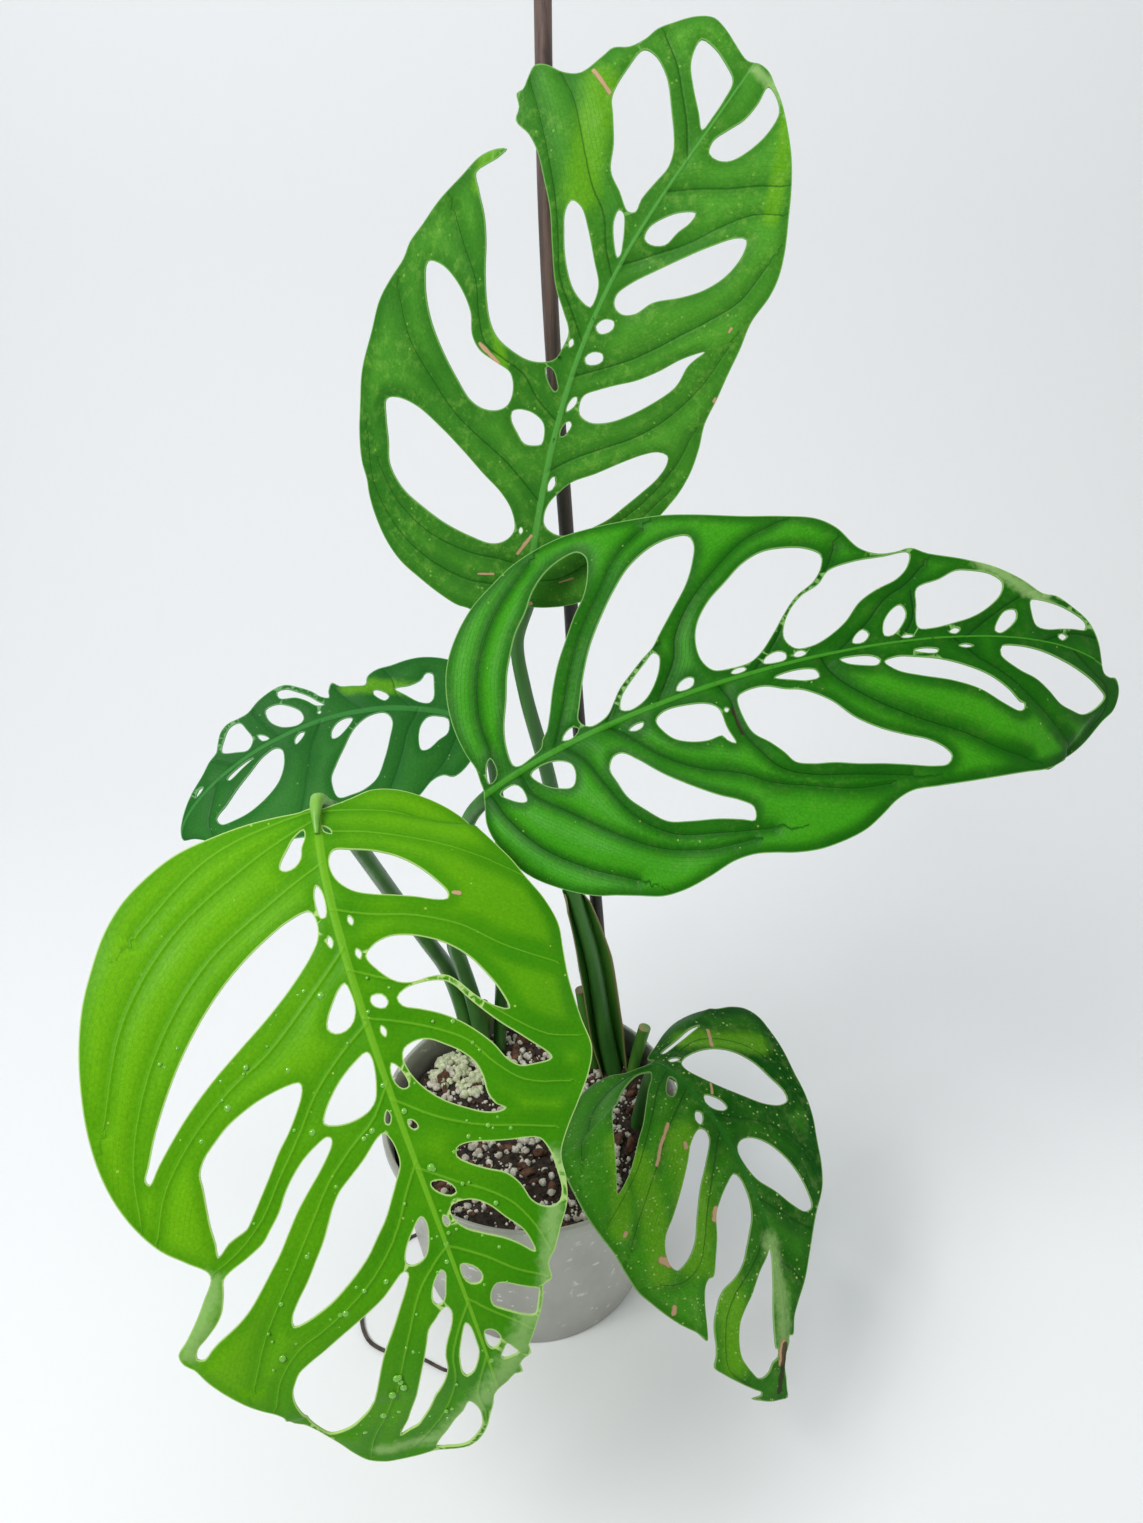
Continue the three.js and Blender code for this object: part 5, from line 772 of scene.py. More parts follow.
def make_piece(name: str, bm: bmesh.types.BMesh, material: bpy.types.Material,
               node: Optional[str] = None) -> None:
    """Turns a mesh in millimetres into a finished piece that rides on the part.

    Args:
        name: the piece's name.
        bm: its mesh, in millimetres; it is freed.
        material: its material.
        node: the solid it stands for, if any.
    """
    bmesh.ops.scale(bm, vec=(MM, MM, MM), verts=bm.verts)
    piece = link_mesh(name, bm, material)
    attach(piece, "root")
    if node:
        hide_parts(node)
    LOG.info("%s: %d faces", name, len(piece.data.polygons))


# Node groups and materials


@dataclass(frozen=True)
class Finish:
    """A plain piece's material: two colours in a soft pattern, with specks.

    Args:
        name: the material's name.
        first: one colour.
        second: the other colour.
        speck: the colour of fine specks.
        amount: how many specks, 0 to 1.
        roughness: the surface's roughness.
        bump: strength of the relief.
        scale: the pattern's scale per metre.
        stretch: below 1 draws the pattern out upwards.
        tip: heights in metres between which the colour changes to a third one.
        wear_and_shade: a float attribute of the piece, and the colour it mixes in: real wear on the sheath's
            pale margin, painted shade on the pot's inner wall.
    """

    name: str
    first: Color
    second: Color
    speck: Color
    amount: float
    roughness: float
    bump: float = 0.6
    scale: float = 300.0
    stretch: float = 1.0
    tip: Optional[tuple[float, float, Color]] = None
    wear_and_shade: Optional[tuple[str, Color]] = None


CUT_BROWN = (0.16, 0.09, 0.045)
STALK_GREEN = Finish("stalk green", (0.022, 0.12, 0.014), (0.05, 0.2, 0.025), (0.2, 0.3, 0.1), amount=0.25,
                     scale=60.0, stretch=0.15, roughness=0.4, bump=0.2)
SHOOT_GREEN = Finish("shoot", (0.1, 0.26, 0.03), (0.2, 0.36, 0.05), (0.25, 0.16, 0.06), amount=0.35,
                     scale=70.0, stretch=0.3, roughness=0.5, bump=0.25, tip=(0.13, 0.138, CUT_BROWN))
CUT_GREEN = Finish("cut stem green", (0.03, 0.15, 0.015), (0.08, 0.27, 0.03), (0.25, 0.3, 0.1), amount=0.25,
                   scale=60.0, stretch=0.2, roughness=0.42, bump=0.25, tip=(0.1605, 0.1625, CUT_BROWN))
STUB_GREEN = Finish("stub green", (0.03, 0.15, 0.015), (0.1, 0.3, 0.03), (0.3, 0.3, 0.12), amount=0.3,
                    scale=60.0, stretch=0.2, roughness=0.42, bump=0.3,
                    tip=(0.1385, 0.1405, (0.25, 0.22, 0.08)))
SHEATH_GREEN = Finish("sheath green", (0.02, 0.12, 0.012), (0.06, 0.22, 0.02), (0.3, 0.26, 0.1), amount=0.3,
                      scale=50.0, stretch=0.12, roughness=0.42, bump=0.25,
                      wear_and_shade=("margin", (0.24, 0.22, 0.08)))
STAKE_BROWN = Finish("stake brown", (0.05, 0.03, 0.026), (0.14, 0.085, 0.068), (0.28, 0.19, 0.15),
                     amount=0.2, scale=320.0, stretch=0.05, roughness=0.42, bump=0.8,
                     tip=(0.52, 0.4, (0.012, 0.009, 0.009)))
ROOT_BROWN = Finish("dry root", (0.03, 0.024, 0.02), (0.09, 0.07, 0.055), (0.2, 0.16, 0.12), amount=0.2,
                    scale=200.0, stretch=0.6, roughness=0.85, bump=0.6)
KNUCKLE_GREEN = Finish("knuckle green", (0.12, 0.36, 0.03), (0.2, 0.46, 0.05), (0.4, 0.55, 0.2), amount=0.2,
                       scale=80.0, roughness=0.4, bump=0.2)
# The pot's dark inner wall is painted shade, mixed in through the inner attribute.
POT_GREY = Finish("pot grey", (0.3, 0.305, 0.26), (0.43, 0.435, 0.385), (0.62, 0.62, 0.57), amount=0.6,
                  scale=16.0, stretch=0.5, roughness=0.36, bump=0.08, wear_and_shade=("inner", (0.085, 0.08, 0.075)))
SOIL_DARK = Finish("soil dark", (0.013, 0.008, 0.006), (0.05, 0.03, 0.02), (0.3, 0.26, 0.2), amount=0.2,
                   scale=240.0, roughness=0.95, bump=0.9)


def new_material(name: str) -> tuple[bpy.types.Material, bpy.types.Node]:
    """Makes a material and gives it with its Principled shader."""
    material = bpy.data.materials.new(name)
    material.use_nodes = True
    return material, next(n for n in material.node_tree.nodes if n.type == "BSDF_PRINCIPLED")


class Graph:
    """A small writer of shader nodes for one tree."""

    def __init__(self, tree: bpy.types.NodeTree) -> None:
        """Keeps the node tree to write in."""
        self.tree = tree

    def node(self, kind: str, inputs: Optional[dict] = None, **settings) -> bpy.types.Node:
        """Adds a node, sets it up and links or sets its inputs.

        Args:
            kind: the node's type.
            inputs: input name or number to a socket or a constant.
            settings: properties set on the node.

        Returns:
            The new node.
        """
        made = self.tree.nodes.new(kind)
        for key, value in settings.items():
            setattr(made, key, value)
        self.feed(made, inputs or {})
        return made

    def feed(self, node: bpy.types.Node, inputs: dict) -> None:
        """Links or sets a node's inputs, each by name or number."""
        for key, value in inputs.items():
            self.join(value, node.inputs[key])

    def join(self, value: Input, socket: bpy.types.NodeSocket) -> None:
        """Links a socket or sets a constant.

        Args:
            value: an output socket or a constant.
            socket: the input it goes to.
        """
        if isinstance(value, bpy.types.NodeSocket):
            self.tree.links.new(value, socket)
        elif isinstance(value, (tuple, list)) and socket.type == "RGBA":
            socket.default_value = (*value[:3], 1.0)
        else:
            socket.default_value = value

    def math(self, operation: str, a: Input, b: Input = 0.0, c: Input = 0.0,
             clamp: bool = False) -> bpy.types.NodeSocket:
        """Adds a math node and gives its output; clamp keeps it between 0 and 1."""
        made = self.node("ShaderNodeMath", {0: a, 1: b, 2: c}, operation=operation, use_clamp=clamp)
        return made.outputs[0]

    def times(self, a: Input, b: Input) -> bpy.types.NodeSocket:
        """Multiplies two values or sockets."""
        return self.math("MULTIPLY", a, b)

    def plus(self, a: Input, b: Input) -> bpy.types.NodeSocket:
        """Adds two values or sockets."""
        return self.math("ADD", a, b)

    def vector(self, operation: str, a: Input, b: Input, output: str = "Vector") -> bpy.types.NodeSocket:
        """Adds a vector math node on two vectors and gives the named output."""
        return self.node("ShaderNodeVectorMath", {0: a, 1: b}, operation=operation).outputs[output]

    def split(self, vector: Input) -> Sequence[bpy.types.NodeSocket]:
        """Splits a vector or colour into three values."""
        return self.node("ShaderNodeSeparateXYZ", {0: vector}).outputs

    def attribute(self, name: str) -> bpy.types.NodeSocket:
        """Reads a float attribute of the mesh."""
        return self.node("ShaderNodeAttribute", attribute_name=name).outputs["Fac"]

    def noise(self, vector: Input, scale: float, detail: float = 2.0,
              rough: float = 0.5) -> bpy.types.NodeSocket:
        """Adds a noise texture and gives its value."""
        return self.node("ShaderNodeTexNoise", {"Vector": vector, "Scale": scale, "Detail": detail,
                                                "Roughness": rough}).outputs[0]

    def ramp(self, value: Input, low: float, high: float, start: float = 0.0,
             end: float = 1.0) -> bpy.types.NodeSocket:
        """Maps low..high smoothly to start..end, held at the ends."""
        return self.node("ShaderNodeMapRange", {0: value, 1: low, 2: high, 3: start, 4: end},
                         interpolation_type="SMOOTHSTEP").outputs[0]

    def mix(self, factor: Input, a: Input, b: Input, blend: str = "MIX") -> bpy.types.NodeSocket:
        """Mixes two colours.

        Args:
            factor: how much of b.
            a: the first colour or socket.
            b: the second colour or socket.
            blend: how b goes over a.

        Returns:
            The colour output.
        """
        made = self.node("ShaderNodeMix", data_type="RGBA", blend_type=blend)
        self.feed(made, {0: factor, 6: a, 7: b})
        return made.outputs[2]


def group(name: str, inputs: Sequence[tuple[str, str, object]], outputs: Sequence[tuple[str, str]]):
    """Starts a node group with its sockets.

    Args:
        name: the group's name.
        inputs: name, socket kind and default of each input.
        outputs: name and socket kind of each output.

    Returns:
        The tree, its writer, its inputs' sockets and its output node.
    """
    tree = bpy.data.node_groups.new(name, "ShaderNodeTree")
    for label, kind, default in inputs:
        made = tree.interface.new_socket(name=label, in_out="INPUT", socket_type=kind)
        if default is not None:
            made.default_value = (*default, 1.0) if kind == "NodeSocketColor" else default
    for label, kind in outputs:
        tree.interface.new_socket(name=label, in_out="OUTPUT", socket_type=kind)
    source = tree.nodes.new("NodeGroupInput")
    sink = tree.nodes.new("NodeGroupOutput")
    return tree, Graph(tree), source.outputs, sink


COLOR, VALUE, VECTOR = "NodeSocketColor", "NodeSocketFloat", "NodeSocketVector"


def mark_mask_group() -> bpy.types.NodeTree:
    """Builds the group that masks a ragged band along a short line of the flat frame.

    Returns:
        The node group; its output is the mask.
    """
    tree, g, i, out = group("Mark mask", [
        ("Flat", VECTOR, None), ("Start", VECTOR, None), ("End", VECTOR, None), ("Width", VALUE, 2.0),
        ("Soft", VALUE, 0.4), ("Ragged", VALUE, 0.5),
    ], [("Mask", VALUE)])
    place = g.vector("MULTIPLY", i["Flat"], (FLAT_UNIT, FLAT_UNIT, 0))
    along = g.vector("SUBTRACT", i["End"], i["Start"])
    away = g.vector("SUBTRACT", place, i["Start"])
    dot = g.vector("DOT_PRODUCT", away, along, "Value")
    size = g.vector("DOT_PRODUCT", along, along, "Value")
    part = g.math("DIVIDE", dot, g.plus(size, 1e-4), clamp=True)
    foot = g.node("ShaderNodeVectorMath", {0: along, "Scale": part}, operation="SCALE").outputs[0]
    gap = g.vector("DISTANCE", away, foot, "Value")
    wobble = g.times(g.math("SUBTRACT", g.noise(i["Flat"], 26.0, 4.0, 0.65), 0.5), i["Ragged"])
    ratio = g.plus(g.math("DIVIDE", gap, i["Width"]), g.times(wobble, 2.4))
    inner = g.math("SUBTRACT", 1.0, i["Soft"])
    g.join(g.ramp(ratio, inner, 1.0, 1.0, 0.0), out.inputs["Mask"])
    return tree


def leaf_marks_group() -> bpy.types.NodeTree:
    """Builds the group that paints a blade from its flat frame and its nearest vein.

    Returns:
        The node group; its outputs are a colour, a roughness and a height.
    """
    tree, g, i, out = group("Leaf marks", [
        ("Flat", VECTOR, None), ("Vein", VECTOR, None), ("Rim distance", VALUE, 5.0),
        ("Under", VALUE, 0.0), ("Deep", COLOR, (0.02, 0.1, 0.01)), ("Fresh", COLOR, (0.1, 0.3, 0.02)),
        ("Fleck", COLOR, (0.4, 0.5, 0.1)), ("Vein colour", COLOR, (0.3, 0.5, 0.1)),
        ("Midrib colour", COLOR, (0.4, 0.6, 0.2)), ("Rim highlight colour", COLOR, (0.5, 0.6, 0.3)),
        ("Fleck amount", VALUE, 0.2), ("Vein strength", VALUE, 0.6), ("Shading band", VALUE, 0.3),
        ("Roughness", VALUE, 0.4), ("Shade slope", VECTOR, None), ("Mottle", VALUE, 0.0),
        ("Scar", VALUE, 0.0), ("Wilt", VALUE, 0.0), ("Dark", VALUE, 0.0), ("Glow", VALUE, 0.0),
    ], [("Color", COLOR), ("Roughness", VALUE), ("Height", VALUE)])
    flat = g.split(i["Flat"])
    vein = g.split(i["Vein"])
    tone = g.split(i["Shade slope"])
    away = g.times(g.math("ABSOLUTE", vein[0]), VEIN_UNIT)
    broad = g.noise(i["Flat"], 3.2, 3.0)
    # Painted shade: the blade darkens along the shade slope, broken up by random blotchy tone.
    slope = g.math("MULTIPLY_ADD", flat[0], tone[0], g.math("MULTIPLY_ADD", flat[1], tone[1], tone[2]))
    shade = g.ramp(g.plus(slope, g.math("MULTIPLY_ADD", broad, 0.9, -0.45)), 0.0, 1.0)
    color = g.mix(shade, i["Fresh"], i["Deep"])
    # Painted shade in the hollows of the sunken veins.
    hollow_shade = g.times(g.ramp(away, 0.4, 5.5, 1.0, 0.0), i["Shading band"])
    color = g.mix(g.times(hollow_shade, 0.8), color, i["Deep"])
    # Painted highlight on the crests halfway between veins, away from the margins.
    crest_highlight = g.times(g.ramp(away, 4.0, 9.0), g.ramp(i["Rim distance"], 3.0, 8.0))
    crest_highlight = g.times(crest_highlight, g.times(i["Shading band"], 0.8))
    color = g.mix(crest_highlight, color, i["Fresh"])
    # Painted shade beside the sunken midrib.
    off_rib = g.times(g.math("ABSOLUTE", flat[1]), FLAT_UNIT)
    rib_shade = g.times(g.ramp(off_rib, 2.0, 16.0, 0.6, 0.0), i["Shading band"])
    color = g.mix(rib_shade, color, i["Deep"])
    # Painted shade along the margins.
    margin = g.times(g.ramp(i["Rim distance"], 0.8, 6.0, 0.75, 0.0), i["Shading band"])
    color = g.mix(margin, color, i["Deep"])
    color = g.mix(g.times(i["Glow"], 0.9), color, g.mix(0.85, i["Fresh"], (0.13, 0.38, 0.01)))
    blotch = g.ramp(g.noise(i["Flat"], 22.0, 5.0, 0.7), 0.46, 0.66)
    patch = g.ramp(g.noise(i["Flat"], 4.5, 2.0), 0.36, 0.6)
    blotch = g.times(g.times(blotch, patch), i["Mottle"])
    color = g.mix(blotch, color, i["Fleck"])
    stripes = g.math("ABSOLUTE", g.math("SINE", g.times(vein[0], 19.0)))
    reach = g.times(g.ramp(away, 1.2, 2.4), g.ramp(away, 10.0, 14.0, 1.0, 0.0))
    fine_vein = g.times(g.ramp(stripes, 0.0, 0.2, 1.0, 0.0), reach)
    color = g.mix(g.times(fine_vein, 0.3), color, i["Deep"])
    net = g.node("ShaderNodeTexVoronoi", {"Vector": i["Flat"], "Scale": 48.0},
                 feature="DISTANCE_TO_EDGE").outputs["Distance"]
    color = g.mix(g.ramp(net, 0.0, 0.12, 0.2, 0.0), color, i["Deep"])
    cells = g.node("ShaderNodeTexVoronoi", {"Vector": i["Flat"], "Scale": 52.0}, feature="F1")
    pick = g.split(cells.outputs["Color"])
    chosen = g.math("LESS_THAN", pick[0], g.times(i["Fleck amount"], 0.42))
    spot = g.ramp(cells.outputs["Distance"], g.math("MULTIPLY_ADD", pick[1], 0.16, 0.06),
                  g.math("MULTIPLY_ADD", pick[1], 0.2, 0.16), 1.0, 0.0)
    fleck = g.times(g.times(spot, chosen), g.ramp(patch, 0.0, 0.7, 0.25, 1.0))
    color = g.mix(g.times(fleck, 0.75), color, i["Fleck"])
    grain = g.math("MULTIPLY_ADD", g.noise(i["Flat"], 70.0, 4.0, 0.65), 0.5, 0.75)
    grey = g.node("ShaderNodeCombineXYZ", {0: grain, 1: grain, 2: grain}).outputs[0]
    color = g.mix(1.0, color, grey, "MULTIPLY")
    thick = g.ramp(vein[1], 0.0, 1.1, 0.6, 0.28)
    on_vein = g.ramp(g.math("DIVIDE", away, thick), 0.35, 1.0, 1.0, 0.0)
    color = g.mix(g.times(on_vein, i["Vein strength"]), color, i["Vein colour"])
    rib_half = g.ramp(flat[0], 0.0, 2.6, 1.8, 0.5)
    on_rib = g.ramp(g.math("DIVIDE", off_rib, rib_half), 0.6, 1.1, 1.0, 0.0)
    color = g.mix(g.times(on_rib, 0.75), color, i["Midrib colour"])
    # Painted backlit-edge highlight: a pale line along every edge.
    rim = g.ramp(i["Rim distance"], 0.1, 0.65, 1.0, 0.0)
    color = g.mix(g.times(rim, 0.75), color, i["Rim highlight colour"])
    pale = g.mix(0.5, color, i["Midrib colour"])
    color = g.mix(g.times(i["Under"], 0.7), color, pale)
    color = g.mix(g.times(i["Wilt"], 0.6), color, (0.34, 0.55, 0.19))
    edge = g.times(i["Scar"], g.math("SUBTRACT", 1.0, i["Scar"]))
    color = g.mix(i["Scar"], color, (0.5, 0.34, 0.19))
    color = g.mix(g.math("MULTIPLY", edge, 1.8, clamp=True), color, (0.2, 0.1, 0.04))
    color = g.mix(g.times(i["Dark"], 0.85), color, (0.03, 0.022, 0.012))
    g.join(color, out.inputs["Color"])
    rough = g.math("MULTIPLY_ADD", broad, 0.2, g.math("SUBTRACT", i["Roughness"], 0.1))
    rough = g.plus(rough, g.times(g.math("MAXIMUM", i["Scar"], i["Wilt"]), 0.2))
    g.join(rough, out.inputs["Roughness"])
    height = g.plus(g.ramp(away, 0.0, 1.4, -1.0, 0.0), g.times(on_rib, 0.8))
    height = g.plus(height, g.times(fine_vein, -0.2))
    height = g.plus(height, g.times(g.ramp(net, 0.0, 0.22), 0.08))
    height = g.plus(height, g.times(g.noise(i["Flat"], 9.0, 1.5), 0.7))
    height = g.plus(height, g.times(i["Scar"], -0.6))
    g.join(height, out.inputs["Height"])
    return tree


def speckle_group() -> bpy.types.NodeTree:
    """Builds the group for plain pieces: two colours, streaks and fine specks in object coordinates.

    Returns:
        The node group; its outputs are a colour and a height.
    """
    tree, g, i, out = group("Speckle", [
        ("Vector", VECTOR, None), ("Scale", VALUE, 40.0), ("Stretch", VALUE, 1.0),
        ("First", COLOR, (0.2, 0.2, 0.2)), ("Second", COLOR, (0.3, 0.3, 0.3)),
        ("Speck", COLOR, (0.8, 0.8, 0.8)), ("Speck amount", VALUE, 0.1),
    ], [("Color", COLOR), ("Height", VALUE)])
    split = g.split(i["Vector"])
    drawn = g.node("ShaderNodeCombineXYZ", {0: split[0], 1: split[1],
                                            2: g.times(split[2], i["Stretch"])}).outputs[0]
    streak = g.noise(drawn, i["Scale"], 4.0, 0.6)
    color = g.mix(g.ramp(streak, 0.35, 0.65), i["First"], i["Second"])
    tiny = g.noise(i["Vector"], g.times(i["Scale"], 9.0), 3.0, 0.6)
    gate = g.math("SUBTRACT", 0.8, g.times(i["Speck amount"], 0.3))
    color = g.mix(g.ramp(g.math("SUBTRACT", tiny, gate), 0.0, 0.06), color, i["Speck"])
    g.join(color, out.inputs["Color"])
    g.join(g.plus(streak, g.times(tiny, 0.4)), out.inputs["Height"])
    return tree


@dataclass
class Palette:
    """Makes the materials and keeps the shared groups.

    Args:
        marks: the leaf group, made on first use.
        mask: the group that masks a mark, made on first use.
        speckle: the plain group, made on first use.
    """

    marks: Optional[bpy.types.NodeTree] = None
    mask: Optional[bpy.types.NodeTree] = None
    speckle: Optional[bpy.types.NodeTree] = None

    def leaf(self, shape: LeafShape) -> bpy.types.Material:
        """Makes a blade's material.

        Args:
            shape: the leaf.

        Returns:
            The material.
        """
        self.marks = self.marks or leaf_marks_group()
        self.mask = self.mask or mark_mask_group()
        material, shader = new_material(shape.name + " blade")
        g = Graph(material.node_tree)
        look = shape.finish
        marks = g.node("ShaderNodeGroup", node_tree=self.marks)
        flat = g.node("ShaderNodeUVMap", uv_map="flat").outputs[0]
        for kind in MarkKind:
            total = None
            for mark in (m for m in shape.marks if m.kind is kind):
                ragged = 0.25 if kind is MarkKind.GLOW else 0.55
                mask = g.node("ShaderNodeGroup", node_tree=self.mask)
                g.feed(mask, {"Flat": flat, "Start": (*mark.start, 0.0), "End": (*mark.end, 0.0),
                              "Width": mark.width, "Soft": mark.soft, "Ragged": ragged})
                mask = mask.outputs[0]
                total = mask if total is None else g.math("MAXIMUM", total, mask)
            if total is not None:
                g.join(total, marks.inputs[kind.value])
        wires = {
            "Flat": flat,
            "Vein": g.node("ShaderNodeUVMap", uv_map="vein").outputs[0],
            "Rim distance": g.attribute("rim"), "Under": g.attribute("under"),
            "Deep": look.deep, "Fresh": look.fresh, "Fleck": look.fleck, "Vein colour": look.vein,
            "Midrib colour": look.midrib, "Rim highlight colour": look.rim, "Fleck amount": look.fleck_amount,
            "Vein strength": look.vein_strength, "Shading band": look.shading_band, "Roughness": look.roughness,
            "Shade slope": look.tone, "Mottle": look.mottle,
        }
        g.feed(marks, wires)
        bump = g.node("ShaderNodeBump", {"Strength": 0.42, "Distance": 0.0006,
                                         "Height": marks.outputs["Height"]})
        g.join(marks.outputs["Color"], shader.inputs["Base Color"])
        g.join(marks.outputs["Roughness"], shader.inputs["Roughness"])
        g.join(bump.outputs[0], shader.inputs["Normal"])
        shader.inputs["Specular IOR Level"].default_value = 0.12
        shader.inputs["IOR"].default_value = 1.35
        return material

    def plain(self, finish: Finish) -> bpy.types.Material:
        """Makes a plain piece's material.

        Args:
            finish: its colours and strengths.

        Returns:
            The material.
        """
        self.speckle = self.speckle or speckle_group()
        material, shader = new_material(finish.name)
        g = Graph(material.node_tree)
        mark = g.node("ShaderNodeGroup", node_tree=self.speckle)
        place = g.node("ShaderNodeTexCoord").outputs["Object"]
        g.feed(mark, {"Vector": place, "Scale": finish.scale, "Stretch": finish.stretch,
                      "First": finish.first, "Second": finish.second, "Speck": finish.speck,
                      "Speck amount": finish.amount})
        relief = g.node("ShaderNodeBump", {"Strength": finish.bump, "Distance": 0.0008,
                                           "Height": mark.outputs["Height"]})
        color = mark.outputs["Color"]
        if finish.tip:
            low, high, tint = finish.tip
            uneven = g.math("MULTIPLY_ADD", g.noise(place, 220.0), 0.006, g.split(place)[2])
            color = g.mix(g.ramp(uneven, low + 0.003, high + 0.003), color, tint)
        # Mixes in the attribute's colour: real wear on the sheath, painted shade on the pot's inner wall.
        if finish.wear_and_shade:
            color = g.mix(g.attribute(finish.wear_and_shade[0]), color, finish.wear_and_shade[1])
        g.join(color, shader.inputs["Base Color"])
        g.join(relief.outputs[0], shader.inputs["Normal"])
        shader.inputs["Roughness"].default_value = finish.roughness
        return material

    def water(self) -> bpy.types.Material:
        """Makes the droplets' material."""
        material, shader = new_material("water drops")
        shader.inputs["Base Color"].default_value = (0.16, 0.46, 0.04, 1.0)
        shader.inputs["Roughness"].default_value = 0.03
        shader.inputs["Specular IOR Level"].default_value = 0.8
        return material


# Leaves

RIB_STEPS = 400  # points measured along a midrib
OUTLINE_STEP, VEIN_STEP, LINE_STEP = 1.7, 0.5, 3.0  # spacing along rounded lines
RIB_CUTS = (0.0, -0.7, 0.7, -1.5, 1.5, -2.4, 2.4)  # finer cuts beside the midrib
RIB_BAND = 3.4  # half width of the strip that only those cuts divide
GROOVE_HALF, QUILT_REACH, SWELL_SIZE = 3.4, 8, 30
QUILT_RISE, SWELL_RISE, RIB_RISE, KEEL_RISE = 0.9, 1.1, 0.5, 1.3
RIB_HALF = 1.3  # half width of the midrib's ridge
RIM_FADE, RIB_FADE = 5.0, 4.0  # distances over which the relief dies out
UNDER_SHARE = 0.8  # share of the relief that shows underneath
STALK_RUN = ((2, 1), (12, 0.6), (24, 0.32))  # the stalk runs on under the midrib: u, share of radius
FINE_CELL, QUICK_CELL = 2.6, 5.2  # sizes of a blade's mesh cells


class BladeSurface:
    """The curved surface a flat leaf frame is laid on."""

    def __init__(self, shape: LeafShape) -> None:
        """Measures the leaf's midrib.

        Args:
            shape: the leaf.
        """
        self.shape = shape
        a, b, c, d = (Vector(p) for p in shape.rib)
        self.points: list[Vector] = []
        self.tangents: list[Vector] = []
        for k in range(RIB_STEPS + 1):
            t = k / RIB_STEPS
            s = 1 - t
            self.points.append(a * s**3 + b * (3 * s * s * t) + c * (3 * s * t * t) + d * t**3)
            slope = (b - a) * (3 * s * s) + (c - b) * (6 * s * t) + (d - c) * (3 * t * t)
            self.tangents.append(slope.normalized())
        self.runs = runs_of(self.points)
        self.length = self.runs[-1]

    def place(self, flat_u: float, flat_v: float, lift: float = 0.0) -> Vector:
        """Finds a flat point in space.

        Args:
            flat_u: distance along the midrib.
            flat_v: distance to the side.
            lift: height above the surface.

        Returns:
            The point in millimetres.
        """
        shape = self.shape
        u, v = flat_u * shape.size, flat_v * shape.size
        run = min(max(u, 0.0), self.length)
        low, high = 0, len(self.runs) - 1
        while high - low > 1:
            mid = (low + high) // 2
            low, high = (mid, high) if self.runs[mid] <= run else (low, mid)
        part = (run - self.runs[low]) / (self.runs[high] - self.runs[low])
        tangent = self.tangents[low].lerp(self.tangents[high], part).normalized()
        point = self.points[low].lerp(self.points[high], part) + tangent * (u - run)
        k = run / self.length
        across = tangent.cross(Vector(shape.up[0]).lerp(Vector(shape.up[1]), k)).normalized()
        normal = across.cross(tangent)
        side = Side.LEFT if v >= 0 else Side.RIGHT
        phi = math.radians(self.between(shape.fold[side.value], k))
        curl = math.radians(self.between(shape.bend[side.value], k)) / (100 * shape.size) or 1e-8
        far = phi + curl * abs(v)
        out = (math.sin(far) - math.sin(phi)) / curl - lift * math.sin(far)
        rise = (math.cos(phi) - math.cos(far)) / curl + lift * math.cos(far)
        return point + across * (out if v >= 0 else -out) + normal * rise

    @staticmethod
    def between(ends: Sequence[float], part: float) -> float:
        """Blends the numbers stated at 0 and 1."""
        return ends[0] + (ends[1] - ends[0]) * part


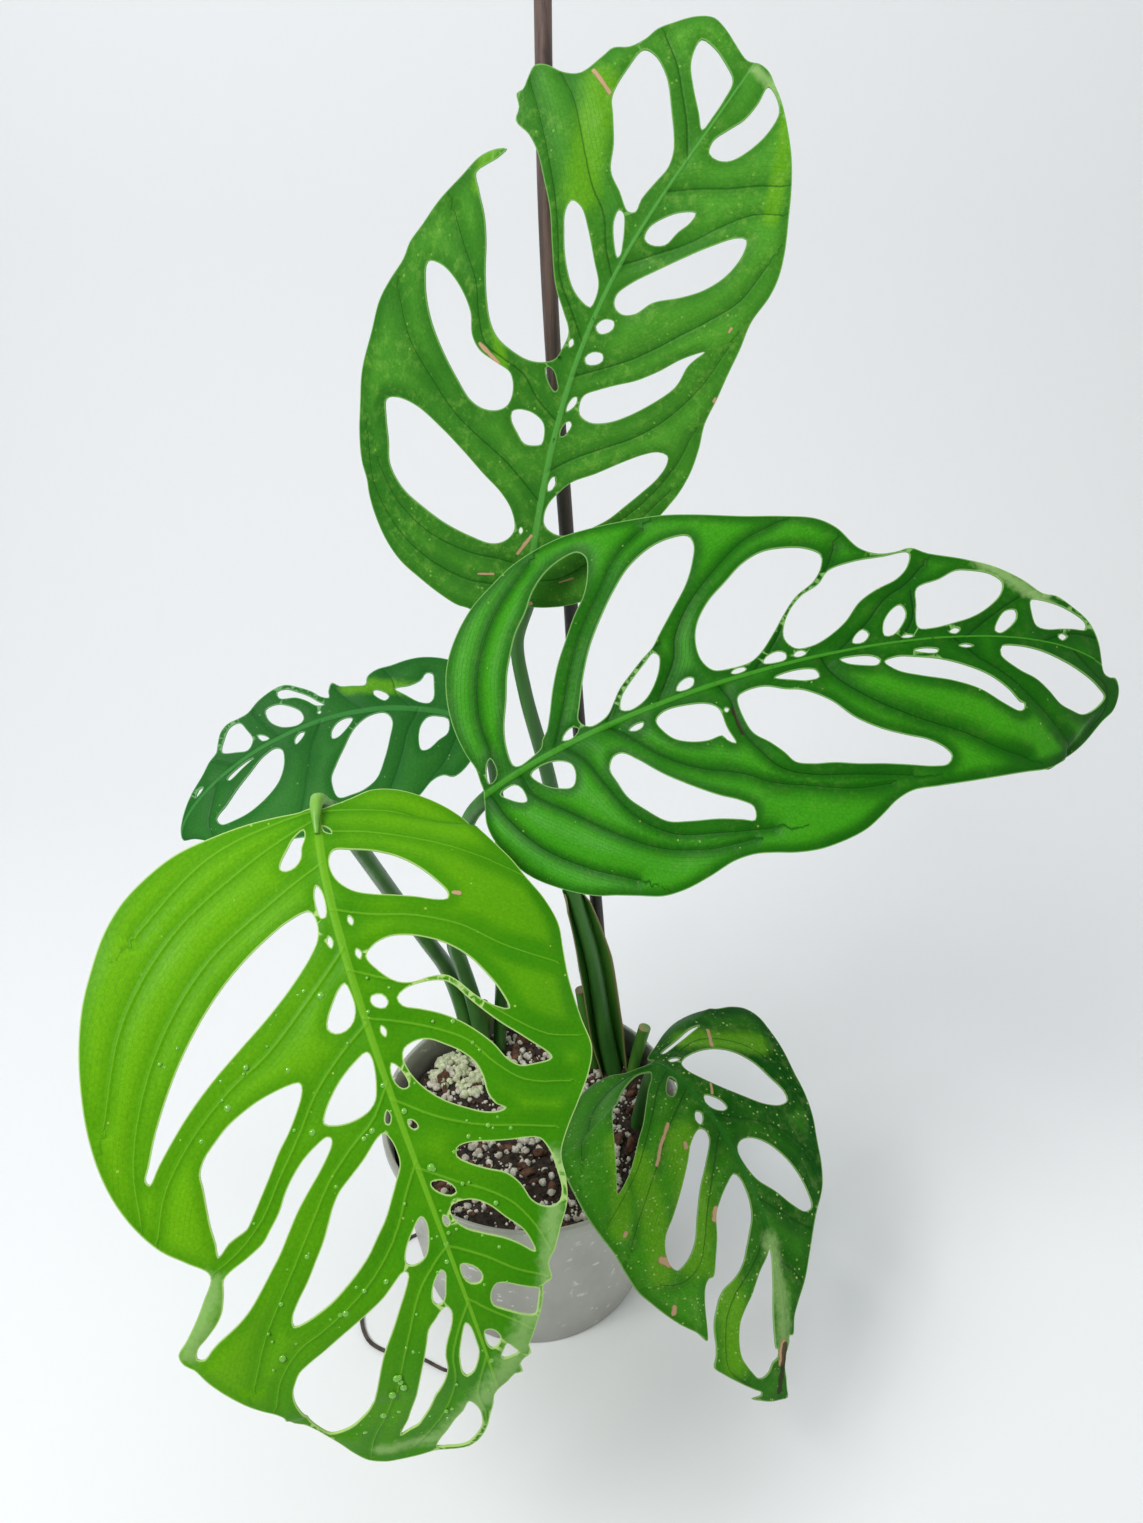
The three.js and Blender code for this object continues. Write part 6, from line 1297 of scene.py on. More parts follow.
@dataclass
class Leaf:
    """A blade with its veins, and its stalk.

    Args:
        shape: the leaf's outline and place.
        palette: where its materials come from.
        cell: size of the blade's mesh cells in millimetres.
        thickness: the blade's thickness.
    """

    shape: LeafShape
    palette: Palette
    cell: float = FINE_CELL
    thickness: float = 0.8

    def __post_init__(self) -> None:
        """Prepares the surface and the veins."""
        self.surface = BladeSurface(self.shape)
        self.vein_lines: list[tuple[list[Vector], KDTree, list[float]]] = []
        for vein in self.shape.veins:
            line = spline(pairs(vein), VEIN_STEP)
            self.vein_lines.append((line, tree_of(line), runs_of(line)))
        every = [(p, n) for n, (line, _, _) in enumerate(self.vein_lines) for p in line]
        self.any_vein = tree_of([p for p, _ in every])
        self.owner = [n for _, n in every]

    def nearest_vein(self, p: Vector) -> int:
        """Finds the vein on the same side that is nearest to a flat point.

        Args:
            p: the flat point.

        Returns:
            The vein's number.
        """
        best = self.owner[self.any_vein.find(p)[1]]
        line = self.vein_lines[best][0]
        if line[-1].y * p.y >= 0 or abs(p.y) < 1.0:
            return best
        same = [(self.vein_lines[n][1].find(p)[2], n) for n in range(len(self.vein_lines))
                if self.vein_lines[n][0][-1].y * p.y > 0]
        return min(same)[1] if same else best

    def to_vein(self, p: Vector, number: int) -> tuple[float, float]:
        """Measures a flat point from a vein.

        Args:
            p: the flat point.
            number: the vein.

        Returns:
            The signed distance to it and the run along it, in millimetres.
        """
        line, tree, runs = self.vein_lines[number]
        _, k, away = tree.find(p)
        a, b = line[max(k - 1, 0)], line[min(k + 1, len(line) - 1)]
        along = b - a
        offset = p - line[k]
        turn = along.x * offset.y - along.y * offset.x
        return math.copysign(away, turn), runs[k]

    def relief_at(self, p: Vector, rim: float) -> float:
        """Gives the blade's relief at a flat point.

        Args:
            p: the flat point.
            rim: its distance from the margin.

        Returns:
            The lift above the plain surface in millimetres.
        """
        away = self.to_vein(p, self.nearest_vein(p))[0]
        groove = -self.shape.relief * math.exp(-((away / GROOVE_HALF) ** 2))
        rib = RIB_RISE * math.exp(-((p.y / RIB_HALF) ** 2)) if 0 < p.x < self.surface.length else 0.0
        quilt = QUILT_RISE * (1 - math.exp(-((away / QUILT_REACH) ** 2)))
        spot = Vector((p.x / SWELL_SIZE, p.y / SWELL_SIZE, 3.0 + self.shape.size))
        swell = SWELL_RISE * noise.noise(spot)
        return (groove + quilt + swell) * min(1.0, rim / RIM_FADE) * min(1.0, abs(p.y) / RIB_FADE) + rib

    def flat_mesh(self) -> bmesh.types.BMesh:
        """Cuts the blade from its outlines and divides it evenly.

        Returns:
            The flat mesh, in millimetres.
        """
        bm = bmesh.new()
        margin = self.shape.margin
        middle = Vector(((max(margin[0::2]) + min(margin[0::2])) / 2,
                         (max(margin[1::2]) + min(margin[1::2])) / 2, 0))
        for loop in (margin, *self.shape.windows):
            outline = spline(pairs(loop), OUTLINE_STEP, closed=True)
            points = [p.lerp(middle, self.shape.inset) for p in outline]
            verts = [bm.verts.new(p) for p in points]
            for a, b in zip(verts, verts[1:] + verts[:1]):
                bm.edges.new((a, b))
        bmesh.ops.triangle_fill(bm, edges=bm.edges[:], use_beauty=True, normal=(0, 0, 1))
        us = [v.co.x for v in bm.verts]
        vs = [v.co.y for v in bm.verts]
        cuts = [(Vector((0, y, 0)), Vector((0, 1, 0))) for y in RIB_CUTS]
        u = min(us) + self.cell
        while u < max(us):
            cuts.append((Vector((u, 0, 0)), Vector((1, 0, 0))))
            u += self.cell
        v = min(vs) + self.cell
        while v < max(vs):
            if abs(v) > RIB_BAND:
                cuts.append((Vector((0, v, 0)), Vector((0, 1, 0))))
            v += self.cell
        for co, no in cuts:
            bmesh.ops.bisect_plane(bm, geom=bm.verts[:] + bm.edges[:] + bm.faces[:], dist=1e-3,
                                   plane_co=co, plane_no=no)
        bmesh.ops.remove_doubles(bm, verts=bm.verts[:], dist=0.02)
        bridges = [e for e in bm.edges if not e.is_boundary and all(v.is_boundary for v in e.verts)]
        bmesh.ops.subdivide_edges(bm, edges=bridges, cuts=1)
        bmesh.ops.triangulate(bm, faces=[f for f in bm.faces if len(f.verts) > 4])
        return bm

    def build_blade(self) -> None:
        """Builds the blade: flat cut, relief, two faces, and its coordinates for the material."""
        bm = self.flat_mesh()
        at_u = bm.verts.layers.float.new("at_u")
        at_v = bm.verts.layers.float.new("at_v")
        rim_layer = bm.verts.layers.float.new("rim")
        under = bm.verts.layers.float.new("under")
        edge_points = []
        for e in bm.edges:
            if e.is_boundary:
                a, b = e.verts[0].co, e.verts[1].co
                edge_points += [a.copy(), a.lerp(b, 0.5)]
        near = tree_of(edge_points)
        relief = bm.verts.layers.float.new("relief")
        for v in bm.verts:
            rim = 0.0 if v.is_boundary else near.find(v.co)[2]
            v[at_u], v[at_v], v[rim_layer], v[under] = v.co.x, v.co.y, rim, 0.0
            v[relief] = self.relief_at(v.co.copy(), rim)
        for face in bm.faces:
            if face.normal.z < 0:
                face.normal_flip()
        upper = bm.faces[:]
        grown = bmesh.ops.extrude_face_region(bm, geom=upper, use_keep_orig=True)["geom"]
        lower = {g for g in grown if isinstance(g, bmesh.types.BMVert)}
        for v in lower:
            v[under] = 1.0
        half = self.thickness / 2
        for v in bm.verts:
            if v in lower:
                lift = v[relief] * UNDER_SHARE
                reach = max(0.15, 1 - v[at_u] / self.surface.length)
                ridge = KEEL_RISE * math.exp(-((v[at_v] / RIB_HALF) ** 2)) * reach
                keel = ridge if v[rim_layer] > 0.4 else 0.0
                v.co = self.surface.place(v[at_u], v[at_v], lift - half - keel)
            else:
                v.co = self.surface.place(v[at_u], v[at_v], v[relief] + half)
        bmesh.ops.recalc_face_normals(bm, faces=bm.faces[:])
        flat_uv = bm.loops.layers.uv.new("flat")
        vein_uv = bm.loops.layers.uv.new("vein")
        known: dict[tuple[float, float, int], tuple[float, float]] = {}
        for face in bm.faces:
            mid = Vector((sum(v[at_u] for v in face.verts), sum(v[at_v] for v in face.verts), 0))
            number = self.nearest_vein(mid / len(face.verts))
            for loop in face.loops:
                u, v = loop.vert[at_u], loop.vert[at_v]
                key = (u, v, number)
                if key not in known:
                    known[key] = self.to_vein(Vector((u, v, 0)), number)
                away, run = known[key]
                loop[flat_uv].uv = (u / FLAT_UNIT, v / FLAT_UNIT)
                loop[vein_uv].uv = (away / VEIN_UNIT, run / FLAT_UNIT)
            if len({v[under] for v in face.verts}) > 1:
                for e in face.edges:
                    if e.verts[0][under] == e.verts[1][under]:
                        e.smooth = False
        make_piece(self.shape.name + "_look", bm, self.palette.leaf(self.shape),
                   self.shape.name)

    def build_stalk(self, material: bpy.types.Material) -> None:
        """Builds the stalk, run on under the midrib.

        Args:
            material: the stalk's material.
        """
        last = self.shape.stalk_radius[-1]
        points = [*self.shape.stalk, *(tuple(self.surface.place(u, 0.001, -last * share))
                                       for u, share in STALK_RUN)]
        radii = [*self.shape.stalk_radius, *(last * share for _, share in STALK_RUN)]
        line = spline(points, LINE_STEP)
        bm = bmesh.new()
        sweep(bm, line, radii_along(points, radii, line))
        make_piece(self.shape.name + "_stalk", bm, material)


# Pot, soil, stems and the rest

POT_RIM_RADIUS, POT_HEIGHT, POT_BASE_RADIUS = 85.0, 121.0, 68.0
POT_WALL, POT_FLOOR, LIP_HEIGHT, LIP_STEP = 1.6, 2.5, 7.0, 2.2
DRAIN_RADIUS, DRAIN_CIRCLE, DRAINS = 4.0, 46.0, 6
SOIL_LEVEL = 104.0


def wall_radius(z: float) -> float:
    """Gives the pot wall's outer radius at a height, both in millimetres."""
    return POT_BASE_RADIUS + (POT_RIM_RADIUS - LIP_STEP - POT_BASE_RADIUS) * z / POT_HEIGHT


@dataclass
class Pot:
    """The nursery pot with its stepped lip and drain holes.

    Args:
        palette: where its material comes from.
        steps: facets around it.
    """

    palette: Palette
    steps: int = 144

    def build(self) -> None:
        """Builds the pot."""
        foot = POT_HEIGHT - LIP_HEIGHT
        disc = 62.0
        outer = [(disc, 0.0), (66.2, 0.0), (67.4, 0.5), (68.1, 1.6), (wall_radius(40), 40),
                 (wall_radius(foot - 1.5), foot - 1.5), (wall_radius(foot) + 0.3, foot - 0.3),
                 (84.2, foot), (84.8, foot + 0.4), (85.0, foot + 1.2), (85.0, POT_HEIGHT - 1.2),
                 (84.7, POT_HEIGHT - 0.35), (84.0, POT_HEIGHT), (82.9, POT_HEIGHT), (82.3, POT_HEIGHT - 0.5),
                 (82.0, POT_HEIGHT - 1.6), (wall_radius(foot) - POT_WALL + 0.3, foot - 1.4),
                 (wall_radius(foot) - POT_WALL, foot - 3), (67.2, 5.0), (66.0, 3.0), (64.5, POT_FLOOR),
                 (disc, POT_FLOOR)]
        bm = bmesh.new()
        revolve(bm, outer, self.steps, 0.01)
        turns = [(k + 0.5) / DRAINS * 2 * math.pi for k in range(DRAINS)]
        centres = [Vector((DRAIN_CIRCLE * math.cos(a), DRAIN_CIRCLE * math.sin(a))) for a in turns]
        for level in (0.0, POT_FLOOR):
            ring = [e for e in bm.edges if e.is_boundary and all(
                abs(v.co.z - level) < 1e-3 and abs(v.co.xy.length - disc) < 0.1 for v in e.verts)]
            holes = []
            for centre in centres:
                at = Matrix.Translation((*centre, level))
                made = bmesh.ops.create_circle(bm, segments=24, radius=DRAIN_RADIUS, matrix=at)["verts"]
                holes += list({e for v in made for e in v.link_edges})
            bmesh.ops.triangle_fill(bm, edges=ring + holes, use_beauty=True, normal=(0, 0, 1))
        open_edges = [e for e in bm.edges if e.is_boundary]
        for centre in centres:
            mine = [e for e in open_edges if (e.verts[0].co.xy - centre).length < DRAIN_RADIUS + 0.5]
            bmesh.ops.bridge_loops(bm, edges=mine)
        bmesh.ops.recalc_face_normals(bm, faces=bm.faces[:])
        bm.normal_update()
        for e in bm.edges:
            if len(e.link_faces) == 2 and e.calc_face_angle() > math.radians(50):
                e.smooth = False
        # Marks the inner wall for painted shade.
        inner = bm.verts.layers.float.new("inner")
        for v in bm.verts:
            depth = wall_radius(v.co.z) - v.co.xy.length
            v[inner] = 0.72 if POT_FLOOR < v.co.z < foot - 1 and depth > 0.8 else 0.0
        make_piece("pot_look", bm, self.palette.plain(POT_GREY), "pot")


@dataclass(frozen=True)
class GrainBatch:
    """One kind of loose grain.

    Args:
        kind: the kind of grain.
        count: how many.
        low: the smallest radius.
        high: the largest radius.
        finish: its material.
    """

    kind: Grain
    count: int
    low: float
    high: float
    finish: Finish


BATCHES = (
    GrainBatch(Grain.PERLITE, 1650, 0.6, 2.7,
               Finish("perlite", (0.4, 0.36, 0.3), (0.72, 0.69, 0.61), (0.25, 0.19, 0.14), amount=0.4,
                      roughness=0.85)),
    GrainBatch(Grain.CLUMP, 180, 1.5, 3.5,
               Finish("clump", (0.42, 0.46, 0.28), (0.7, 0.73, 0.52), (0.25, 0.2, 0.1), amount=0.3,
                      roughness=0.8)),
    GrainBatch(Grain.BARK, 150, 1.8, 6.0,
               Finish("bark", (0.045, 0.018, 0.01), (0.17, 0.07, 0.035), (0.3, 0.2, 0.12), amount=0.15,
                      roughness=0.8)),
    GrainBatch(Grain.CRUMB, 1100, 0.7, 2.0,
               Finish("crumb", (0.012, 0.008, 0.006), (0.06, 0.038, 0.025), (0.2, 0.15, 0.1), amount=0.1,
                      roughness=0.95)),
)
SCATTER_REACH = 75.5  # how far from the middle a grain is drawn
GRAIN_REACH = 77.4  # how far from the middle a grain may reach
SMALL_BIAS = 2.2  # above 1, more grains are small
GRAIN_LIFT = 0.35  # share of its half height by which a grain's centre lies above the soil
FEW_FACETS = 1.1  # radius below which a grain has fewer facets
THIN_BELOW, THIN_SHARE = -0.2, 0.6  # noise below which perlite is thinned, and by what share
CLUMP_X, CLUMP_Y = -38, 44  # middle of the pale clump
CLUMP_ACROSS, CLUMP_DEEP = 0.34, 0.3  # its size, as shares of the whole surface's
HEAP_X, HEAP_Y, HEAP_HEIGHT = 26, 23, 4.5  # half sizes and height of its heap


@dataclass
class Soil:
    """The soil's uneven top, its buried body and its loose grains.

    Args:
        palette: where its materials come from.
        stems: where stems stand, as x, y and radius.
        seed: the start of the random draws.
    """

    palette: Palette
    stems: Sequence[Triple]
    seed: int = 71

    def height(self, x: float, y: float) -> float:
        """Gives the height of the soil's top.

        Args:
            x: across, in millimetres.
            y: back, in millimetres.

        Returns:
            The height in millimetres.
        """
        wide = 1.6 * math.sin(x / 9 + 1) * math.cos(y / 7) + math.sin((x - y) / 5)
        p = Vector((x, y, 0))
        fine = 1.3 * noise.noise(p / 5) + 0.7 * noise.noise(p / 2.1)
        return SOIL_LEVEL + 0.75 * wide + fine

    def build_body(self) -> None:
        """Builds the soil's body with its relief."""
        bm = bmesh.new()
        rings = [(0.0, 2.9), (67.0, 2.9), (wall_radius(SOIL_LEVEL) - 2.4, SOIL_LEVEL - 3),
                 (wall_radius(SOIL_LEVEL) - 2.6, SOIL_LEVEL - 1.2)]
        rings += [(76.5 - 1.5 * k, SOIL_LEVEL) for k in range(51)] + [(0.0, SOIL_LEVEL)]
        revolve(bm, rings, 200, 0.005)
        for v in bm.verts:
            if v.co.z > SOIL_LEVEL - 0.5:
                v.co.z = self.height(v.co.x, v.co.y)
        bmesh.ops.recalc_face_normals(bm, faces=bm.faces[:])
        make_piece("soil_look", bm, self.palette.plain(SOIL_DARK), "soil")

    def free(self, x: float, y: float, size: float) -> bool:
        """Tells whether a grain of that radius fits clear of the stems."""
        return all(math.hypot(x - sx, y - sy) > r + size + 0.4 for sx, sy, r in self.stems)

    def lump(self, bm: bmesh.types.BMesh, at: Vector, size: Vector, rng: random.Random, rough: float,
             level: int = 2) -> None:
        """Adds one uneven grain.

        Args:
            bm: the mesh to build in.
            at: its centre.
            size: its half sizes.
            rng: the seeded source.
            rough: how uneven it is.
            level: how finely it is divided.
        """
        verts = bmesh.ops.create_icosphere(bm, subdivisions=level, radius=1.0)["verts"]
        offset = Vector((rng.uniform(0, 99), rng.uniform(0, 99), rng.uniform(0, 99)))
        turn = Matrix.Rotation(rng.uniform(0, 6.3), 3, (rng.uniform(-1, 1), rng.uniform(-1, 1), 1.0))
        for v in verts:
            bulge = 1 + rough * noise.noise(v.co * 1.4 + offset)
            v.co = at + turn @ Vector((v.co.x * size.x, v.co.y * size.y, v.co.z * size.z)) * bulge

    def scatter(self, batch: GrainBatch) -> None:
        """Scatters one kind of grain over the soil.

        Args:
            batch: the kind, number, sizes and material.
        """
        kind = batch.kind
        rng = random.Random(self.seed + batch.count)
        bm = bmesh.new()
        placed = 0
        while placed < batch.count:
            r, a = SCATTER_REACH * math.sqrt(rng.random()), rng.uniform(0, 2 * math.pi)
            x, y = r * math.cos(a), r * math.sin(a)
            if kind is Grain.CLUMP:
                x, y = CLUMP_X + CLUMP_ACROSS * x, CLUMP_Y + CLUMP_DEEP * y
                r = math.hypot(x, y)
            size = batch.low + (batch.high - batch.low) * rng.random() ** SMALL_BIAS
            if r + size > GRAIN_REACH or not self.free(x, y, size):
                continue
            spot = noise.noise(Vector((x / 26, y / 26, 9.0)))
            if kind is Grain.PERLITE and spot < THIN_BELOW and rng.random() < THIN_SHARE:
                continue
            if kind is Grain.BARK:
                half = Vector((size, size * rng.uniform(0.5, 0.8), size * rng.uniform(0.3, 0.55)))
            else:
                half = Vector((size, size * rng.uniform(0.75, 1), size * rng.uniform(0.7, 0.95)))
            heap = 0.0
            if kind is Grain.CLUMP:
                away = math.hypot((x - CLUMP_X) / HEAP_X, (y - CLUMP_Y) / HEAP_Y)
                heap = rng.random() * HEAP_HEIGHT * max(0.0, 1 - away)
            z = self.height(x, y) + half.z * GRAIN_LIFT + heap
            self.lump(bm, Vector((x, y, z)), half, rng, 0.5 if kind is Grain.BARK else 0.35,
                      1 if kind is Grain.CRUMB or size < FEW_FACETS else 2)
            placed += 1
        make_piece("soil_" + kind.value, bm, self.palette.plain(batch.finish))

    def build(self) -> None:
        """Builds the soil and its grains."""
        self.build_body()
        for batch in BATCHES:
            self.scatter(batch)


@dataclass(frozen=True)
class Rod:
    """A round piece along a line.

    Args:
        name: the piece's name, without its ending.
        slot: the record's material slot; not used.
        finish: its material.
        path: its centre line.
        radius: its radius at each point.
        sides: corners of its section.
        stands_for: whether it takes the place of the solid of that name.
    """

    name: str
    slot: str
    finish: Finish
    path: Sequence[Triple]
    radius: Sequence[float]
    sides: int = 20
    stands_for: bool = True

    def build(self, palette: Palette) -> None:
        """Builds the piece.

        Args:
            palette: where its material comes from.
        """
        line = spline(self.path, LINE_STEP)
        bm = bmesh.new()
        sweep(bm, line, radii_along(self.path, self.radius, line), self.sides)
        for e in bm.edges:
            if any(len(f.verts) > 4 for f in e.link_faces):
                e.smooth = False
        make_piece(self.name + "_look", bm, palette.plain(self.finish),
                   self.name if self.stands_for else None)


SHEATH_TURN = math.radians(125)  # how far the sheath wraps to each side
SHEATH_GAP, SHEATH_WALL = 0.25, 0.7  # its distance from the stalk and its thickness
WING_START, WING_CURVE, WING_RISE = 0.45, 1.5, 1.9  # where its wings leave the stalk, and how
FLARE_START, FLARE = 0.5, 0.9  # where they turn sideways, and how much
PALE_START, PALE_WIDTH = 0.86, 0.14  # where their pale margin begins, and its width


@dataclass(frozen=True)
class Sheath:
    """The winged sheath that clasps the foot of a stalk.

    Args:
        path: the stalk's centre line where it is clasped.
        radius: the stalk's radius there.
        wide: how far the wings stand out at each point.
        facing: the direction the open side faces.
    """

    path: Sequence[Triple]
    radius: Sequence[float]
    wide: Sequence[float]
    facing: Triple

    def build(self, palette: Palette) -> None:
        """Builds the sheath.

        Args:
            palette: where its material comes from.
        """
        line = spline(self.path, LINE_STEP)
        radii = radii_along(self.path, self.radius, line)
        wings = radii_along(self.path, self.wide, line)
        bm = bmesh.new()
        margin = bm.verts.layers.float.new("margin")
        spread = [-1 + 2 * k / 16 for k in range(17)]
        row = [bm.verts.new((0, 0, 0)) for _ in spread]
        edges = [bm.edges.new(pair) for pair in zip(row, row[1:])]
        for i, at in enumerate(line):
            if i:
                row, edges = extrude_row(bm, row, edges)
            turn = (line[min(i + 1, len(line) - 1)] - line[max(i - 1, 0)]).normalized()
            face = Vector(self.facing)
            face = (face - turn * face.dot(turn)).normalized()
            side = turn.cross(face)
            for v, s in zip(row, spread):
                angle = s * SHEATH_TURN
                wing = max(0.0, abs(s) - WING_START) ** WING_CURVE
                r = radii[i] + SHEATH_GAP + wings[i] * wing * WING_RISE
                away = -face * math.cos(angle) + side * math.sin(angle)
                flare = math.copysign(wings[i] * max(0.0, abs(s) - FLARE_START), s)
                v.co = at + away * r + side * flare * FLARE
                v[margin] = max(0.0, (abs(s) - PALE_START) / PALE_WIDTH)
        bmesh.ops.solidify(bm, geom=bm.faces[:], thickness=SHEATH_WALL)
        bmesh.ops.recalc_face_normals(bm, faces=bm.faces[:])
        make_piece("sheath", bm, palette.plain(SHEATH_GREEN))


DROP_U, DROP_V = (70, 250), (-40, 72)  # the part of the blade drops are drawn on
DROP_SMALL, DROP_GROWTH, DROP_BIAS = 0.55, 1.0, 2.5  # smallest radius, the rest, and how few are large
DROP_CLEAR, DROP_HEIGHT = 1.6, 0.62  # distance to an edge and height, as shares of the radius


@dataclass
class Drops:
    """Water drops on a blade.

    Args:
        leaf: the leaf they sit on.
        palette: where their material comes from.
        count: how many.
        seed: the start of the random draws.
    """

    leaf: Leaf
    palette: Palette
    count: int = 120
    seed: int = 5

    def inside(self, u: float, v: float, loop: Flat) -> bool:
        """Tells whether a flat point lies inside an outline.

        Args:
            u: along the midrib.
            v: to the side.
            loop: the outline.

        Returns:
            True if it is inside.
        """
        odd = False
        points = pairs(loop)
        for (a, b), (c, d) in zip(points, points[1:] + points[:1]):
            if (b > v) != (d > v) and u < a + (v - b) / (d - b) * (c - a):
                odd = not odd
        return odd

    def build(self) -> None:
        """Builds the drops."""
        rng = random.Random(self.seed)
        bm = bmesh.new()
        shape, surface = self.leaf.shape, self.leaf.surface
        made = 0
        while made < self.count:
            u, v = rng.uniform(*DROP_U), rng.uniform(*DROP_V)
            size = DROP_SMALL + DROP_GROWTH * rng.random() ** DROP_BIAS
            clear = DROP_CLEAR * size
            around = [(u + clear * math.cos(a), v + clear * math.sin(a)) for a in range(6)]
            if not all(self.inside(*p, shape.margin) for p in around) or any(
                    self.inside(*p, w) for p in around for w in shape.windows):
                continue
            base = surface.place(u, v, 0.3)
            out = (surface.place(u, v, 1.3) - base).normalized()
            turn = Vector((0, 0, 1)).rotation_difference(out).to_matrix().to_4x4()
            spot = Matrix.Translation(base) @ turn @ Matrix.Diagonal((size, size, size * DROP_HEIGHT, 1))
            bmesh.ops.create_icosphere(bm, subdivisions=2, radius=1.0, matrix=spot)
            made += 1
        make_piece("water_drops", bm, self.palette.water())


@dataclass(frozen=True)
class Studio:
    """The floor, the light and the camera.

    Args:
        eye: where the camera stands, in metres.
        pitch: degrees it is turned up from looking straight down.
        lens: its focal length in millimetres.
    """

    eye: Triple = (0.023, -0.442, 0.608)
    pitch: float = 59.5
    lens: float = 26.0

    def sheet(self) -> None:
        """Makes the pale floor that turns up into a wall."""
        bm = bmesh.new()
        turns = [math.radians(6 * k) for k in range(1, 16)]
        profile = [(-2.4, 0.0), (0.5, 0.0),
                   *((0.5 + 0.5 * math.sin(a), 0.5 - 0.5 * math.cos(a)) for a in turns), (1.0, 2.6)]
        verts = [bm.verts.new((-3.0, y, z)) for y, z in profile]
        edges = [bm.edges.new(pair) for pair in zip(verts, verts[1:])]
        grown = bmesh.ops.extrude_edge_only(bm, edges=edges)["geom"]
        for g in grown:
            if isinstance(g, bmesh.types.BMVert):
                g.co.x = 3.0
        bmesh.ops.recalc_face_normals(bm, faces=bm.faces[:])
        material, shader = new_material("floor pale")
        shader.inputs["Base Color"].default_value = (0.86, 0.88, 0.9, 1.0)
        shader.inputs["Roughness"].default_value = 0.75
        floor = link_mesh("floor", bm, material)

    def area(self, name: str, at: Triple, toward: Triple, size: float, power: float, tint: Color) -> None:
        """Adds a soft light.

        Args:
            name: its name.
            at: where it stands, in metres.
            toward: the point it faces.
            size: its side in metres.
            power: its power in watts.
            tint: its colour.
        """
        data = bpy.data.lights.new(name, "AREA")
        data.shape = "SQUARE"
        data.size = size
        data.energy = power
        data.color = tint
        lamp = bpy.data.objects.new(name, data)
        lamp.location = at
        aim = Vector(toward) - Vector(at)
        lamp.rotation_euler = aim.to_track_quat("-Z", "Y").to_euler()
        bpy.context.scene.collection.objects.link(lamp)

    def build(self) -> None:
        """Sets the floor, the lights, the sky and the camera."""
        self.sheet()
        self.area("key", (-0.85, -0.75, 1.6), (0, 0, 0.3), 0.7, 24.0, (1.0, 0.99, 0.97))
        self.area("fill", (1.5, -0.4, 1.0), (0, 0, 0.3), 1.3, 6.0, (1.0, 0.96, 0.86))
        self.area("top", (0.1, 0.3, 2.0), (0, 0, 0.2), 1.2, 5.0, (0.95, 0.98, 1.0))
        bpy.context.scene.view_settings.view_transform = "Standard"
        world = bpy.data.worlds.new("sky")
        world.use_nodes = True
        back = next(n for n in world.node_tree.nodes if n.type == "BACKGROUND")
        back.inputs[0].default_value = (0.93, 0.96, 1.0, 1.0)
        back.inputs[1].default_value = 0.3
        bpy.context.scene.world = world
        data = bpy.data.cameras.new("camera")
        data.lens = self.lens
        camera = bpy.data.objects.new("camera", data)
        camera.location = self.eye
        camera.rotation_euler = (math.radians(self.pitch), 0, 0)
        bpy.context.scene.collection.objects.link(camera)
        bpy.context.scene.camera = camera


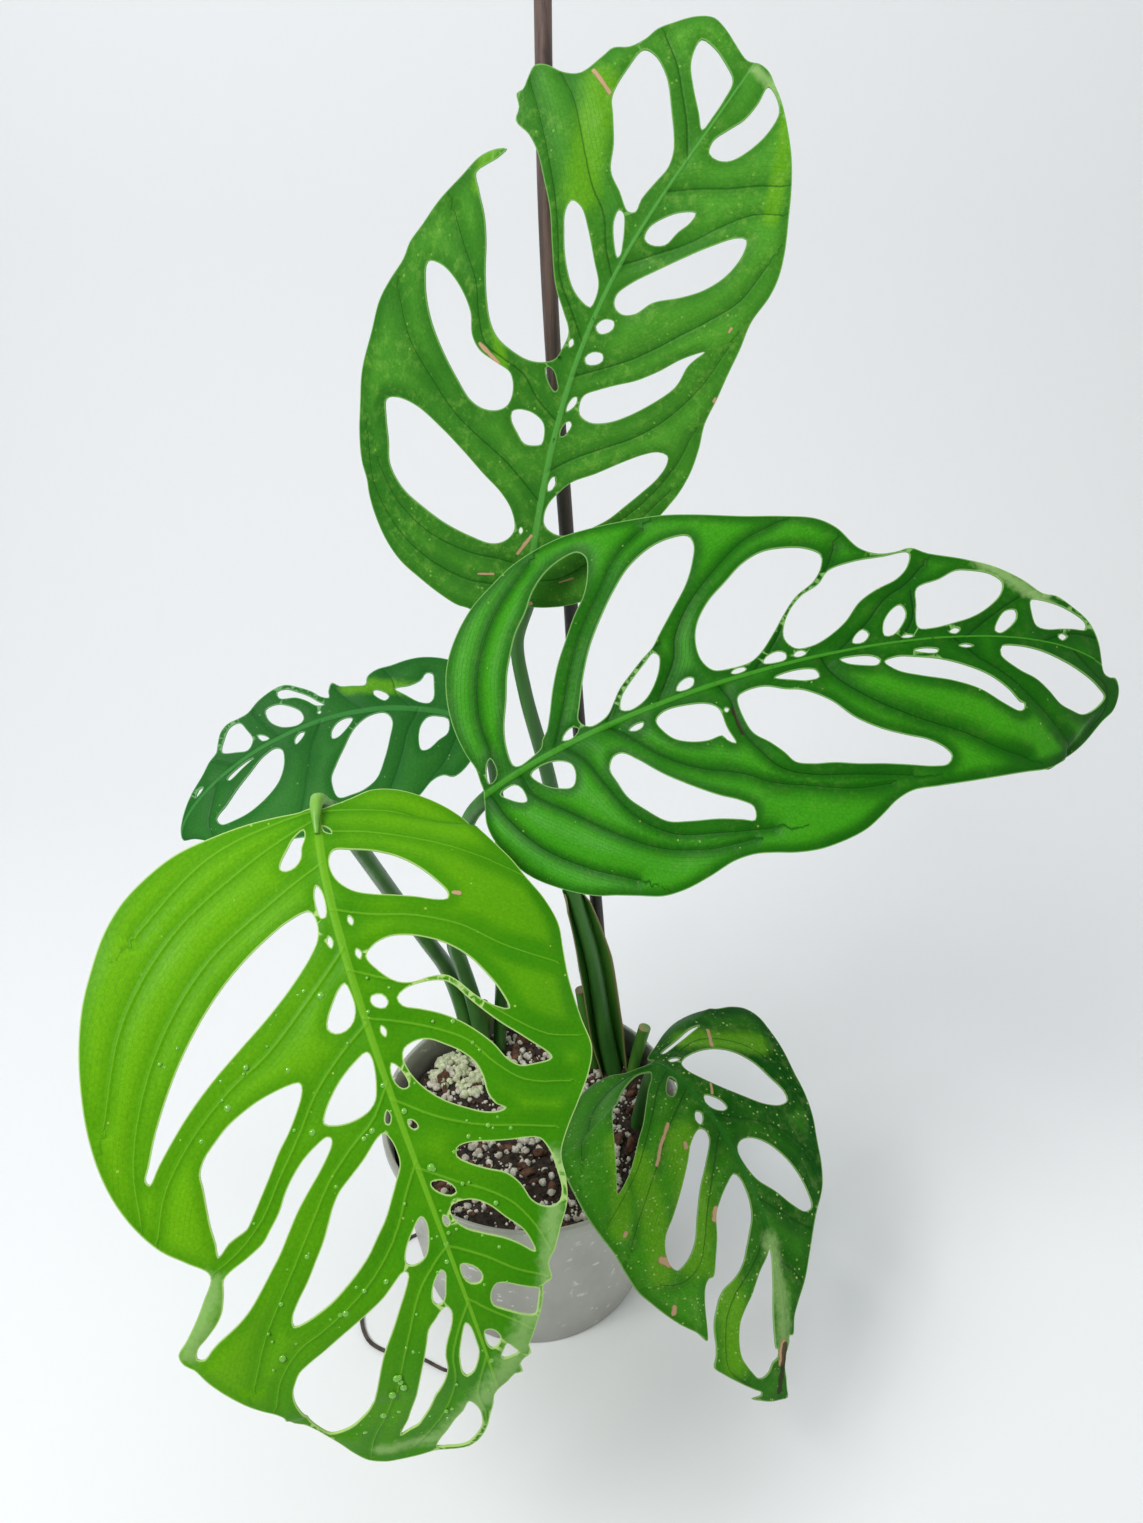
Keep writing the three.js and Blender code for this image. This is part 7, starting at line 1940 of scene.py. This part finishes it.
CROWN_SHOOT = Rod("crown_shoot", "shoot", SHOOT_GREEN,
                  ((-32, 66, 90), (-32, 66, 104), (-31, 64, 122), (-31, 62.5, 134), (-31, 62, 140)),
                  (3.4, 3.4, 3.9, 4.6, 3.2))
CUT_STEM = Rod("cut_stem", "stem", CUT_GREEN,
               ((38.4, 47.8, 90), (36.6, 48, 104), (32.4, 49, 135), (28.6, 49.6, 162)),
               (3.7, 3.7, 3.6, 3.6))
CUT_STUB = Rod("cut_stub", "stem", STUB_GREEN,
               ((59.5, 39, 90), (60, 39.4, 104), (63, 40.5, 122), (66.5, 41, 140)),
               (3.2, 3.3, 3.5, 3.7))
STAKE = Rod("stake", "stake_brown", STAKE_BROWN,
            ((42, 51, 50), (45, 57.5, 104), (38.5, 57, 203), (25.5, 57, 353), (20.9, 56.5, 435),
             (15, 58, 520), (12.6, 60, 578), (12.2, 64, 617), (11.9, 72, 667.8)), (3.5,) * 9, 28)
SHEATH = Sheath(((49, 41.5, 96), (48, 42, 104), (43, 46.5, 131), (35, 48, 188), (26, 46, 228),
                 (22, 45, 240)),
                (5.4, 5.4, 5.2, 4.5, 4.2, 4.1), (2.6, 3.2, 5.6, 6.0, 3.4, 0.3), (0.25, -0.9, 0.35))
KNUCKLE = Rod("knuckle", "stem", KNUCKLE_GREEN,
              ((-72, -68, 360), (-74, -77, 372.5), (-75, -84, 380), (-74.4, -91, 379), (-73, -99, 374.5)),
              (3.4, 3.3, 2.8, 2.0, 0.8), stands_for=False)
DRY_ROOT = Rod("dry_root", "dry_root", ROOT_BROWN,
               ((-69.1, 5, 1.4), (-81, -2, 1.4), (-93, -24, 1.4), (-100, -50, 1.4), (-94, -66, 1.4),
                (-83, -73, 1.4), (-63, -77, 1.4), (-48, -84, 1.4), (-38, -86, 1.4)),
               (0.9, 1.1, 1.1, 1.1, 1.1, 1.1, 1, 0.9, 0.7), 10)


def main() -> None:
    logging.basicConfig(level=logging.INFO, format="%(name)s %(message)s")
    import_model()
    palette = Palette()
    stalk_green = palette.plain(STALK_GREEN)
    leaves = [Leaf(shape, palette, FINE_CELL) for shape in LEAVES]
    for leaf in leaves:
        leaf.build_blade()
        leaf.build_stalk(stalk_green)
    for piece in (CROWN_SHOOT, CUT_STEM, CUT_STUB, STAKE, DRY_ROOT, SHEATH, KNUCKLE):
        piece.build(palette)
    Pot(palette).build()
    stems = [(*shape.stalk[1][:2], shape.stalk_radius[1]) for shape in LEAVES]
    stems += [(*rod.path[1][:2], rod.radius[1]) for rod in (CROWN_SHOOT, CUT_STEM, CUT_STUB, STAKE)]
    Soil(palette, stems).build()
    Drops(leaves[0], palette).build()
    Studio().build()


if __name__ == "__main__":
    main()
